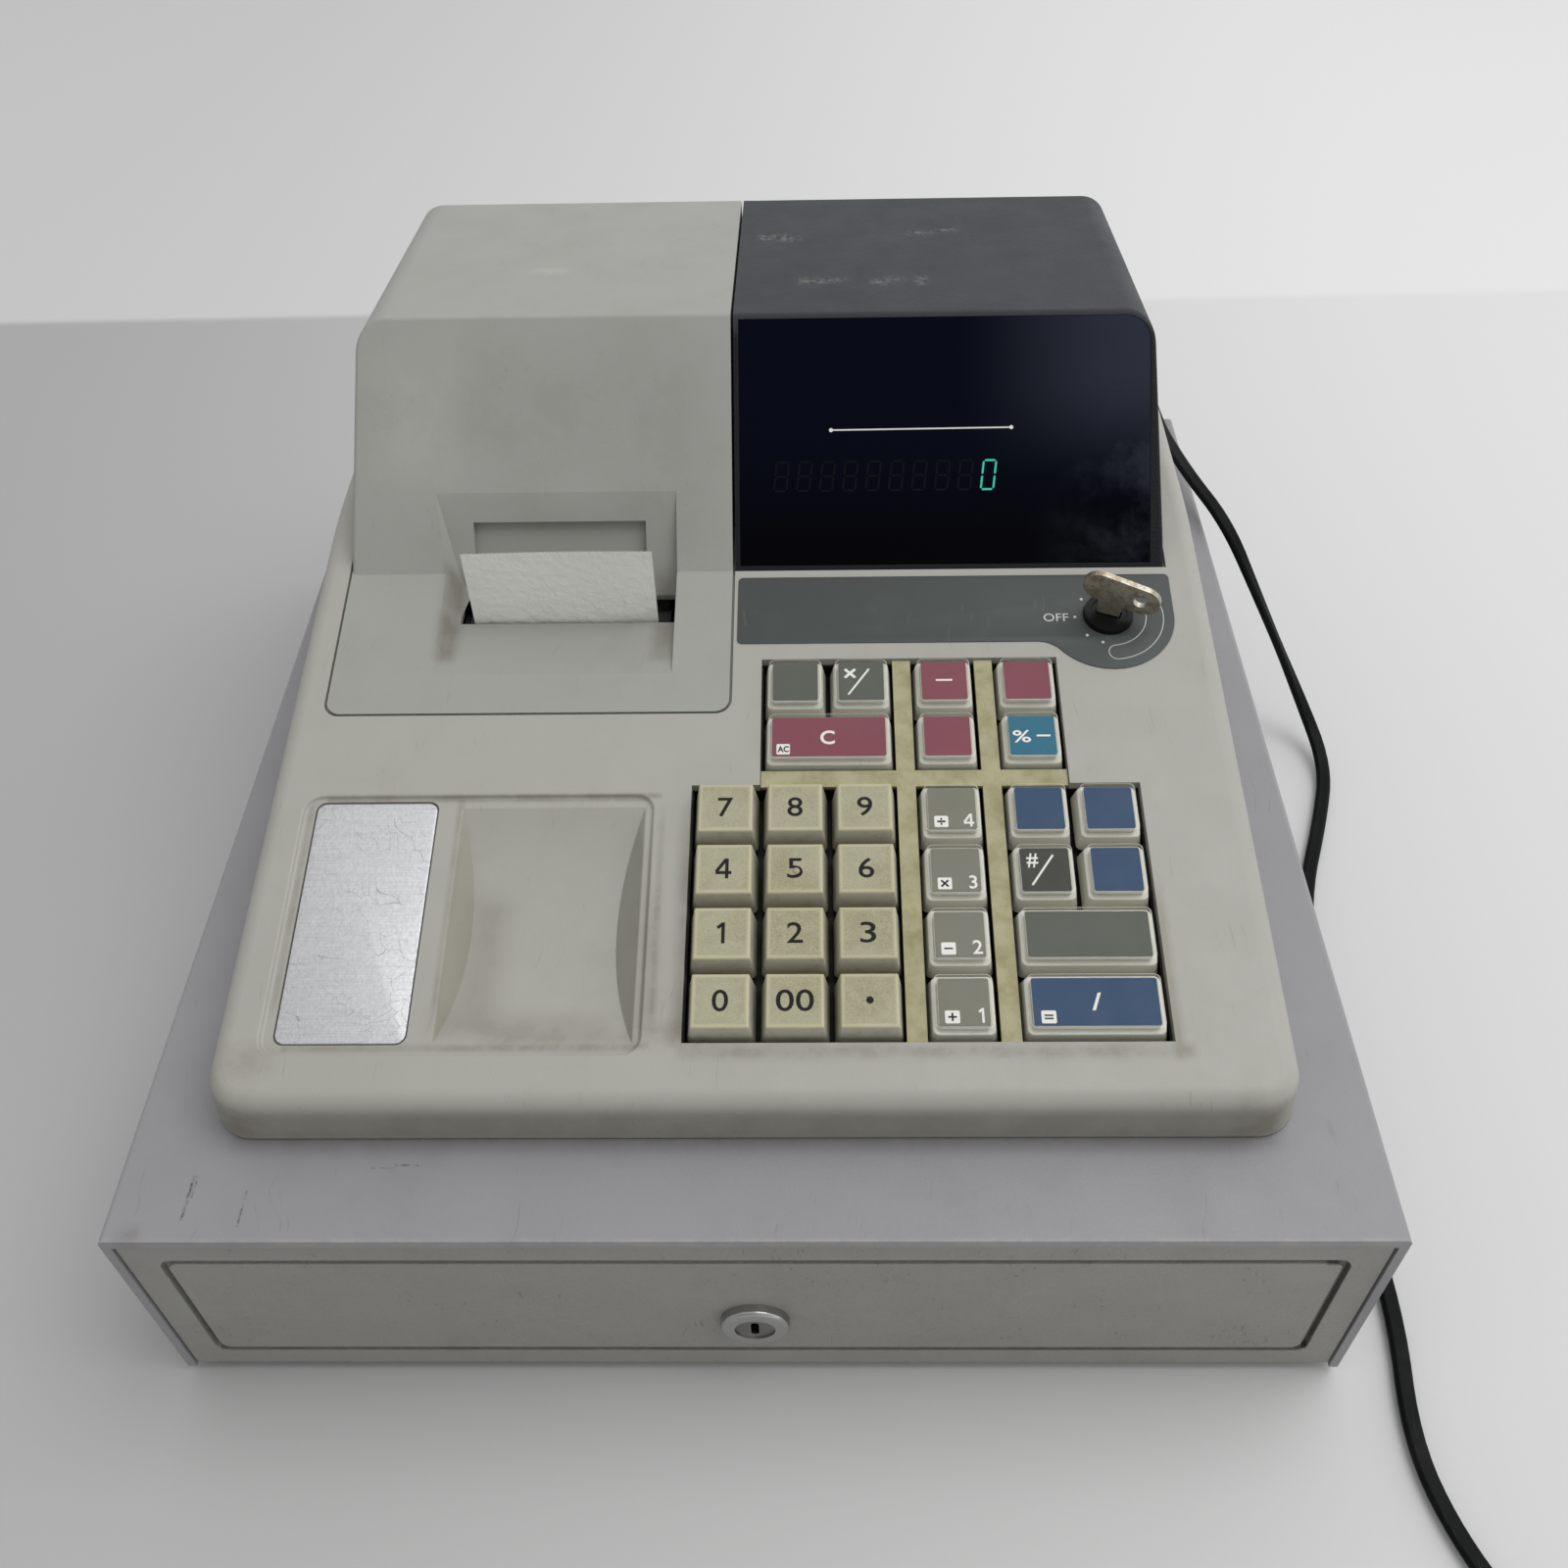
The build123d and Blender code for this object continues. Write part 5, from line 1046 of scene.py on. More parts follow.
#: Finish of each CAD node that keeps its own shape and has no material of its own below.
NODE_FINISHES: dict[str, Finish] = {
    "rubber_feet": RUBBER, "cabinet_shell": CABINET, "cabinet_floor": CABINET_UNDER,
    "drawer_front": PAD, "drawer_lock": CHROME, "lock_cylinder": LOCK_PLUG, "upper_case": BODY,
    "display_cover": HOOD_COVER, "printer_cover": PRINTER_COVER,
    "receipt_paper": PAPER, "mode_lock": BLACK_RING, "cord_gland": GLAND,
    "plug": GLAND, "drawer_pan": ZINC, "money_tray": TRAY_PLASTIC, "bill_clip_left": ZINC,
    "bill_clip_middle": ZINC, "bill_clip_right": ZINC, "drawer_latch": ZINC,
    "release_solenoid": ZINC, "lower_case": LOWER, "circuit_boards": BOARD, "display_tube": BLACK_RING,
    "printer_frame": ZINC, "platen_roller": PLATEN, "paper_roll": PAPER,
}
#: Digits drawn with a pen, as lines in shares of their height, where the font's own differ much.
PEN_DIGITS: dict[str, tuple[tuple[tuple[float, float], ...], ...]] = {
    "1": (((0.05, -0.5), (0.05, 0.5)), ((-0.20, 0.24), (0.04, 0.44))),
    "4": (((0.14, -0.5), (0.14, 0.5)), ((-0.33, -0.16), (0.11, 0.47)), ((-0.36, -0.21), (0.35, -0.21))),
}
#: Width of the pen as a share of a digit's height.
PEN_WIDTH = 0.15
CREAM_NAMES = ("0", "00", "point", "1", "2", "3", "4", "5", "6", "7", "8", "9")


# ------------------------------------------------------------------------------ keyboard
class Tint(Enum):
    """Colours of the card inserts under the clear key covers."""

    PALE = srgb(124, 123, 111)
    GREY = srgb(90, 93, 86)
    DARK = srgb(64, 65, 60)
    BLUE = srgb(48, 75, 106)
    MAROON = srgb(130, 70, 82)
    TEAL = srgb(44, 108, 132)


@dataclass(frozen=True)
class Mark:
    """One print on a key.

    Attributes:
        text: Digits or signs.
        x: Place to the right of the key's middle, in millimetres.
        y: Place up the slope from the key's middle.
        height: Height of the print.
        width: Width of the print, or None to keep the letters' own.
        dark: Dark print instead of white.
        box: Size of a white box behind the print, or None.
        weight: Boldness.
    """

    text: str
    x: float = 0.0
    y: float = 0.0
    height: float = 5.0
    width: float | None = None
    dark: bool = False
    box: tuple[float, float] | None = None
    weight: float = 0.012


@dataclass(frozen=True)
class ClearKey:
    """A key with a clear cover over a coloured insert.

    Attributes:
        name: Its node.
        column: First column.
        row: Row.
        wide: How many columns it takes.
        tint: Colour of the insert.
        marks: Prints on the insert.
        slash: Whether a diagonal line crosses the insert.
    """

    name: str
    column: int
    row: int
    wide: int
    tint: Tint
    marks: tuple[Mark, ...] = ()
    slash: bool = False


def boxed(text: str, x: float = -3.2, y: float = -4.2, height: float = 2.3, width: float = 2.3,
          weight: float = 0.012) -> Mark:
    """A dark sign in a white box at an insert's lower left."""
    return Mark(text, x, y, height, width, dark=True, box=(3.9, 3.6), weight=weight)


def small(text: str) -> Mark:
    """A white digit at an insert's lower right."""
    return Mark(text, 4.6, -3.8, height=4.1)


@dataclass
class Keyboard:
    """All the keys, their prints and the yellowed frame round them. Sizes in millimetres.

    Attributes:
        columns: X of the key columns; rows has the places of the rows up the deck.
        pitch: From one key to the next.
        base: Size of a cap at its foot; top is that at its top.
        rise: Height of a cream cap's top; clear_rise is that of a clear one.
        skirt: How far the caps reach down below deck level.
        insert_rise: Height of the coloured card's face.
        core_inset: How much smaller than a cap's top its raised core is; insert_inset and cover_inset
            are the same for the card and for the cover's inside.
        hollow_inset: How much smaller than a cap's foot the hollow below it is.
        hollow_top: Height of the hollow's ceiling.
        stem_radius: Radius of a stem, and stem_top the height where it starts.
        collar_radius: Radius of the collar at a stem's end.
        collar_top: Height of the collar's top; stem_bottom is where the stem ends.
        cover_wall: Thickness of a clear cover.
        cap_radius: Radius of a cap's corners.
        insert_thickness: Thickness of the coloured card.
        print_thickness: Thickness of a printed sign; box_thickness is that of boxes and slashes.
        slash_ends: Both ends of a diagonal line, and slash_width its width.
        paint: Where the materials come from.
    """

    columns: tuple[float, ...] = (-8.0, 11.64, 31.28, 55.92, 80.56, 100.2)
    rows: tuple[float, ...] = (25.7, 45.34, 64.98, 84.62, 109.26, 128.9)
    pitch: float = 19.64
    base: float = 18.3
    top: float = 15.2
    rise: float = 4.1
    clear_rise: float = 3.4
    skirt: float = 5.5
    insert_rise: float = 2.5
    core_inset: float = 1.5
    insert_inset: float = 1.75
    cover_inset: float = 1.2
    hollow_inset: float = 3.4
    hollow_top: float = -2.0
    stem_radius: float = 2.5
    stem_top: float = -1.8
    collar_radius: float = 3.95
    collar_top: float = -10.3
    stem_bottom: float = -11.3
    cover_wall: float = 0.65
    cap_radius: float = 1.7
    insert_thickness: float = 0.25
    print_thickness: float = 0.06
    box_thickness: float = 0.05
    slash_ends: tuple[Point2, Point2] = ((-3.9, -4.8), (2.4, 4.5))
    slash_width: float = 0.6
    paint: Paintbox = field(default_factory=Paintbox)

    def clear_keys(self) -> tuple[ClearKey, ...]:
        """The clear-capped keys."""
        return (
            ClearKey("key_plus", 3, 0, 1, Tint.PALE, (boxed("+"), small("1"))),
            ClearKey("key_minus", 3, 1, 1, Tint.PALE, (boxed("−", height=0.45), small("2"))),
            ClearKey("key_times", 3, 2, 1, Tint.PALE, (boxed("×"), small("3"))),
            ClearKey("key_divide", 3, 3, 1, Tint.PALE, (boxed("÷"), small("4"))),
            ClearKey("key_cash", 4, 0, 2, Tint.BLUE,
                     (boxed("=", -12.6, -4.3, 1.3), Mark("/", 0.2, 0, 5.0, 2.7))),
            ClearKey("key_subtotal", 4, 1, 2, Tint.GREY),
            ClearKey("key_no_sale", 4, 2, 1, Tint.DARK, (Mark("#", -3.4, 2.8, 4.4, 3.2),), slash=True),
            ClearKey("key_charge", 5, 2, 1, Tint.BLUE),
            ClearKey("key_received", 4, 3, 1, Tint.BLUE),
            ClearKey("key_paid_out", 5, 3, 1, Tint.BLUE),
            ClearKey("key_clear", 1, 4, 2, Tint.MAROON,
                     (boxed("AC", -13.3, -4.3, 2.1, 3.3, 0.03), Mark("C", -0.4, -0.3, 4.8, weight=0.02))),
            ClearKey("key_void", 3, 4, 1, Tint.MAROON),
            ClearKey("key_percent", 4, 4, 1, Tint.TEAL,
                     (Mark("%", -3.1, -0.4, 4.2, 5.2), Mark("−", 3.2, -0.2, 0.6, 4.0))),
            ClearKey("key_feed", 1, 5, 1, Tint.GREY),
            ClearKey("key_date", 2, 5, 1, Tint.GREY, (Mark("×", -3.3, 2.9, 3.7, 3.7),), slash=True),
            ClearKey("key_discount", 3, 5, 1, Tint.MAROON, (Mark("−", 0, 0.2, 0.65, 4.9),)),
            ClearKey("key_release", 4, 5, 1, Tint.MAROON),
        )

    def place(self, column: int, row: int, wide: int = 1) -> Matrix:
        """Matrix of a key's middle at deck level, in millimetres."""
        x = self.columns[column] + (wide - 1) * self.pitch / 2
        return DECK.matrix(x * MM, self.rows[row] * MM) @ Matrix.Scale(MM, 4)

    def spot(self, key: ClearKey) -> tuple[Matrix, float]:
        """Matrix of a clear key's middle, and how much wider it is than a key of one column."""
        return self.place(key.column, key.row, key.wide), (key.wide - 1) * self.pitch

    def cap_outline(self, rise: float, extra: float, inset: float = 0.0) -> list[Point2]:
        """Outline of a cap at a height, where the cap tapers from its base to its top."""
        size = self.base - (self.base - self.top) * (rise + self.skirt) / (self.skirt + self.rise)
        size -= 2 * inset
        return rounded_rectangle(size + extra, size, max(self.cap_radius - inset * 0.6, 0.4), 5)

    def skirt_piece(self, key: ClearKey) -> bpy.types.Object:
        """The opaque cap body under a clear cover, hollow below, with its stems."""
        place, extra = self.spot(key)
        form = Form()
        seat = self.insert_rise - 0.15
        core, hollow = self.top - self.core_inset, self.base - self.hollow_inset
        block = rounded_rectangle(core + extra, core, 1.0, 5)
        under = rounded_rectangle(hollow + extra, hollow, 1.0, 5)
        sides = ((-self.skirt, 0.0), (0.05, 0.0), (0.2, 0.15))
        form.slabs(place, [(self.hollow_top, under), (-self.skirt, under),
                           *((rise, self.cap_outline(rise, extra, inset)) for rise, inset in sides),
                           (0.2, block), (seat, block)])
        stem, collar = circle(self.stem_radius), circle(self.collar_radius)
        for x in (0.0,) if key.wide == 1 else (-self.pitch / 2, self.pitch / 2):
            form.slabs(place @ Matrix.Translation((x, 0, 0)), [
                (self.stem_top, stem), (self.collar_top, stem), (self.collar_top, collar),
                (self.stem_bottom, collar)])
        made = form.piece(f"{key.name}_cap", self.paint.get(SKIRT), key.name, "cream_key")
        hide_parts(key.name)
        return made

    def insert_piece(self, key: ClearKey) -> bpy.types.Object:
        """The coloured card under the cover."""
        place, extra = self.spot(key)
        size = self.top - self.insert_inset
        form = Form()
        form.plate(place, rounded_rectangle(size + extra, size, 0.7, 4), self.insert_rise,
                   self.insert_rise - self.insert_thickness)
        finish = Finish(f"insert_{key.tint.name.lower()}", key.tint.value, roughness=0.55, mottle=0.12,
                        grime=0.06, grime_colour=srgb(140, 134, 116), grain_scale=1100, grain=0.1,
                        scratches=0.1, bump=0.00002, specular=0.2)
        return form.piece(f"{key.name}_insert", self.paint.get(finish), key.name, "clear_key")

    def cover_piece(self, key: ClearKey) -> bpy.types.Object:
        """The clear moulded cover, a thin shell that is open below."""
        place, extra = self.spot(key)
        top, wall = self.clear_rise, self.cover_wall
        size = self.top - self.cover_inset
        inner = rounded_rectangle(size + extra, size, 1.1, 5)
        form = Form()
        rim = ((0.3, 0.0), (top - 0.55, 0.0), (top - 0.25, 0.1), (top - 0.07, 0.28), (top, 0.6))
        form.slabs(place, [(top - wall, inner), (0.3, inner),
                           *((rise, self.cap_outline(rise, extra, inset)) for rise, inset in rim)])
        return form.piece(f"{key.name}_cover", self.clear_plastic(), key.name, "clear_key", 50)

    def off_centre(self, w: Wires, place: object) -> tuple[object, object, object]:
        """Distances across and up from the nearest key's middle, and the rise above the deck.

        Args:
            w: The tree's wiring helper.
            place: The object's coordinates.

        Returns:
            The three distances in millimetres.
        """
        x, row, rise = (w.times(value, 1000.0) for value in w.on_plane(place, DECK))
        half = self.pitch / 2
        across = w.math("WRAP", w.minus(x, self.columns[0]), half, -half)
        upward = w.math("WRAP", w.minus(row, self.rows[0]), half, -half)
        return across, upward, rise

    def cream_plastic(self) -> bpy.types.Material:
        """Cream caps: speckled yellowed tops with worn rims and paler skirts."""
        material, w, shader, place = self.paint.start("cream_key_cap")
        across, upward, rise = self.off_centre(w, place)
        edge = w.math("MAXIMUM", w.math("ABSOLUTE", across), w.math("ABSOLUTE", upward))
        speck = w.noise(place, 2600.0, 3.0, 0.7)
        cloud = w.noise(place, 190.0, 5.0, 0.7)
        drift = w.noise(place, 34.0, 3.0, 0.6)
        top = w.mix(w.ramp(speck, 0.35, 0.65), srgb(142, 138, 108), srgb(172, 168, 138))
        top = w.mix(w.times(w.ramp(cloud, 0.42, 0.62), 0.3), top, srgb(126, 121, 92))
        top = w.mix(w.times(w.ramp(drift, 0.42, 0.6), 0.35), top, srgb(176, 174, 154))
        ragged = w.plus(edge, w.times(w.minus(cloud, 0.5), 1.2))
        worn = w.times(w.ramp(ragged, 6.2, 7.3), 0.75)
        top = w.mix(worn, top, w.mix(drift, srgb(184, 179, 142), srgb(196, 192, 162)))
        side = w.mix(w.ramp(rise, -5.0, 2.5), srgb(156, 152, 130), srgb(186, 184, 168))
        side = w.mix(w.times(w.ramp(cloud, 0.45, 0.7), 0.3), side, srgb(116, 109, 84))
        colour = w.mix(w.ramp(rise, 3.1, 3.9), side, top)
        w.feed(shader, Base_Color=colour, Roughness=w.ramp(speck, 0.3, 0.7, 0.4, 0.58),
               Specular_IOR_Level=0.4)
        w.relief(shader, 0.00005, speck)
        return material

    def frame_plastic(self) -> bpy.types.Material:
        """The yellowed frame: dirty beside the keys and black with shade and dust in its wells."""
        material, w, shader, place = self.paint.start("key_frame_abs")
        rise = w.times(w.on_plane(place, DECK)[2], 1000.0)
        cloud = w.noise(place, 120.0, 5.0, 0.7)
        speck = w.noise(place, 1500.0, 2.0, 0.6)
        bars = w.mix(w.ramp(cloud, 0.35, 0.75), srgb(174, 169, 136), srgb(150, 144, 108))
        wells = w.mix(speck, srgb(12, 11, 8), srgb(24, 22, 16))
        w.feed(shader, Base_Color=w.mix(w.ramp(rise, -3.2, -0.9), wells, bars),
               Roughness=w.ramp(cloud, 0.3, 0.7, 0.5, 0.7), Specular_IOR_Level=0.3)
        w.relief(shader, 0.00005, speck)
        return material

    def nib(self, place: Matrix, material: bpy.types.Material) -> None:
        """The raised dot that the middle number key is found by.

        Args:
            place: Matrix of the key's middle, in millimetres.
            material: What the key is made of.
        """
        form = Form()
        at = place @ Matrix.Translation((0.3, -0.9, self.rise - 0.05))
        dome = ((0.0, 1.05), (0.22, 0.95), (0.38, 0.75), (0.46, 0.45), (0.48, 0.15))
        form.slabs(at, [(rise, circle(radius, 24)) for rise, radius in dome])
        form.piece("key_5_nib", material, "key_5", "cream_key")

    def clear_plastic(self) -> bpy.types.Material:
        """Clear styrene: see-through square on, glossy at a slant and paler there as painted sheen, with a
        dusty bloom and a painted highlight on the curved edges of its top.
        """
        if "clear_styrene" in self.paint.made:
            return self.paint.made["clear_styrene"]
        material, w, shader, place = self.paint.start("clear_styrene")
        dust = w.ramp(w.noise(place, 160.0, 5.0, 0.7), 0.45, 0.75)
        # Painted sheen: the cover turns paler and less see-through at a slant.
        slant = w.math("POWER", w.node("ShaderNodeLayerWeight", Blend=0.5).outputs["Facing"], 3.0)
        haze = w.plus(w.times(dust, 0.014), 0.008)
        normal = w.node("ShaderNodeNewGeometry").outputs["Normal"]
        up = w.math("ABSOLUTE", w.vector("DOT_PRODUCT", normal, tuple(DECK.matrix().col[2][:3])))
        # Painted highlight: the curved edges between the top and the sides turn paler and less see-through.
        edge_highlight = w.times(w.ramp(up, 0.22, 0.45), w.ramp(up, 0.97, 0.86))
        haze = w.plus(haze, w.times(edge_highlight, 0.32))
        pale = w.mix(dust, srgb(186, 186, 178), srgb(160, 156, 142))
        w.feed(shader, Alpha=w.plus(haze, w.times(slant, 0.5), clamp=True),
               Base_Color=w.mix(edge_highlight, pale, srgb(232, 232, 226)),
               Roughness=w.ramp(dust, 0.0, 1.0, 0.06, 0.2), Specular_IOR_Level=0.9)
        self.paint.made["clear_styrene"] = material
        return material

    def print_marks(self, name: str, place: Matrix, rise: float, marks: Sequence[Mark],
                    slash: bool = False) -> None:
        """Print a key's marks, dark and white ones as a piece each.

        Args:
            name: The key's body, with whose name the pieces start.
            place: Matrix of the key's middle, in millimetres.
            rise: Height of the printed face.
            marks: What is printed.
            slash: Whether a diagonal line crosses the face.
        """
        dark, white = Form(), Form()
        for mark in marks:
            at = place @ Matrix.Translation((mark.x, mark.y, rise))
            if mark.box:
                white.plate(at, rounded_rectangle(*mark.box, 0.4, 3), self.box_thickness)
                at = at @ Matrix.Translation((0, 0, 0.03))
            form, tall = dark if mark.dark else white, mark.height
            if mark.text not in PEN_DIGITS:
                form.add_mesh(text_mesh(mark.text, tall, mark.width, mark.weight, self.print_thickness), at)
            for n, line in enumerate(PEN_DIGITS.get(mark.text, ())):
                drawn = stroke([(x * tall, y * tall) for x, y in line], PEN_WIDTH * tall)
                form.plate(at, drawn, self.print_thickness * (1 - 0.1 * n))
        if slash:
            line = place @ Matrix.Translation((0, 0, rise))
            white.plate(line, stroke(self.slash_ends, self.slash_width), self.box_thickness)
        if dark.mesh.verts:
            dark.piece(f"{name}_dark_print", self.paint.get(PRINT_DARK), name, "black_plastic")
        if white.mesh.verts:
            white.piece(f"{name}_white_print", self.paint.get(PRINT_WHITE), name, "cream_key")

    def build(self, frame: dict) -> None:
        """Dress the cream keys and replace the clear ones.

        Args:
            frame: The loaded frame.
        """
        cream = self.cream_plastic()
        dress(frame["nodes"]["key_frame"], self.frame_plastic())
        for index, name in enumerate(CREAM_NAMES):
            node = f"key_{name}"
            dress(frame["nodes"][node], cream)
            text = "•" if name == "point" else name
            height = 2.1 if name == "point" else 6.2
            wide = {"point": 2.0, "00": 10.0, "1": None}.get(name, 4.3)
            place = self.place(index % 3, index // 3)
            if name == "5":
                self.nib(place, cream)
            mark = Mark(text, 0.0, 0.0, height, wide, dark=True, weight=0.006)
            self.print_marks(node, place, self.rise - 0.02, (mark,))
        for key in self.clear_keys():
            self.skirt_piece(key)
            self.insert_piece(key)
            self.cover_piece(key)
            self.print_marks(key.name, self.spot(key)[0], self.insert_rise, key.marks, key.slash)


def dress(node: bpy.types.Object, material: bpy.types.Material) -> None:
    """Give a CAD node its material."""
    if not node.material_slots:
        node.data.materials.append(material)
    for slot in node.material_slots:
        slot.material = material


def sheet_mesh(outlines: Sequence[Sequence[Point2]], thickness: float, edge: float = 0.0) -> bpy.types.Mesh:
    """A flat sheet from outlines; an outline inside another one is a hole.

    Args:
        outlines: The outlines.
        thickness: Thickness of the sheet, from z 0 up.
        edge: Size of the rounding of its edges.

    Returns:
        The mesh.
    """
    curve = bpy.data.curves.new("sheet", "CURVE")
    curve.dimensions = "2D"
    curve.fill_mode = "BOTH"
    for outline in outlines:
        closed_line(curve, outline)
    curve.extrude = thickness / 2 - edge
    curve.bevel_depth = edge
    curve.bevel_resolution = 2
    curve.offset = -edge
    mesh = baked(put("sheet", curve))
    mesh.transform(Matrix.Translation((0, 0, thickness / 2)))
    return mesh


def stroke(points: Sequence[Point2], width: float) -> list[Point2]:
    """Outline of an open line that is drawn with a pen of some width."""
    left, right = [], []
    for n, (x, y) in enumerate(points):
        x0, y0 = points[max(n - 1, 0)]
        x1, y1 = points[min(n + 1, len(points) - 1)]
        run = math.hypot(x1 - x0, y1 - y0)
        nx, ny = -(y1 - y0) / run * width / 2, (x1 - x0) / run * width / 2
        left.append((x + nx, y + ny))
        right.append((x - nx, y - ny))
    return left + right[::-1]


def arc(centre: Point2, radius: float, first: float, last: float, steps: int = 24) -> list[Point2]:
    """Points on an arc between two angles in degrees."""
    points = []
    for n in range(steps + 1):
        angle = math.radians(first + (last - first) * n / steps)
        points.append((centre[0] + radius * math.cos(angle), centre[1] + radius * math.sin(angle)))
    return points


# ------------------------------------------------------------------------------ mode switch
def rotor_material(paint: Paintbox) -> bpy.types.Material:
    """Black plastic for the switch's rotor and worn nickel for the key that stands in it.

    Args:
        paint: Where the shader groups come from.

    Returns:
        The material.
    """
    material, w, shader, place = paint.start("mode_rotor_and_key")
    rise = w.on_plane(place, DECK)[2]
    key = w.ramp(rise, 0.00165, 0.0019)
    cloud = w.noise(place, 260.0, 6.0, 0.75)
    fine = w.noise(place, 1900.0, 3.0, 0.6)
    nickel = w.mix(w.ramp(cloud, 0.4, 0.62), srgb(196, 190, 176), srgb(146, 134, 112))
    nickel = w.mix(w.times(w.ramp(fine, 0.55, 0.7), 0.4), nickel, srgb(96, 86, 70))
    w.feed(shader, Base_Color=w.mix(key, srgb(14, 14, 15), nickel), Metallic=w.times(key, 0.75),
           Roughness=w.plus(w.ramp(cloud, 0.3, 0.7, 0.24, 0.44), w.times(fine, 0.05)),
           Specular_IOR_Level=0.2)
    w.relief(shader, 0.00006, cloud)
    return material


@dataclass
class ModeSheet:
    """The grey printed sheet on the deck, with dots round the lock. Sizes in millimetres.

    Attributes:
        lock: Middle of the lock, across and up the deck.
        left: Left edge; right is the right one.
        back: Edge at the back; front is that at the front.
        lobe: Radius of the swelling round the lock.
        fillet: Radius where the lobe runs into the band; corner is that of the corners.
        hole: Radius of the hole for the lock.
        thickness: Thickness of the sheet.
        dots: Middles of the printed dots, and dot_radius their size.
        off_middle: Middle of the word, and off_size its width and height.
        rim: Radius of the middle of the printed loop, and rim_half half its width.
        rim_ends: Angles where the loop ends, in degrees.
        pen: Width of the loop's line.
        ink: Thickness of the print.
    """

    lock: Point2 = (107.6, 154.6)
    left: float = -6.2
    right: float = 127.9
    back: float = 170.6
    front: float = 144.9
    lobe: float = 20.2
    fillet: float = 9.0
    corner: float = 1.6
    hole: float = 7.6
    thickness: float = 0.35
    dots: tuple[Point2, ...] = (
        (100.0, 160.8), (97.4, 153.9), (100.5, 146.9), (105.0, 144.2), (104.6, 164.6))
    dot_radius: float = 0.48
    off_middle: Point2 = (91.6, 153.8)
    off_size: Point2 = (7.6, 3.0)
    rim: float = 14.2
    rim_half: float = 2.75
    rim_ends: Point2 = (-84.0, 8.0)
    pen: float = 0.24
    ink: float = 0.04

    def outline(self) -> list[Point2]:
        """Outline of the sheet: a band that swells to a lobe round the lock."""
        x0, y0 = self.lock
        drop = y0 - self.front
        reach = math.sqrt((self.lobe + self.fillet) ** 2 - (drop + self.fillet) ** 2)
        joint = (x0 - reach, self.front - self.fillet)
        touch = math.degrees(math.atan2(y0 - joint[1], reach))
        points = arc((self.left + self.corner, self.back - self.corner), self.corner, 90, 180, 6)
        points += arc((self.left + self.corner, self.front + self.corner), self.corner, 180, 270, 6)
        points += arc(joint, self.fillet, 90, touch, 12)
        points += arc((x0, y0), self.lobe, 180 + touch, 360, 40)
        points += arc((self.right - self.corner, self.back - self.corner), self.corner, 0, 90, 6)
        return points

    def build(self, paint: Paintbox) -> None:
        """Make the sheet and what is printed on it."""
        place = DECK.matrix(rise=0.00002) @ Matrix.Scale(MM, 4)
        form = Form()
        hole = [(self.lock[0] + x, self.lock[1] + y) for x, y in circle(self.hole, 40)]
        form.add_mesh(sheet_mesh([self.outline(), hole], self.thickness, 0.12), place)
        form.piece("mode_sheet", paint.get(SHEET_GREY), "register", "black_plastic")
        printed = Form()
        top = place @ Matrix.Translation((0, 0, self.thickness - 0.01))
        for x, y in self.dots:
            printed.plate(top @ Matrix.Translation((x, y, 0)), circle(self.dot_radius, 16), self.ink)
        width, height = self.off_size
        printed.add_mesh(text_mesh("OFF", height, width, 0.0, self.ink),
                         top @ Matrix.Translation((*self.off_middle, 0)))
        low, high = self.rim_ends
        outer = arc(self.lock, self.rim + self.rim_half, low, high, 30)
        far_end = arc(self.on_rim(high), self.rim_half, high, high + 180, 14)[1:]
        inner = arc(self.lock, self.rim - self.rim_half, high, low, 30)[1:]
        near_end = arc(self.on_rim(low), self.rim_half, low + 180, low + 360, 14)[1:-1]
        loop = outer + far_end + inner + near_end
        printed.add_mesh(sheet_mesh([loop, self.shrunk(loop, self.pen)], self.ink), top)
        printed.piece("mode_sheet_print", paint.get(SHEET_PRINT), "register", "cream_key")

    def on_rim(self, angle: float) -> Point2:
        """A point on the middle of the printed loop, at an angle in degrees."""
        turn = math.radians(angle)
        return self.lock[0] + self.rim * math.cos(turn), self.lock[1] + self.rim * math.sin(turn)

    @staticmethod
    def shrunk(loop: Sequence[Point2], by: float) -> list[Point2]:
        """The closed loop again, moved inwards by a pen's width."""
        made = []
        for n, (x, y) in enumerate(loop):
            x0, y0 = loop[n - 1]
            x1, y1 = loop[(n + 1) % len(loop)]
            run = math.hypot(x1 - x0, y1 - y0)
            made.append((x - (y1 - y0) / run * by, y + (x1 - x0) / run * by))
        return made


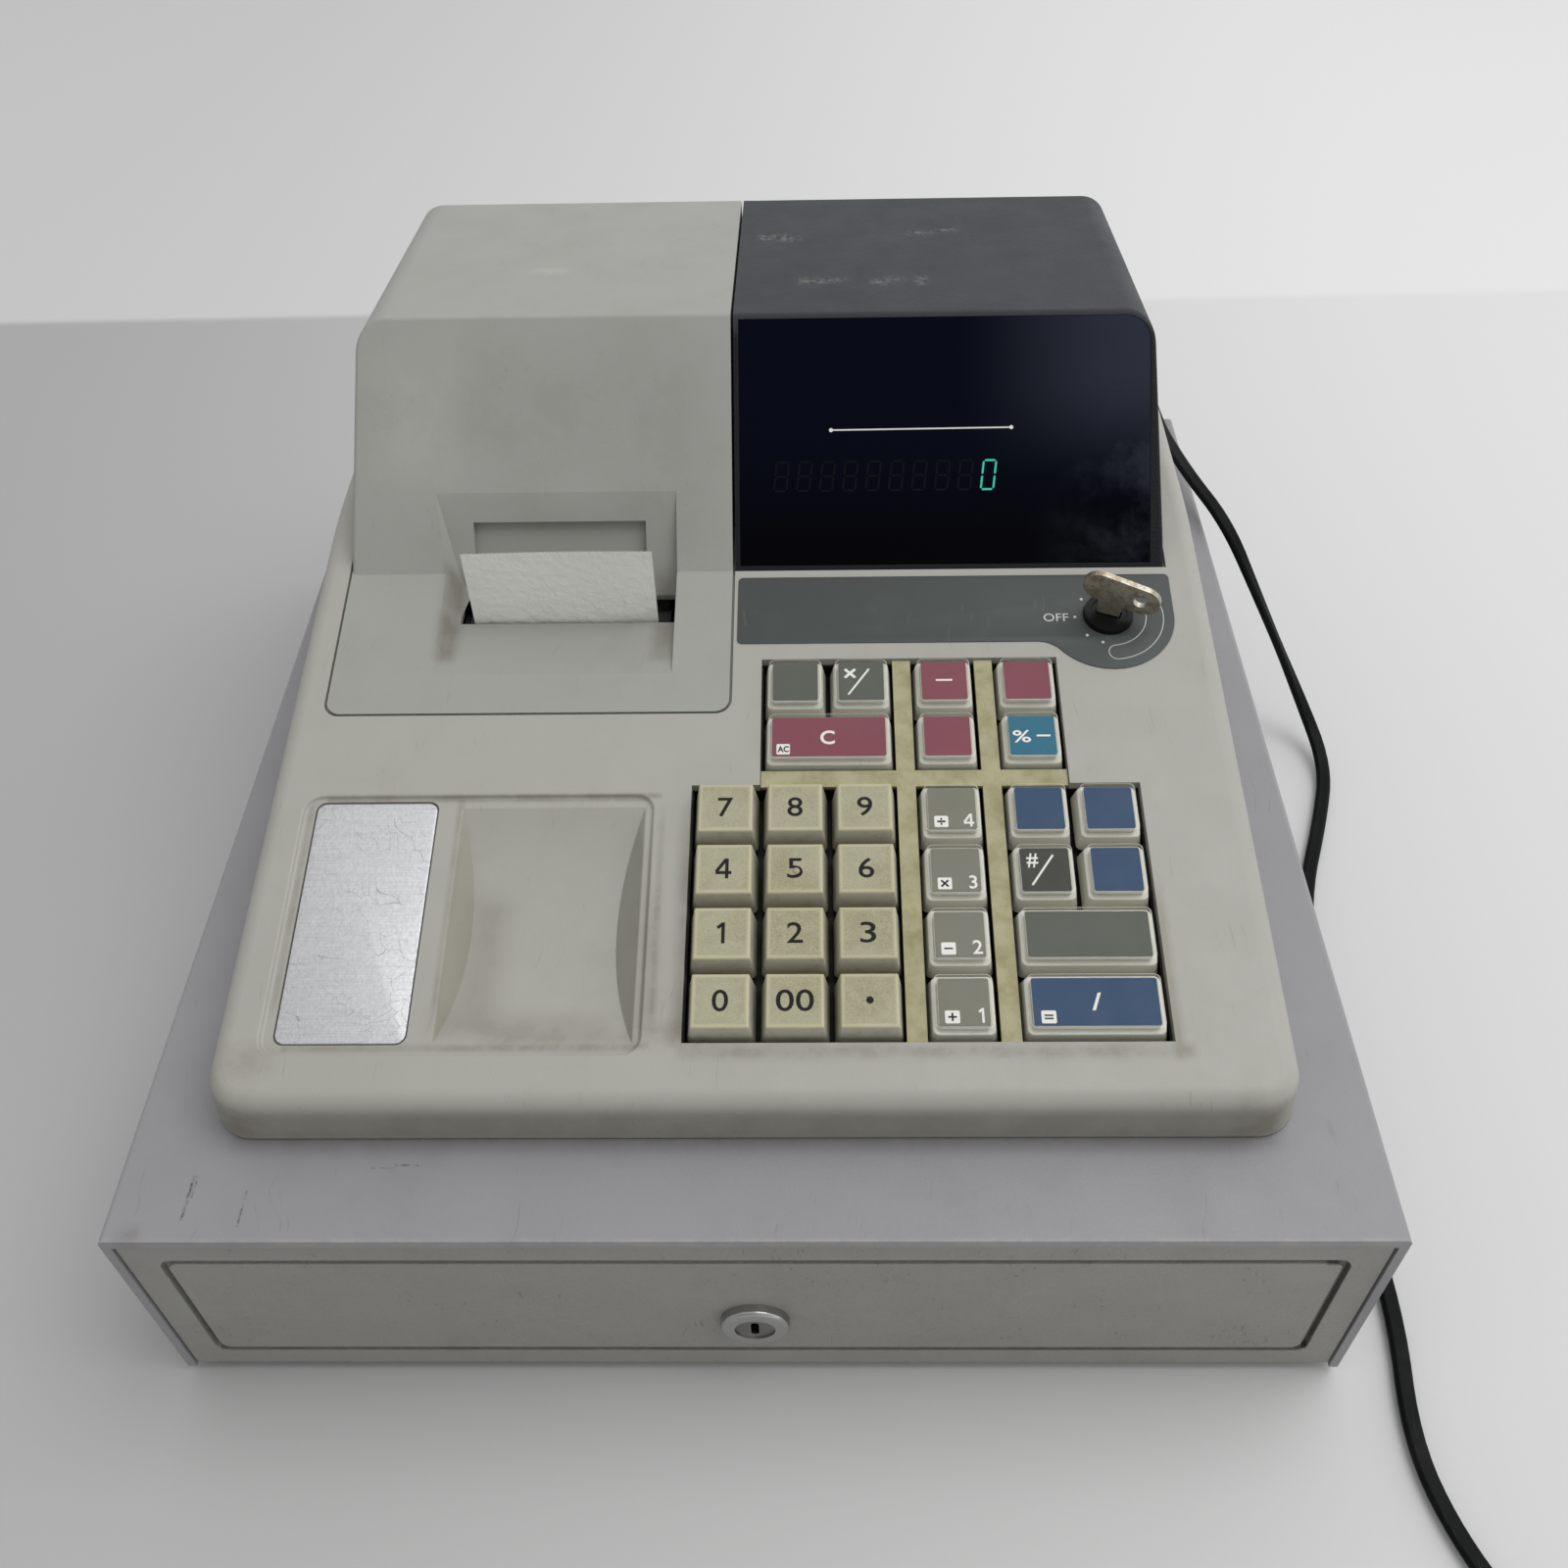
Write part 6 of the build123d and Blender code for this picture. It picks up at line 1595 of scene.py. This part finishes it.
# ------------------------------------------------------------------------------ name plate
@dataclass
class NamePlate:
    """The bare brushed plate in the tray. Sizes in millimetres.

    Attributes:
        left: Left side of its bed; right is the right one.
        front: Front of the bed, up the deck.
        length: Length of the bed.
        rise: Height of the bed above deck level.
        thickness: Thickness of the plate.
        play: How much smaller the plate is than its bed.
        lip: How much smaller its face is than its foot.
    """

    left: float = -126.0
    right: float = -91.0
    front: float = 16.0
    length: float = 73.9
    rise: float = -2.8
    thickness: float = 1.5
    play: float = 0.3
    lip: float = 0.5

    def material(self, paint: Paintbox) -> bpy.types.Material:
        """Aluminium brushed across, with curved scratches."""
        material, w, shader, place = paint.start("brushed_plate")
        fine = w.noise(w.stretched(place, (60.0, 4600.0, 4600.0)), 1.0, 3.0, 0.6)
        broad = w.noise(w.stretched(place, (1500.0, 900.0, 900.0)), 1.0, 3.0)
        curved = w.node("ShaderNodeTexVoronoi", {"feature": "DISTANCE_TO_EDGE"},
                        Vector=w.swirled(place, 30.0, 0.03), Scale=190.0).outputs[0]
        scored = w.times(w.ramp(curved, 0.0, 0.016, 1.0, 0.0),
                         w.ramp(w.noise(place, 90.0, 2.0), 0.46, 0.56))
        tone = w.plus(w.times(fine, 0.5), w.times(broad, 0.5))
        colour = w.mix(w.ramp(tone, 0.3, 0.7), srgb(186, 187, 189), srgb(216, 216, 218))
        w.feed(shader, Base_Color=w.mix(w.times(scored, 0.6), colour, srgb(110, 110, 110)),
               Roughness=w.ramp(tone, 0.3, 0.7, 0.48, 0.38), Metallic=0.55)
        w.relief(shader, 0.00003, w.minus(tone, scored))
        return material

    def build(self, paint: Paintbox) -> None:
        """Make the plate, flat with a softly turned edge."""
        place = DECK.matrix((self.left + self.right) / 2 * MM, (self.front + self.length / 2) * MM,
                            self.rise * MM)
        width, length = self.right - self.left - self.play, self.length - self.play
        edge = ((0.0, 0.0, 2.8), (self.thickness - 0.3, 0.0, 2.8), (self.thickness - 0.08, 0.25, 2.7),
                (self.thickness, 1.0, 2.55))
        form = Form()
        form.slabs(place @ Matrix.Scale(MM, 4), [
            (rise, rounded_rectangle(width - turned * self.lip, length - turned * self.lip, radius))
            for rise, turned, radius in edge])
        form.piece("name_plate_blank", self.material(paint), "register", "chrome")


# ------------------------------------------------------------------------------ display
@dataclass
class Display:
    """Smoked window, the lit digit behind it and the digits that are off. Sizes in millimetres.

    Attributes:
        digit_x: Middle of the lit digit, which is the last one, and digit_row its place up the hood.
        digit_height: Height of a digit, and digit_width its width.
        pitch: From one digit to the next.
        cells: Number of digits.
        pen: Width of a bar.
        gap: From the joint of two bars to a bar's tip.
        lean: How far a digit leans to the right, as a share of its height.
        line_ends: Ends of the printed line; line_width is its width and line_dot its dots' radius.
        segments: Both ends of each bar, in shares of half a digit.
    """

    digit_x: float = 72.3
    digit_row: float = 29.3
    digit_height: float = 9.6
    digit_width: float = 4.5
    pitch: float = 7.2
    cells: int = 10
    pen: float = 0.62
    gap: float = 0.22
    lean: float = 0.11
    line_ends: tuple[Point2, Point2] = ((23.1, 43.6), (79.4, 43.9))
    line_width: float = 0.42
    line_dot: float = 0.62
    segments: dict[str, tuple[Point2, Point2]] = field(default_factory=lambda: {
        "top": ((0, 1), (1, 1)), "middle": ((0, 0), (1, 0)), "bottom": ((0, -1), (1, -1)),
        "left_high": ((0, 0), (0, 1)), "left_low": ((0, -1), (0, 0)),
        "right_high": ((1, 0), (1, 1)), "right_low": ((1, -1), (1, 0))})

    def segment(self, name: str) -> list[Point2]:
        """Outline of one bar of a digit, pointed at both ends."""
        (x0, y0), (x1, y1) = self.segments[name]
        wide, tall = self.digit_width - self.pen, (self.digit_height - self.pen) / 2
        first, last = ((x0 - 0.5) * wide, y0 * tall), ((x1 - 0.5) * wide, y1 * tall)
        run = math.hypot(last[0] - first[0], last[1] - first[1])
        ux, uy = (last[0] - first[0]) / run, (last[1] - first[1]) / run
        half, inset = self.pen / 2, self.gap + self.pen / 2

        def corner(end: Point2, along: float, across: float) -> Point2:
            """A point beside one end of the bar."""
            return end[0] + ux * along - uy * across, end[1] + uy * along + ux * across
        points = [corner(first, self.gap, 0), corner(first, inset, half), corner(last, -inset, half),
                  corner(last, -self.gap, 0), corner(last, -inset, -half), corner(first, inset, -half)]
        return [(x + y * self.lean, y) for x, y in points]

    def window_material(self, paint: Paintbox) -> bpy.types.Material:
        """Smoked acrylic, nearly black, with fine wipe marks and a hazy right side."""
        material, w, shader, place = paint.start("smoked_window")
        x, _, z = w.node("ShaderNodeSeparateXYZ", Vector=place).outputs
        cloud = w.noise(place, 26.0, 6.0, 0.7)
        rubbed = w.times(w.ramp(x, 0.082, 0.122), w.ramp(cloud, 0.40, 0.66))
        high = w.times(w.ramp(x, 0.06, 0.12), w.ramp(z, 0.15, 0.178))
        haze = w.math("MAXIMUM", w.times(rubbed, 0.55), w.times(high, 0.75))
        colour = w.mix(w.ramp(z, 0.137, 0.165), srgb(2, 2, 6), srgb(4, 8, 22))
        wipes = w.noise(w.stretched(place, (40.0, 900.0, 500.0), 0.35), 1.0, 2.0)
        rough = w.plus(w.ramp(wipes, 0.3, 0.8, 0.05, 0.14), w.times(haze, 0.3))
        w.feed(shader, Base_Color=w.mix(haze, colour, srgb(52, 56, 68)), Roughness=rough,
               Specular_IOR_Level=0.045)
        return material

    def glow(self, paint: Paintbox) -> bpy.types.Material:
        """The blue-green light of the lit digit, finely grained."""
        material, w, shader, place = paint.start("digit_glow")
        grain = w.noise(place, 3000.0, 2.0)
        w.feed(shader, Emission_Color=w.mix(grain, srgb(20, 150, 130), srgb(60, 225, 196)),
               Emission_Strength=0.85, Base_Color=w.mix(grain, srgb(10, 50, 46), srgb(12, 66, 60)),
               Roughness=w.ramp(grain, 0, 1, 0.3, 0.4))
        return material

    def cell_tree(self, material: bpy.types.Material) -> bpy.types.NodeTree:
        """Geometry Nodes that set a row of like digits along a line.

        Args:
            material: What the row is made of.

        Returns:
            The tree, with the inputs Cells and Pitch.
        """
        group = NodeGroup("digit_row", [
            ("Geometry", "Geometry", None), ("Cells", "Int", None), ("Pitch", "Float", None),
        ], [("Geometry", "Geometry")], "GeometryNodeTree")
        w = Wires(group.tree)
        offset = w.node("ShaderNodeCombineXYZ", X=group.input("Pitch"))
        line = w.node("GeometryNodeMeshLine", Count=group.input("Cells"), Offset=offset.outputs[0])
        spread = w.node("GeometryNodeInstanceOnPoints", Points=line.outputs[0],
                        Instance=group.input("Geometry"))
        return settled(group, spread, material)

    def build(self, frame: dict, paint: Paintbox) -> None:
        """Dress the window and make the digits and the line over them."""
        dress(frame["nodes"]["display_window"], self.window_material(paint))
        face = HOOD.matrix() @ Matrix.Scale(MM, 4)
        lit = Form()
        at = face @ Matrix.Translation((self.digit_x, self.digit_row, 0.01))
        for name in self.segments:
            if name != "middle":
                lit.plate(at, self.segment(name), 0.05)
        lit.piece("display_digit_lit", self.glow(paint), "register", "tube")
        off = Finish("digit_unlit", srgb(6, 9, 17), roughness=0.3, specular=0.1, mottle=0.1, grime=0.0,
                     grain=0.1, scratches=0.0, bump=0.00001)
        cell = bpy.data.meshes.new("digit_cell")
        shape = Form()
        for name in self.segments:
            shape.plate(Matrix.Scale(MM, 4), self.segment(name), 0.03)
        shape.mesh.to_mesh(cell)
        shape.mesh.free()
        row = run_tree("digit_row", cell, self.cell_tree(paint.get(off)),
                       {"Cells": self.cells - 1, "Pitch": self.pitch * MM})
        dim = Form()
        first = self.digit_x - (self.cells - 1) * self.pitch
        dim.add_mesh(row, HOOD.matrix(first * MM, self.digit_row * MM, 0.00001))
        dim.piece("display_digits_unlit", paint.get(off), "register", "tube")
        mark = Form()
        line = face @ Matrix.Translation((0, 0, 0.01))
        mark.add_mesh(sheet_mesh([stroke(self.line_ends, self.line_width)], 0.04), line)
        for x, y in self.line_ends:
            mark.plate(line @ Matrix.Translation((x, y, 0.0)), circle(self.line_dot, 20), 0.05)
        mark.piece("display_line_print", paint.get(PRINT_WHITE), "register", "cream_key")


def settled(group: NodeGroup, spread: bpy.types.Node, material: bpy.types.Material) -> bpy.types.NodeTree:
    """End a Geometry Nodes group: make its instances real and give them their material.

    Args:
        group: The group.
        spread: The node that sets the instances.
        material: What they are made of.

    Returns:
        The group's tree.
    """
    w = Wires(group.tree)
    real = w.node("GeometryNodeRealizeInstances", i0=spread.outputs[0])
    paint = w.node("GeometryNodeSetMaterial", Geometry=real.outputs[0], Material=material)
    group.output("Geometry", paint.outputs[0])
    return group.tree


def run_tree(name: str, mesh: bpy.types.Mesh, tree: bpy.types.NodeTree,
             values: dict[str, object]) -> bpy.types.Mesh:
    """Run a Geometry Nodes tree on a mesh and give its plain result.

    Args:
        name: Name of the result.
        mesh: What the tree starts from; it is used up.
        tree: The tree.
        values: Values of its inputs by name.

    Returns:
        The finished mesh.
    """
    holder = put(name, mesh)
    modifier = holder.modifiers.new("made", "NODES")
    modifier.node_group = tree
    sockets = {item.name: item.identifier for item in tree.interface.items_tree
               if item.item_type == "SOCKET" and item.in_out == "INPUT"}
    for label, value in values.items():
        modifier[sockets[label]] = value
    made = baked(holder)
    made.name = name
    return made


# ------------------------------------------------------------------------------ receipt
@dataclass
class Receipt:
    """The torn strip of paper that stands in the outlet, bowed, with a serrated edge. In millimetres.

    Attributes:
        left: Left edge; right is the right one.
        thickness: Thickness of the paper, made stout enough to show.
        tooth: Width of half a tooth of the torn edge, and tooth_height its height.
        top: Height of the torn edge.
        plane: Depth of the strip's upright part.
        platen_height: Height of the platen's axis.
        wrap: Radius of the strip round the platen.
        roll_depth: Depth at which the strip leaves the roll.
        slot_height: Height of the outlet.
        steps: Rows of the upright part; the quarter turn round the platen has half as many.
        lean: How far the free end leans back.
    """

    left: float = -89.5
    right: float = -31.5
    thickness: float = 0.12
    tooth: float = 0.85
    tooth_height: float = 0.6
    top: float = 150.7
    plane: float = 187.6
    platen_height: float = 110.0
    wrap: float = 8.175
    roll_depth: float = 300.0
    slot_height: float = 124.5
    steps: int = 16
    lean: float = 0.5

    def path(self) -> list[tuple[float, float]]:
        """The strip's side view from its torn edge to the roll, as depth and height."""
        points = [(self.plane, self.top - (self.top - self.platen_height) * n / self.steps)
                  for n in range(self.steps + 1)]
        for n in range(1, self.steps // 2 + 1):
            angle = math.pi * (1 + n / self.steps)
            points.append((self.plane + self.wrap + self.wrap * math.cos(angle),
                           self.platen_height + self.wrap * math.sin(angle)))
        points.append((self.roll_depth, self.platen_height - self.wrap))
        return points

    def bow(self, across: float, height: float) -> float:
        """How far the free end leans back, more in its middle and to the right."""
        above = max(0.0, (height - self.slot_height) / (self.top - self.slot_height))
        return self.lean * (above * math.sin(math.pi * across) + above ** 2 * (across - 0.5))

    def build(self, paint: Paintbox) -> None:
        """Make the strip in place of the plain one."""
        columns = round((self.right - self.left) / self.tooth) * 2
        path = self.path()
        form = Form()
        sides = []
        for side in (-0.5, 0.5):
            grid = []
            for level, (depth, height) in enumerate(path):
                d0, h0 = path[max(level - 1, 0)]
                d1, h1 = path[min(level + 1, len(path) - 1)]
                run = math.hypot(d1 - d0, h1 - h0)
                off = (side * self.thickness * (h0 - h1) / run, side * self.thickness * (d1 - d0) / run)
                row = []
                for n in range(columns + 1):
                    x = self.left + (self.right - self.left) * n / columns
                    y = depth + self.bow(n / columns, height) + off[0]
                    z = height - (self.tooth_height * (n % 2) if level == 0 else 0.0) + off[1]
                    row.append(form.mesh.verts.new((x * MM, CABINET_FRONT + y * MM, z * MM)))
                grid.append(row)
            sides.append(grid)
        front, back = sides
        last = len(path) - 1
        faces = []
        for level in range(last):
            (f0, f1), (b0, b1) = front[level:level + 2], back[level:level + 2]
            for n in range(columns):
                faces += [(f0[n], f1[n], f1[n + 1], f0[n + 1]), (b0[n], b0[n + 1], b1[n + 1], b1[n])]
            faces += [(f0[n], f1[n], b1[n], b0[n]) for n in (0, columns)]
        for level in (0, last):
            f, b = front[level], back[level]
            faces += [(f[n], f[n + 1], b[n + 1], b[n]) for n in range(columns)]
        for corners in faces:
            form.mesh.faces.new(corners)
        made = form.piece("receipt_strip", paint.get(STRIP), "register", "paper", 60)
        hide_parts("receipt_paper")


# ------------------------------------------------------------------------------ screws
@dataclass(frozen=True)
class Screw:
    """One screw: its place and the way its head faces."""

    place: tuple[float, float, float]
    facing: tuple[float, float, float]


@dataclass
class Fasteners:
    """Cross-head screws, set by Geometry Nodes on small marker faces.

    Attributes:
        head: Width of a head.
        height: Its height.
        recess: Length of each arm of the cross.
        slot_width: Width of the arms.
        marker: Half the size of a marker face.
    """

    head: float = 0.0062
    height: float = 0.0012
    recess: float = 0.0034
    slot_width: float = 0.0008
    marker: float = 0.001

    def tree(self, material: bpy.types.Material) -> bpy.types.NodeTree:
        """The tree that puts a screw head on each face.

        Args:
            material: What the screws are made of.

        Returns:
            The tree, with the inputs Head, Height, Recess and Slot Width.
        """
        group = NodeGroup("screw_heads", [
            ("Geometry", "Geometry", None),
            *((label, "Float", None) for label in ("Head", "Height", "Recess", "Slot Width")),
        ], [("Geometry", "Geometry")], "GeometryNodeTree")
        w = Wires(group.tree)
        head, height = group.input("Head"), group.input("Height")
        dome = w.node("GeometryNodeMeshCone", Vertices=28, Radius_Top=w.times(head, 0.36),
                      Radius_Bottom=w.times(head, 0.5), Depth=height)
        cut = w.node("GeometryNodeMeshBoolean", {"operation": "DIFFERENCE", "solver": "EXACT"},
                     i0=dome.outputs["Mesh"])
        lift = w.node("ShaderNodeCombineXYZ", Z=w.times(height, 0.75)).outputs[0]
        arm = {"Z": height}
        for long_way, short_way in ("XY", "YX"):
            arm |= {long_way: group.input("Recess"), short_way: group.input("Slot Width")}
            bar = w.node("GeometryNodeMeshCube", Size=w.node("ShaderNodeCombineXYZ", **arm).outputs[0])
            w.feed(cut, i1=w.node("GeometryNodeTransform", Geometry=bar.outputs["Mesh"],
                                  Translation=lift).outputs[0])
        kept = w.node("GeometryNodeCaptureAttribute", {"domain": "FACE"})
        kept.capture_items.new("VECTOR", "facing")
        w.feed(kept, Geometry=group.input("Geometry"), i1=w.node("GeometryNodeInputNormal").outputs[0])
        points = w.node("GeometryNodeMeshToPoints", {"mode": "FACES"}, Mesh=kept.outputs["Geometry"])
        align = w.node("FunctionNodeAlignRotationToVector", {"axis": "Z"}, Vector=kept.outputs[1])
        turn = w.node("FunctionNodeRandomValue", {"data_type": "FLOAT"}, Max=1.5, Seed=11)
        spin = w.node("FunctionNodeAxisAngleToRotation", Axis=(0, 0, 1), Angle=turn.outputs[1])
        both = w.node("FunctionNodeRotateRotation", {"rotation_space": "LOCAL"},
                      i0=align.outputs[0], i1=spin.outputs[0])
        spread = w.node("GeometryNodeInstanceOnPoints", Points=points.outputs[0], Instance=cut.outputs[0],
                        Rotation=both.outputs[0])
        return settled(group, spread, material)

    def build(self, name: str, body: str, screws: Sequence[Screw], paint: Paintbox) -> None:
        """Set a group of screws that ride on one body.

        Args:
            name: Name of the piece.
            body: Its body.
            screws: Where they are.
            paint: Where the material comes from.
        """
        marks = bpy.data.meshes.new(name)
        shape = bmesh.new()
        for screw in screws:
            facing = Vector(screw.facing).normalized()
            side = facing.orthogonal().normalized()
            over = facing.cross(side)
            spot = Vector(screw.place)
            shape.faces.new([shape.verts.new(spot + side * a * self.marker + over * b * self.marker)
                             for a, b in ((-1, -1), (1, -1), (1, 1), (-1, 1))])
        shape.to_mesh(marks)
        shape.free()
        material = paint.get(SCREW_ZINC)
        sizes = {"Head": self.head, "Height": self.height, "Recess": self.recess,
                 "Slot Width": self.slot_width}
        form = Form()
        form.add_mesh(run_tree(name, marks, self.tree(material), sizes), Matrix.Identity(4))
        form.piece(name, material, body, "zinc_steel")


def set_screws(paint: Paintbox) -> None:
    """Screws of the cabinet's sides and back."""
    side_rows = [Screw((sign * 0.1650, y, 0.012), (sign, 0, 0)) for sign in (-1, 1) for y in (-0.12, 0.13)]
    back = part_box("cabinet_shell")[1].y
    back_rows = [Screw((x, back, z), (0, 1, 0)) for x in (-0.14, 0.14) for z in (0.014, 0.066)]
    Fasteners().build("cabinet_screws", "register", side_rows + back_rows, paint)


@dataclass(frozen=True)
class CaseCorners:
    """Skins that close the body's two round front corners. Sizes in millimetres.

    Attributes:
        radius: Radius of the skin, just inside the corner's own.
        corner: Radius of the case's corner.
        middle_depth: Depth of the corner's middle.
        flare: How much wider the body gets for each millimetre down.
        half_width: Half the body's width at shoulder height.
        shoulder: The shoulder's height.
        levels: Height of each ring of the skin, and what is added to its radius there.
        thickness: Thickness of the skin.
        first_angle: Where the skin starts, in degrees.
        step: Angle from one point to the next.
        steps: Number of steps round the corner.
    """

    radius: float = 10.97
    corner: float = 11.0
    middle_depth: float = 40.0
    flare: float = 0.084
    half_width: float = 138.5
    shoulder: float = 137.975
    levels: tuple[tuple[float, float], ...] = (
        (81.3, 0.0), (88.0, 0.0), (94.2, 0.0), (95.0, -0.08), (95.8, -0.3))
    thickness: float = 0.8
    first_angle: float = 33.0
    step: float = 3.0
    steps: int = 8

    def ring(self, side: int, height: float, added: float) -> list[Point2]:
        """Outline of one skin at a height: the outer arc and the inner one back.

        Args:
            side: -1 for the left skin, 1 for the right one.
            height: The height.
            added: What is added to the radius there.

        Returns:
            The outline.
        """
        centre = side * (self.half_width + self.flare * (self.shoulder - height) - self.corner)
        outer = [(self.radius + added, n) for n in range(self.steps + 1)]
        inner = [(self.radius - self.thickness + added, n) for n in range(self.steps, -1, -1)]
        ring = []
        for radius, n in outer + inner:
            angle = math.radians(self.first_angle + self.step * n)
            ring.append((centre + side * radius * math.cos(angle), -radius * math.sin(angle)))
        return ring if side < 0 else ring[::-1]

    def build(self, paint: Paintbox) -> None:
        """Make both skins."""
        for side, label in ((-1, "left"), (1, "right")):
            form = Form()
            levels = [(height, self.ring(side, height, added)) for height, added in self.levels]
            place = Matrix.Translation((0, CABINET_FRONT + self.middle_depth * MM, 0)) @ Matrix.Scale(MM, 4)
            form.slabs(place, levels)
            form.piece(f"case_corner_{label}", paint.get(BODY), "register", "case_plastic")


def main() -> None:
    """Load the frame, dress it and set the stage."""
    logging.basicConfig(level=logging.INFO, format="%(name)s: %(message)s")
    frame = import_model()
    Studio().build()
    LOG.info("stage set")
    paint = Paintbox()
    PowerCord().build(paint)
    LOG.info("cord laid")
    for name, finish in NODE_FINISHES.items():
        dress(frame["nodes"][name], paint.get(finish))
    dress(frame["nodes"]["mode_key"], rotor_material(paint))
    Keyboard(paint=paint).build(frame)
    LOG.info("keyboard made")
    Display().build(frame, paint)
    LOG.info("display made")
    ModeSheet().build(paint)
    NamePlate().build(paint)
    Receipt().build(paint)
    LOG.info("sheet, plate and receipt made")
    set_screws(paint)
    CaseCorners().build(paint)
    LOG.info("screws and corners set")


if __name__ == "__main__":
    main()
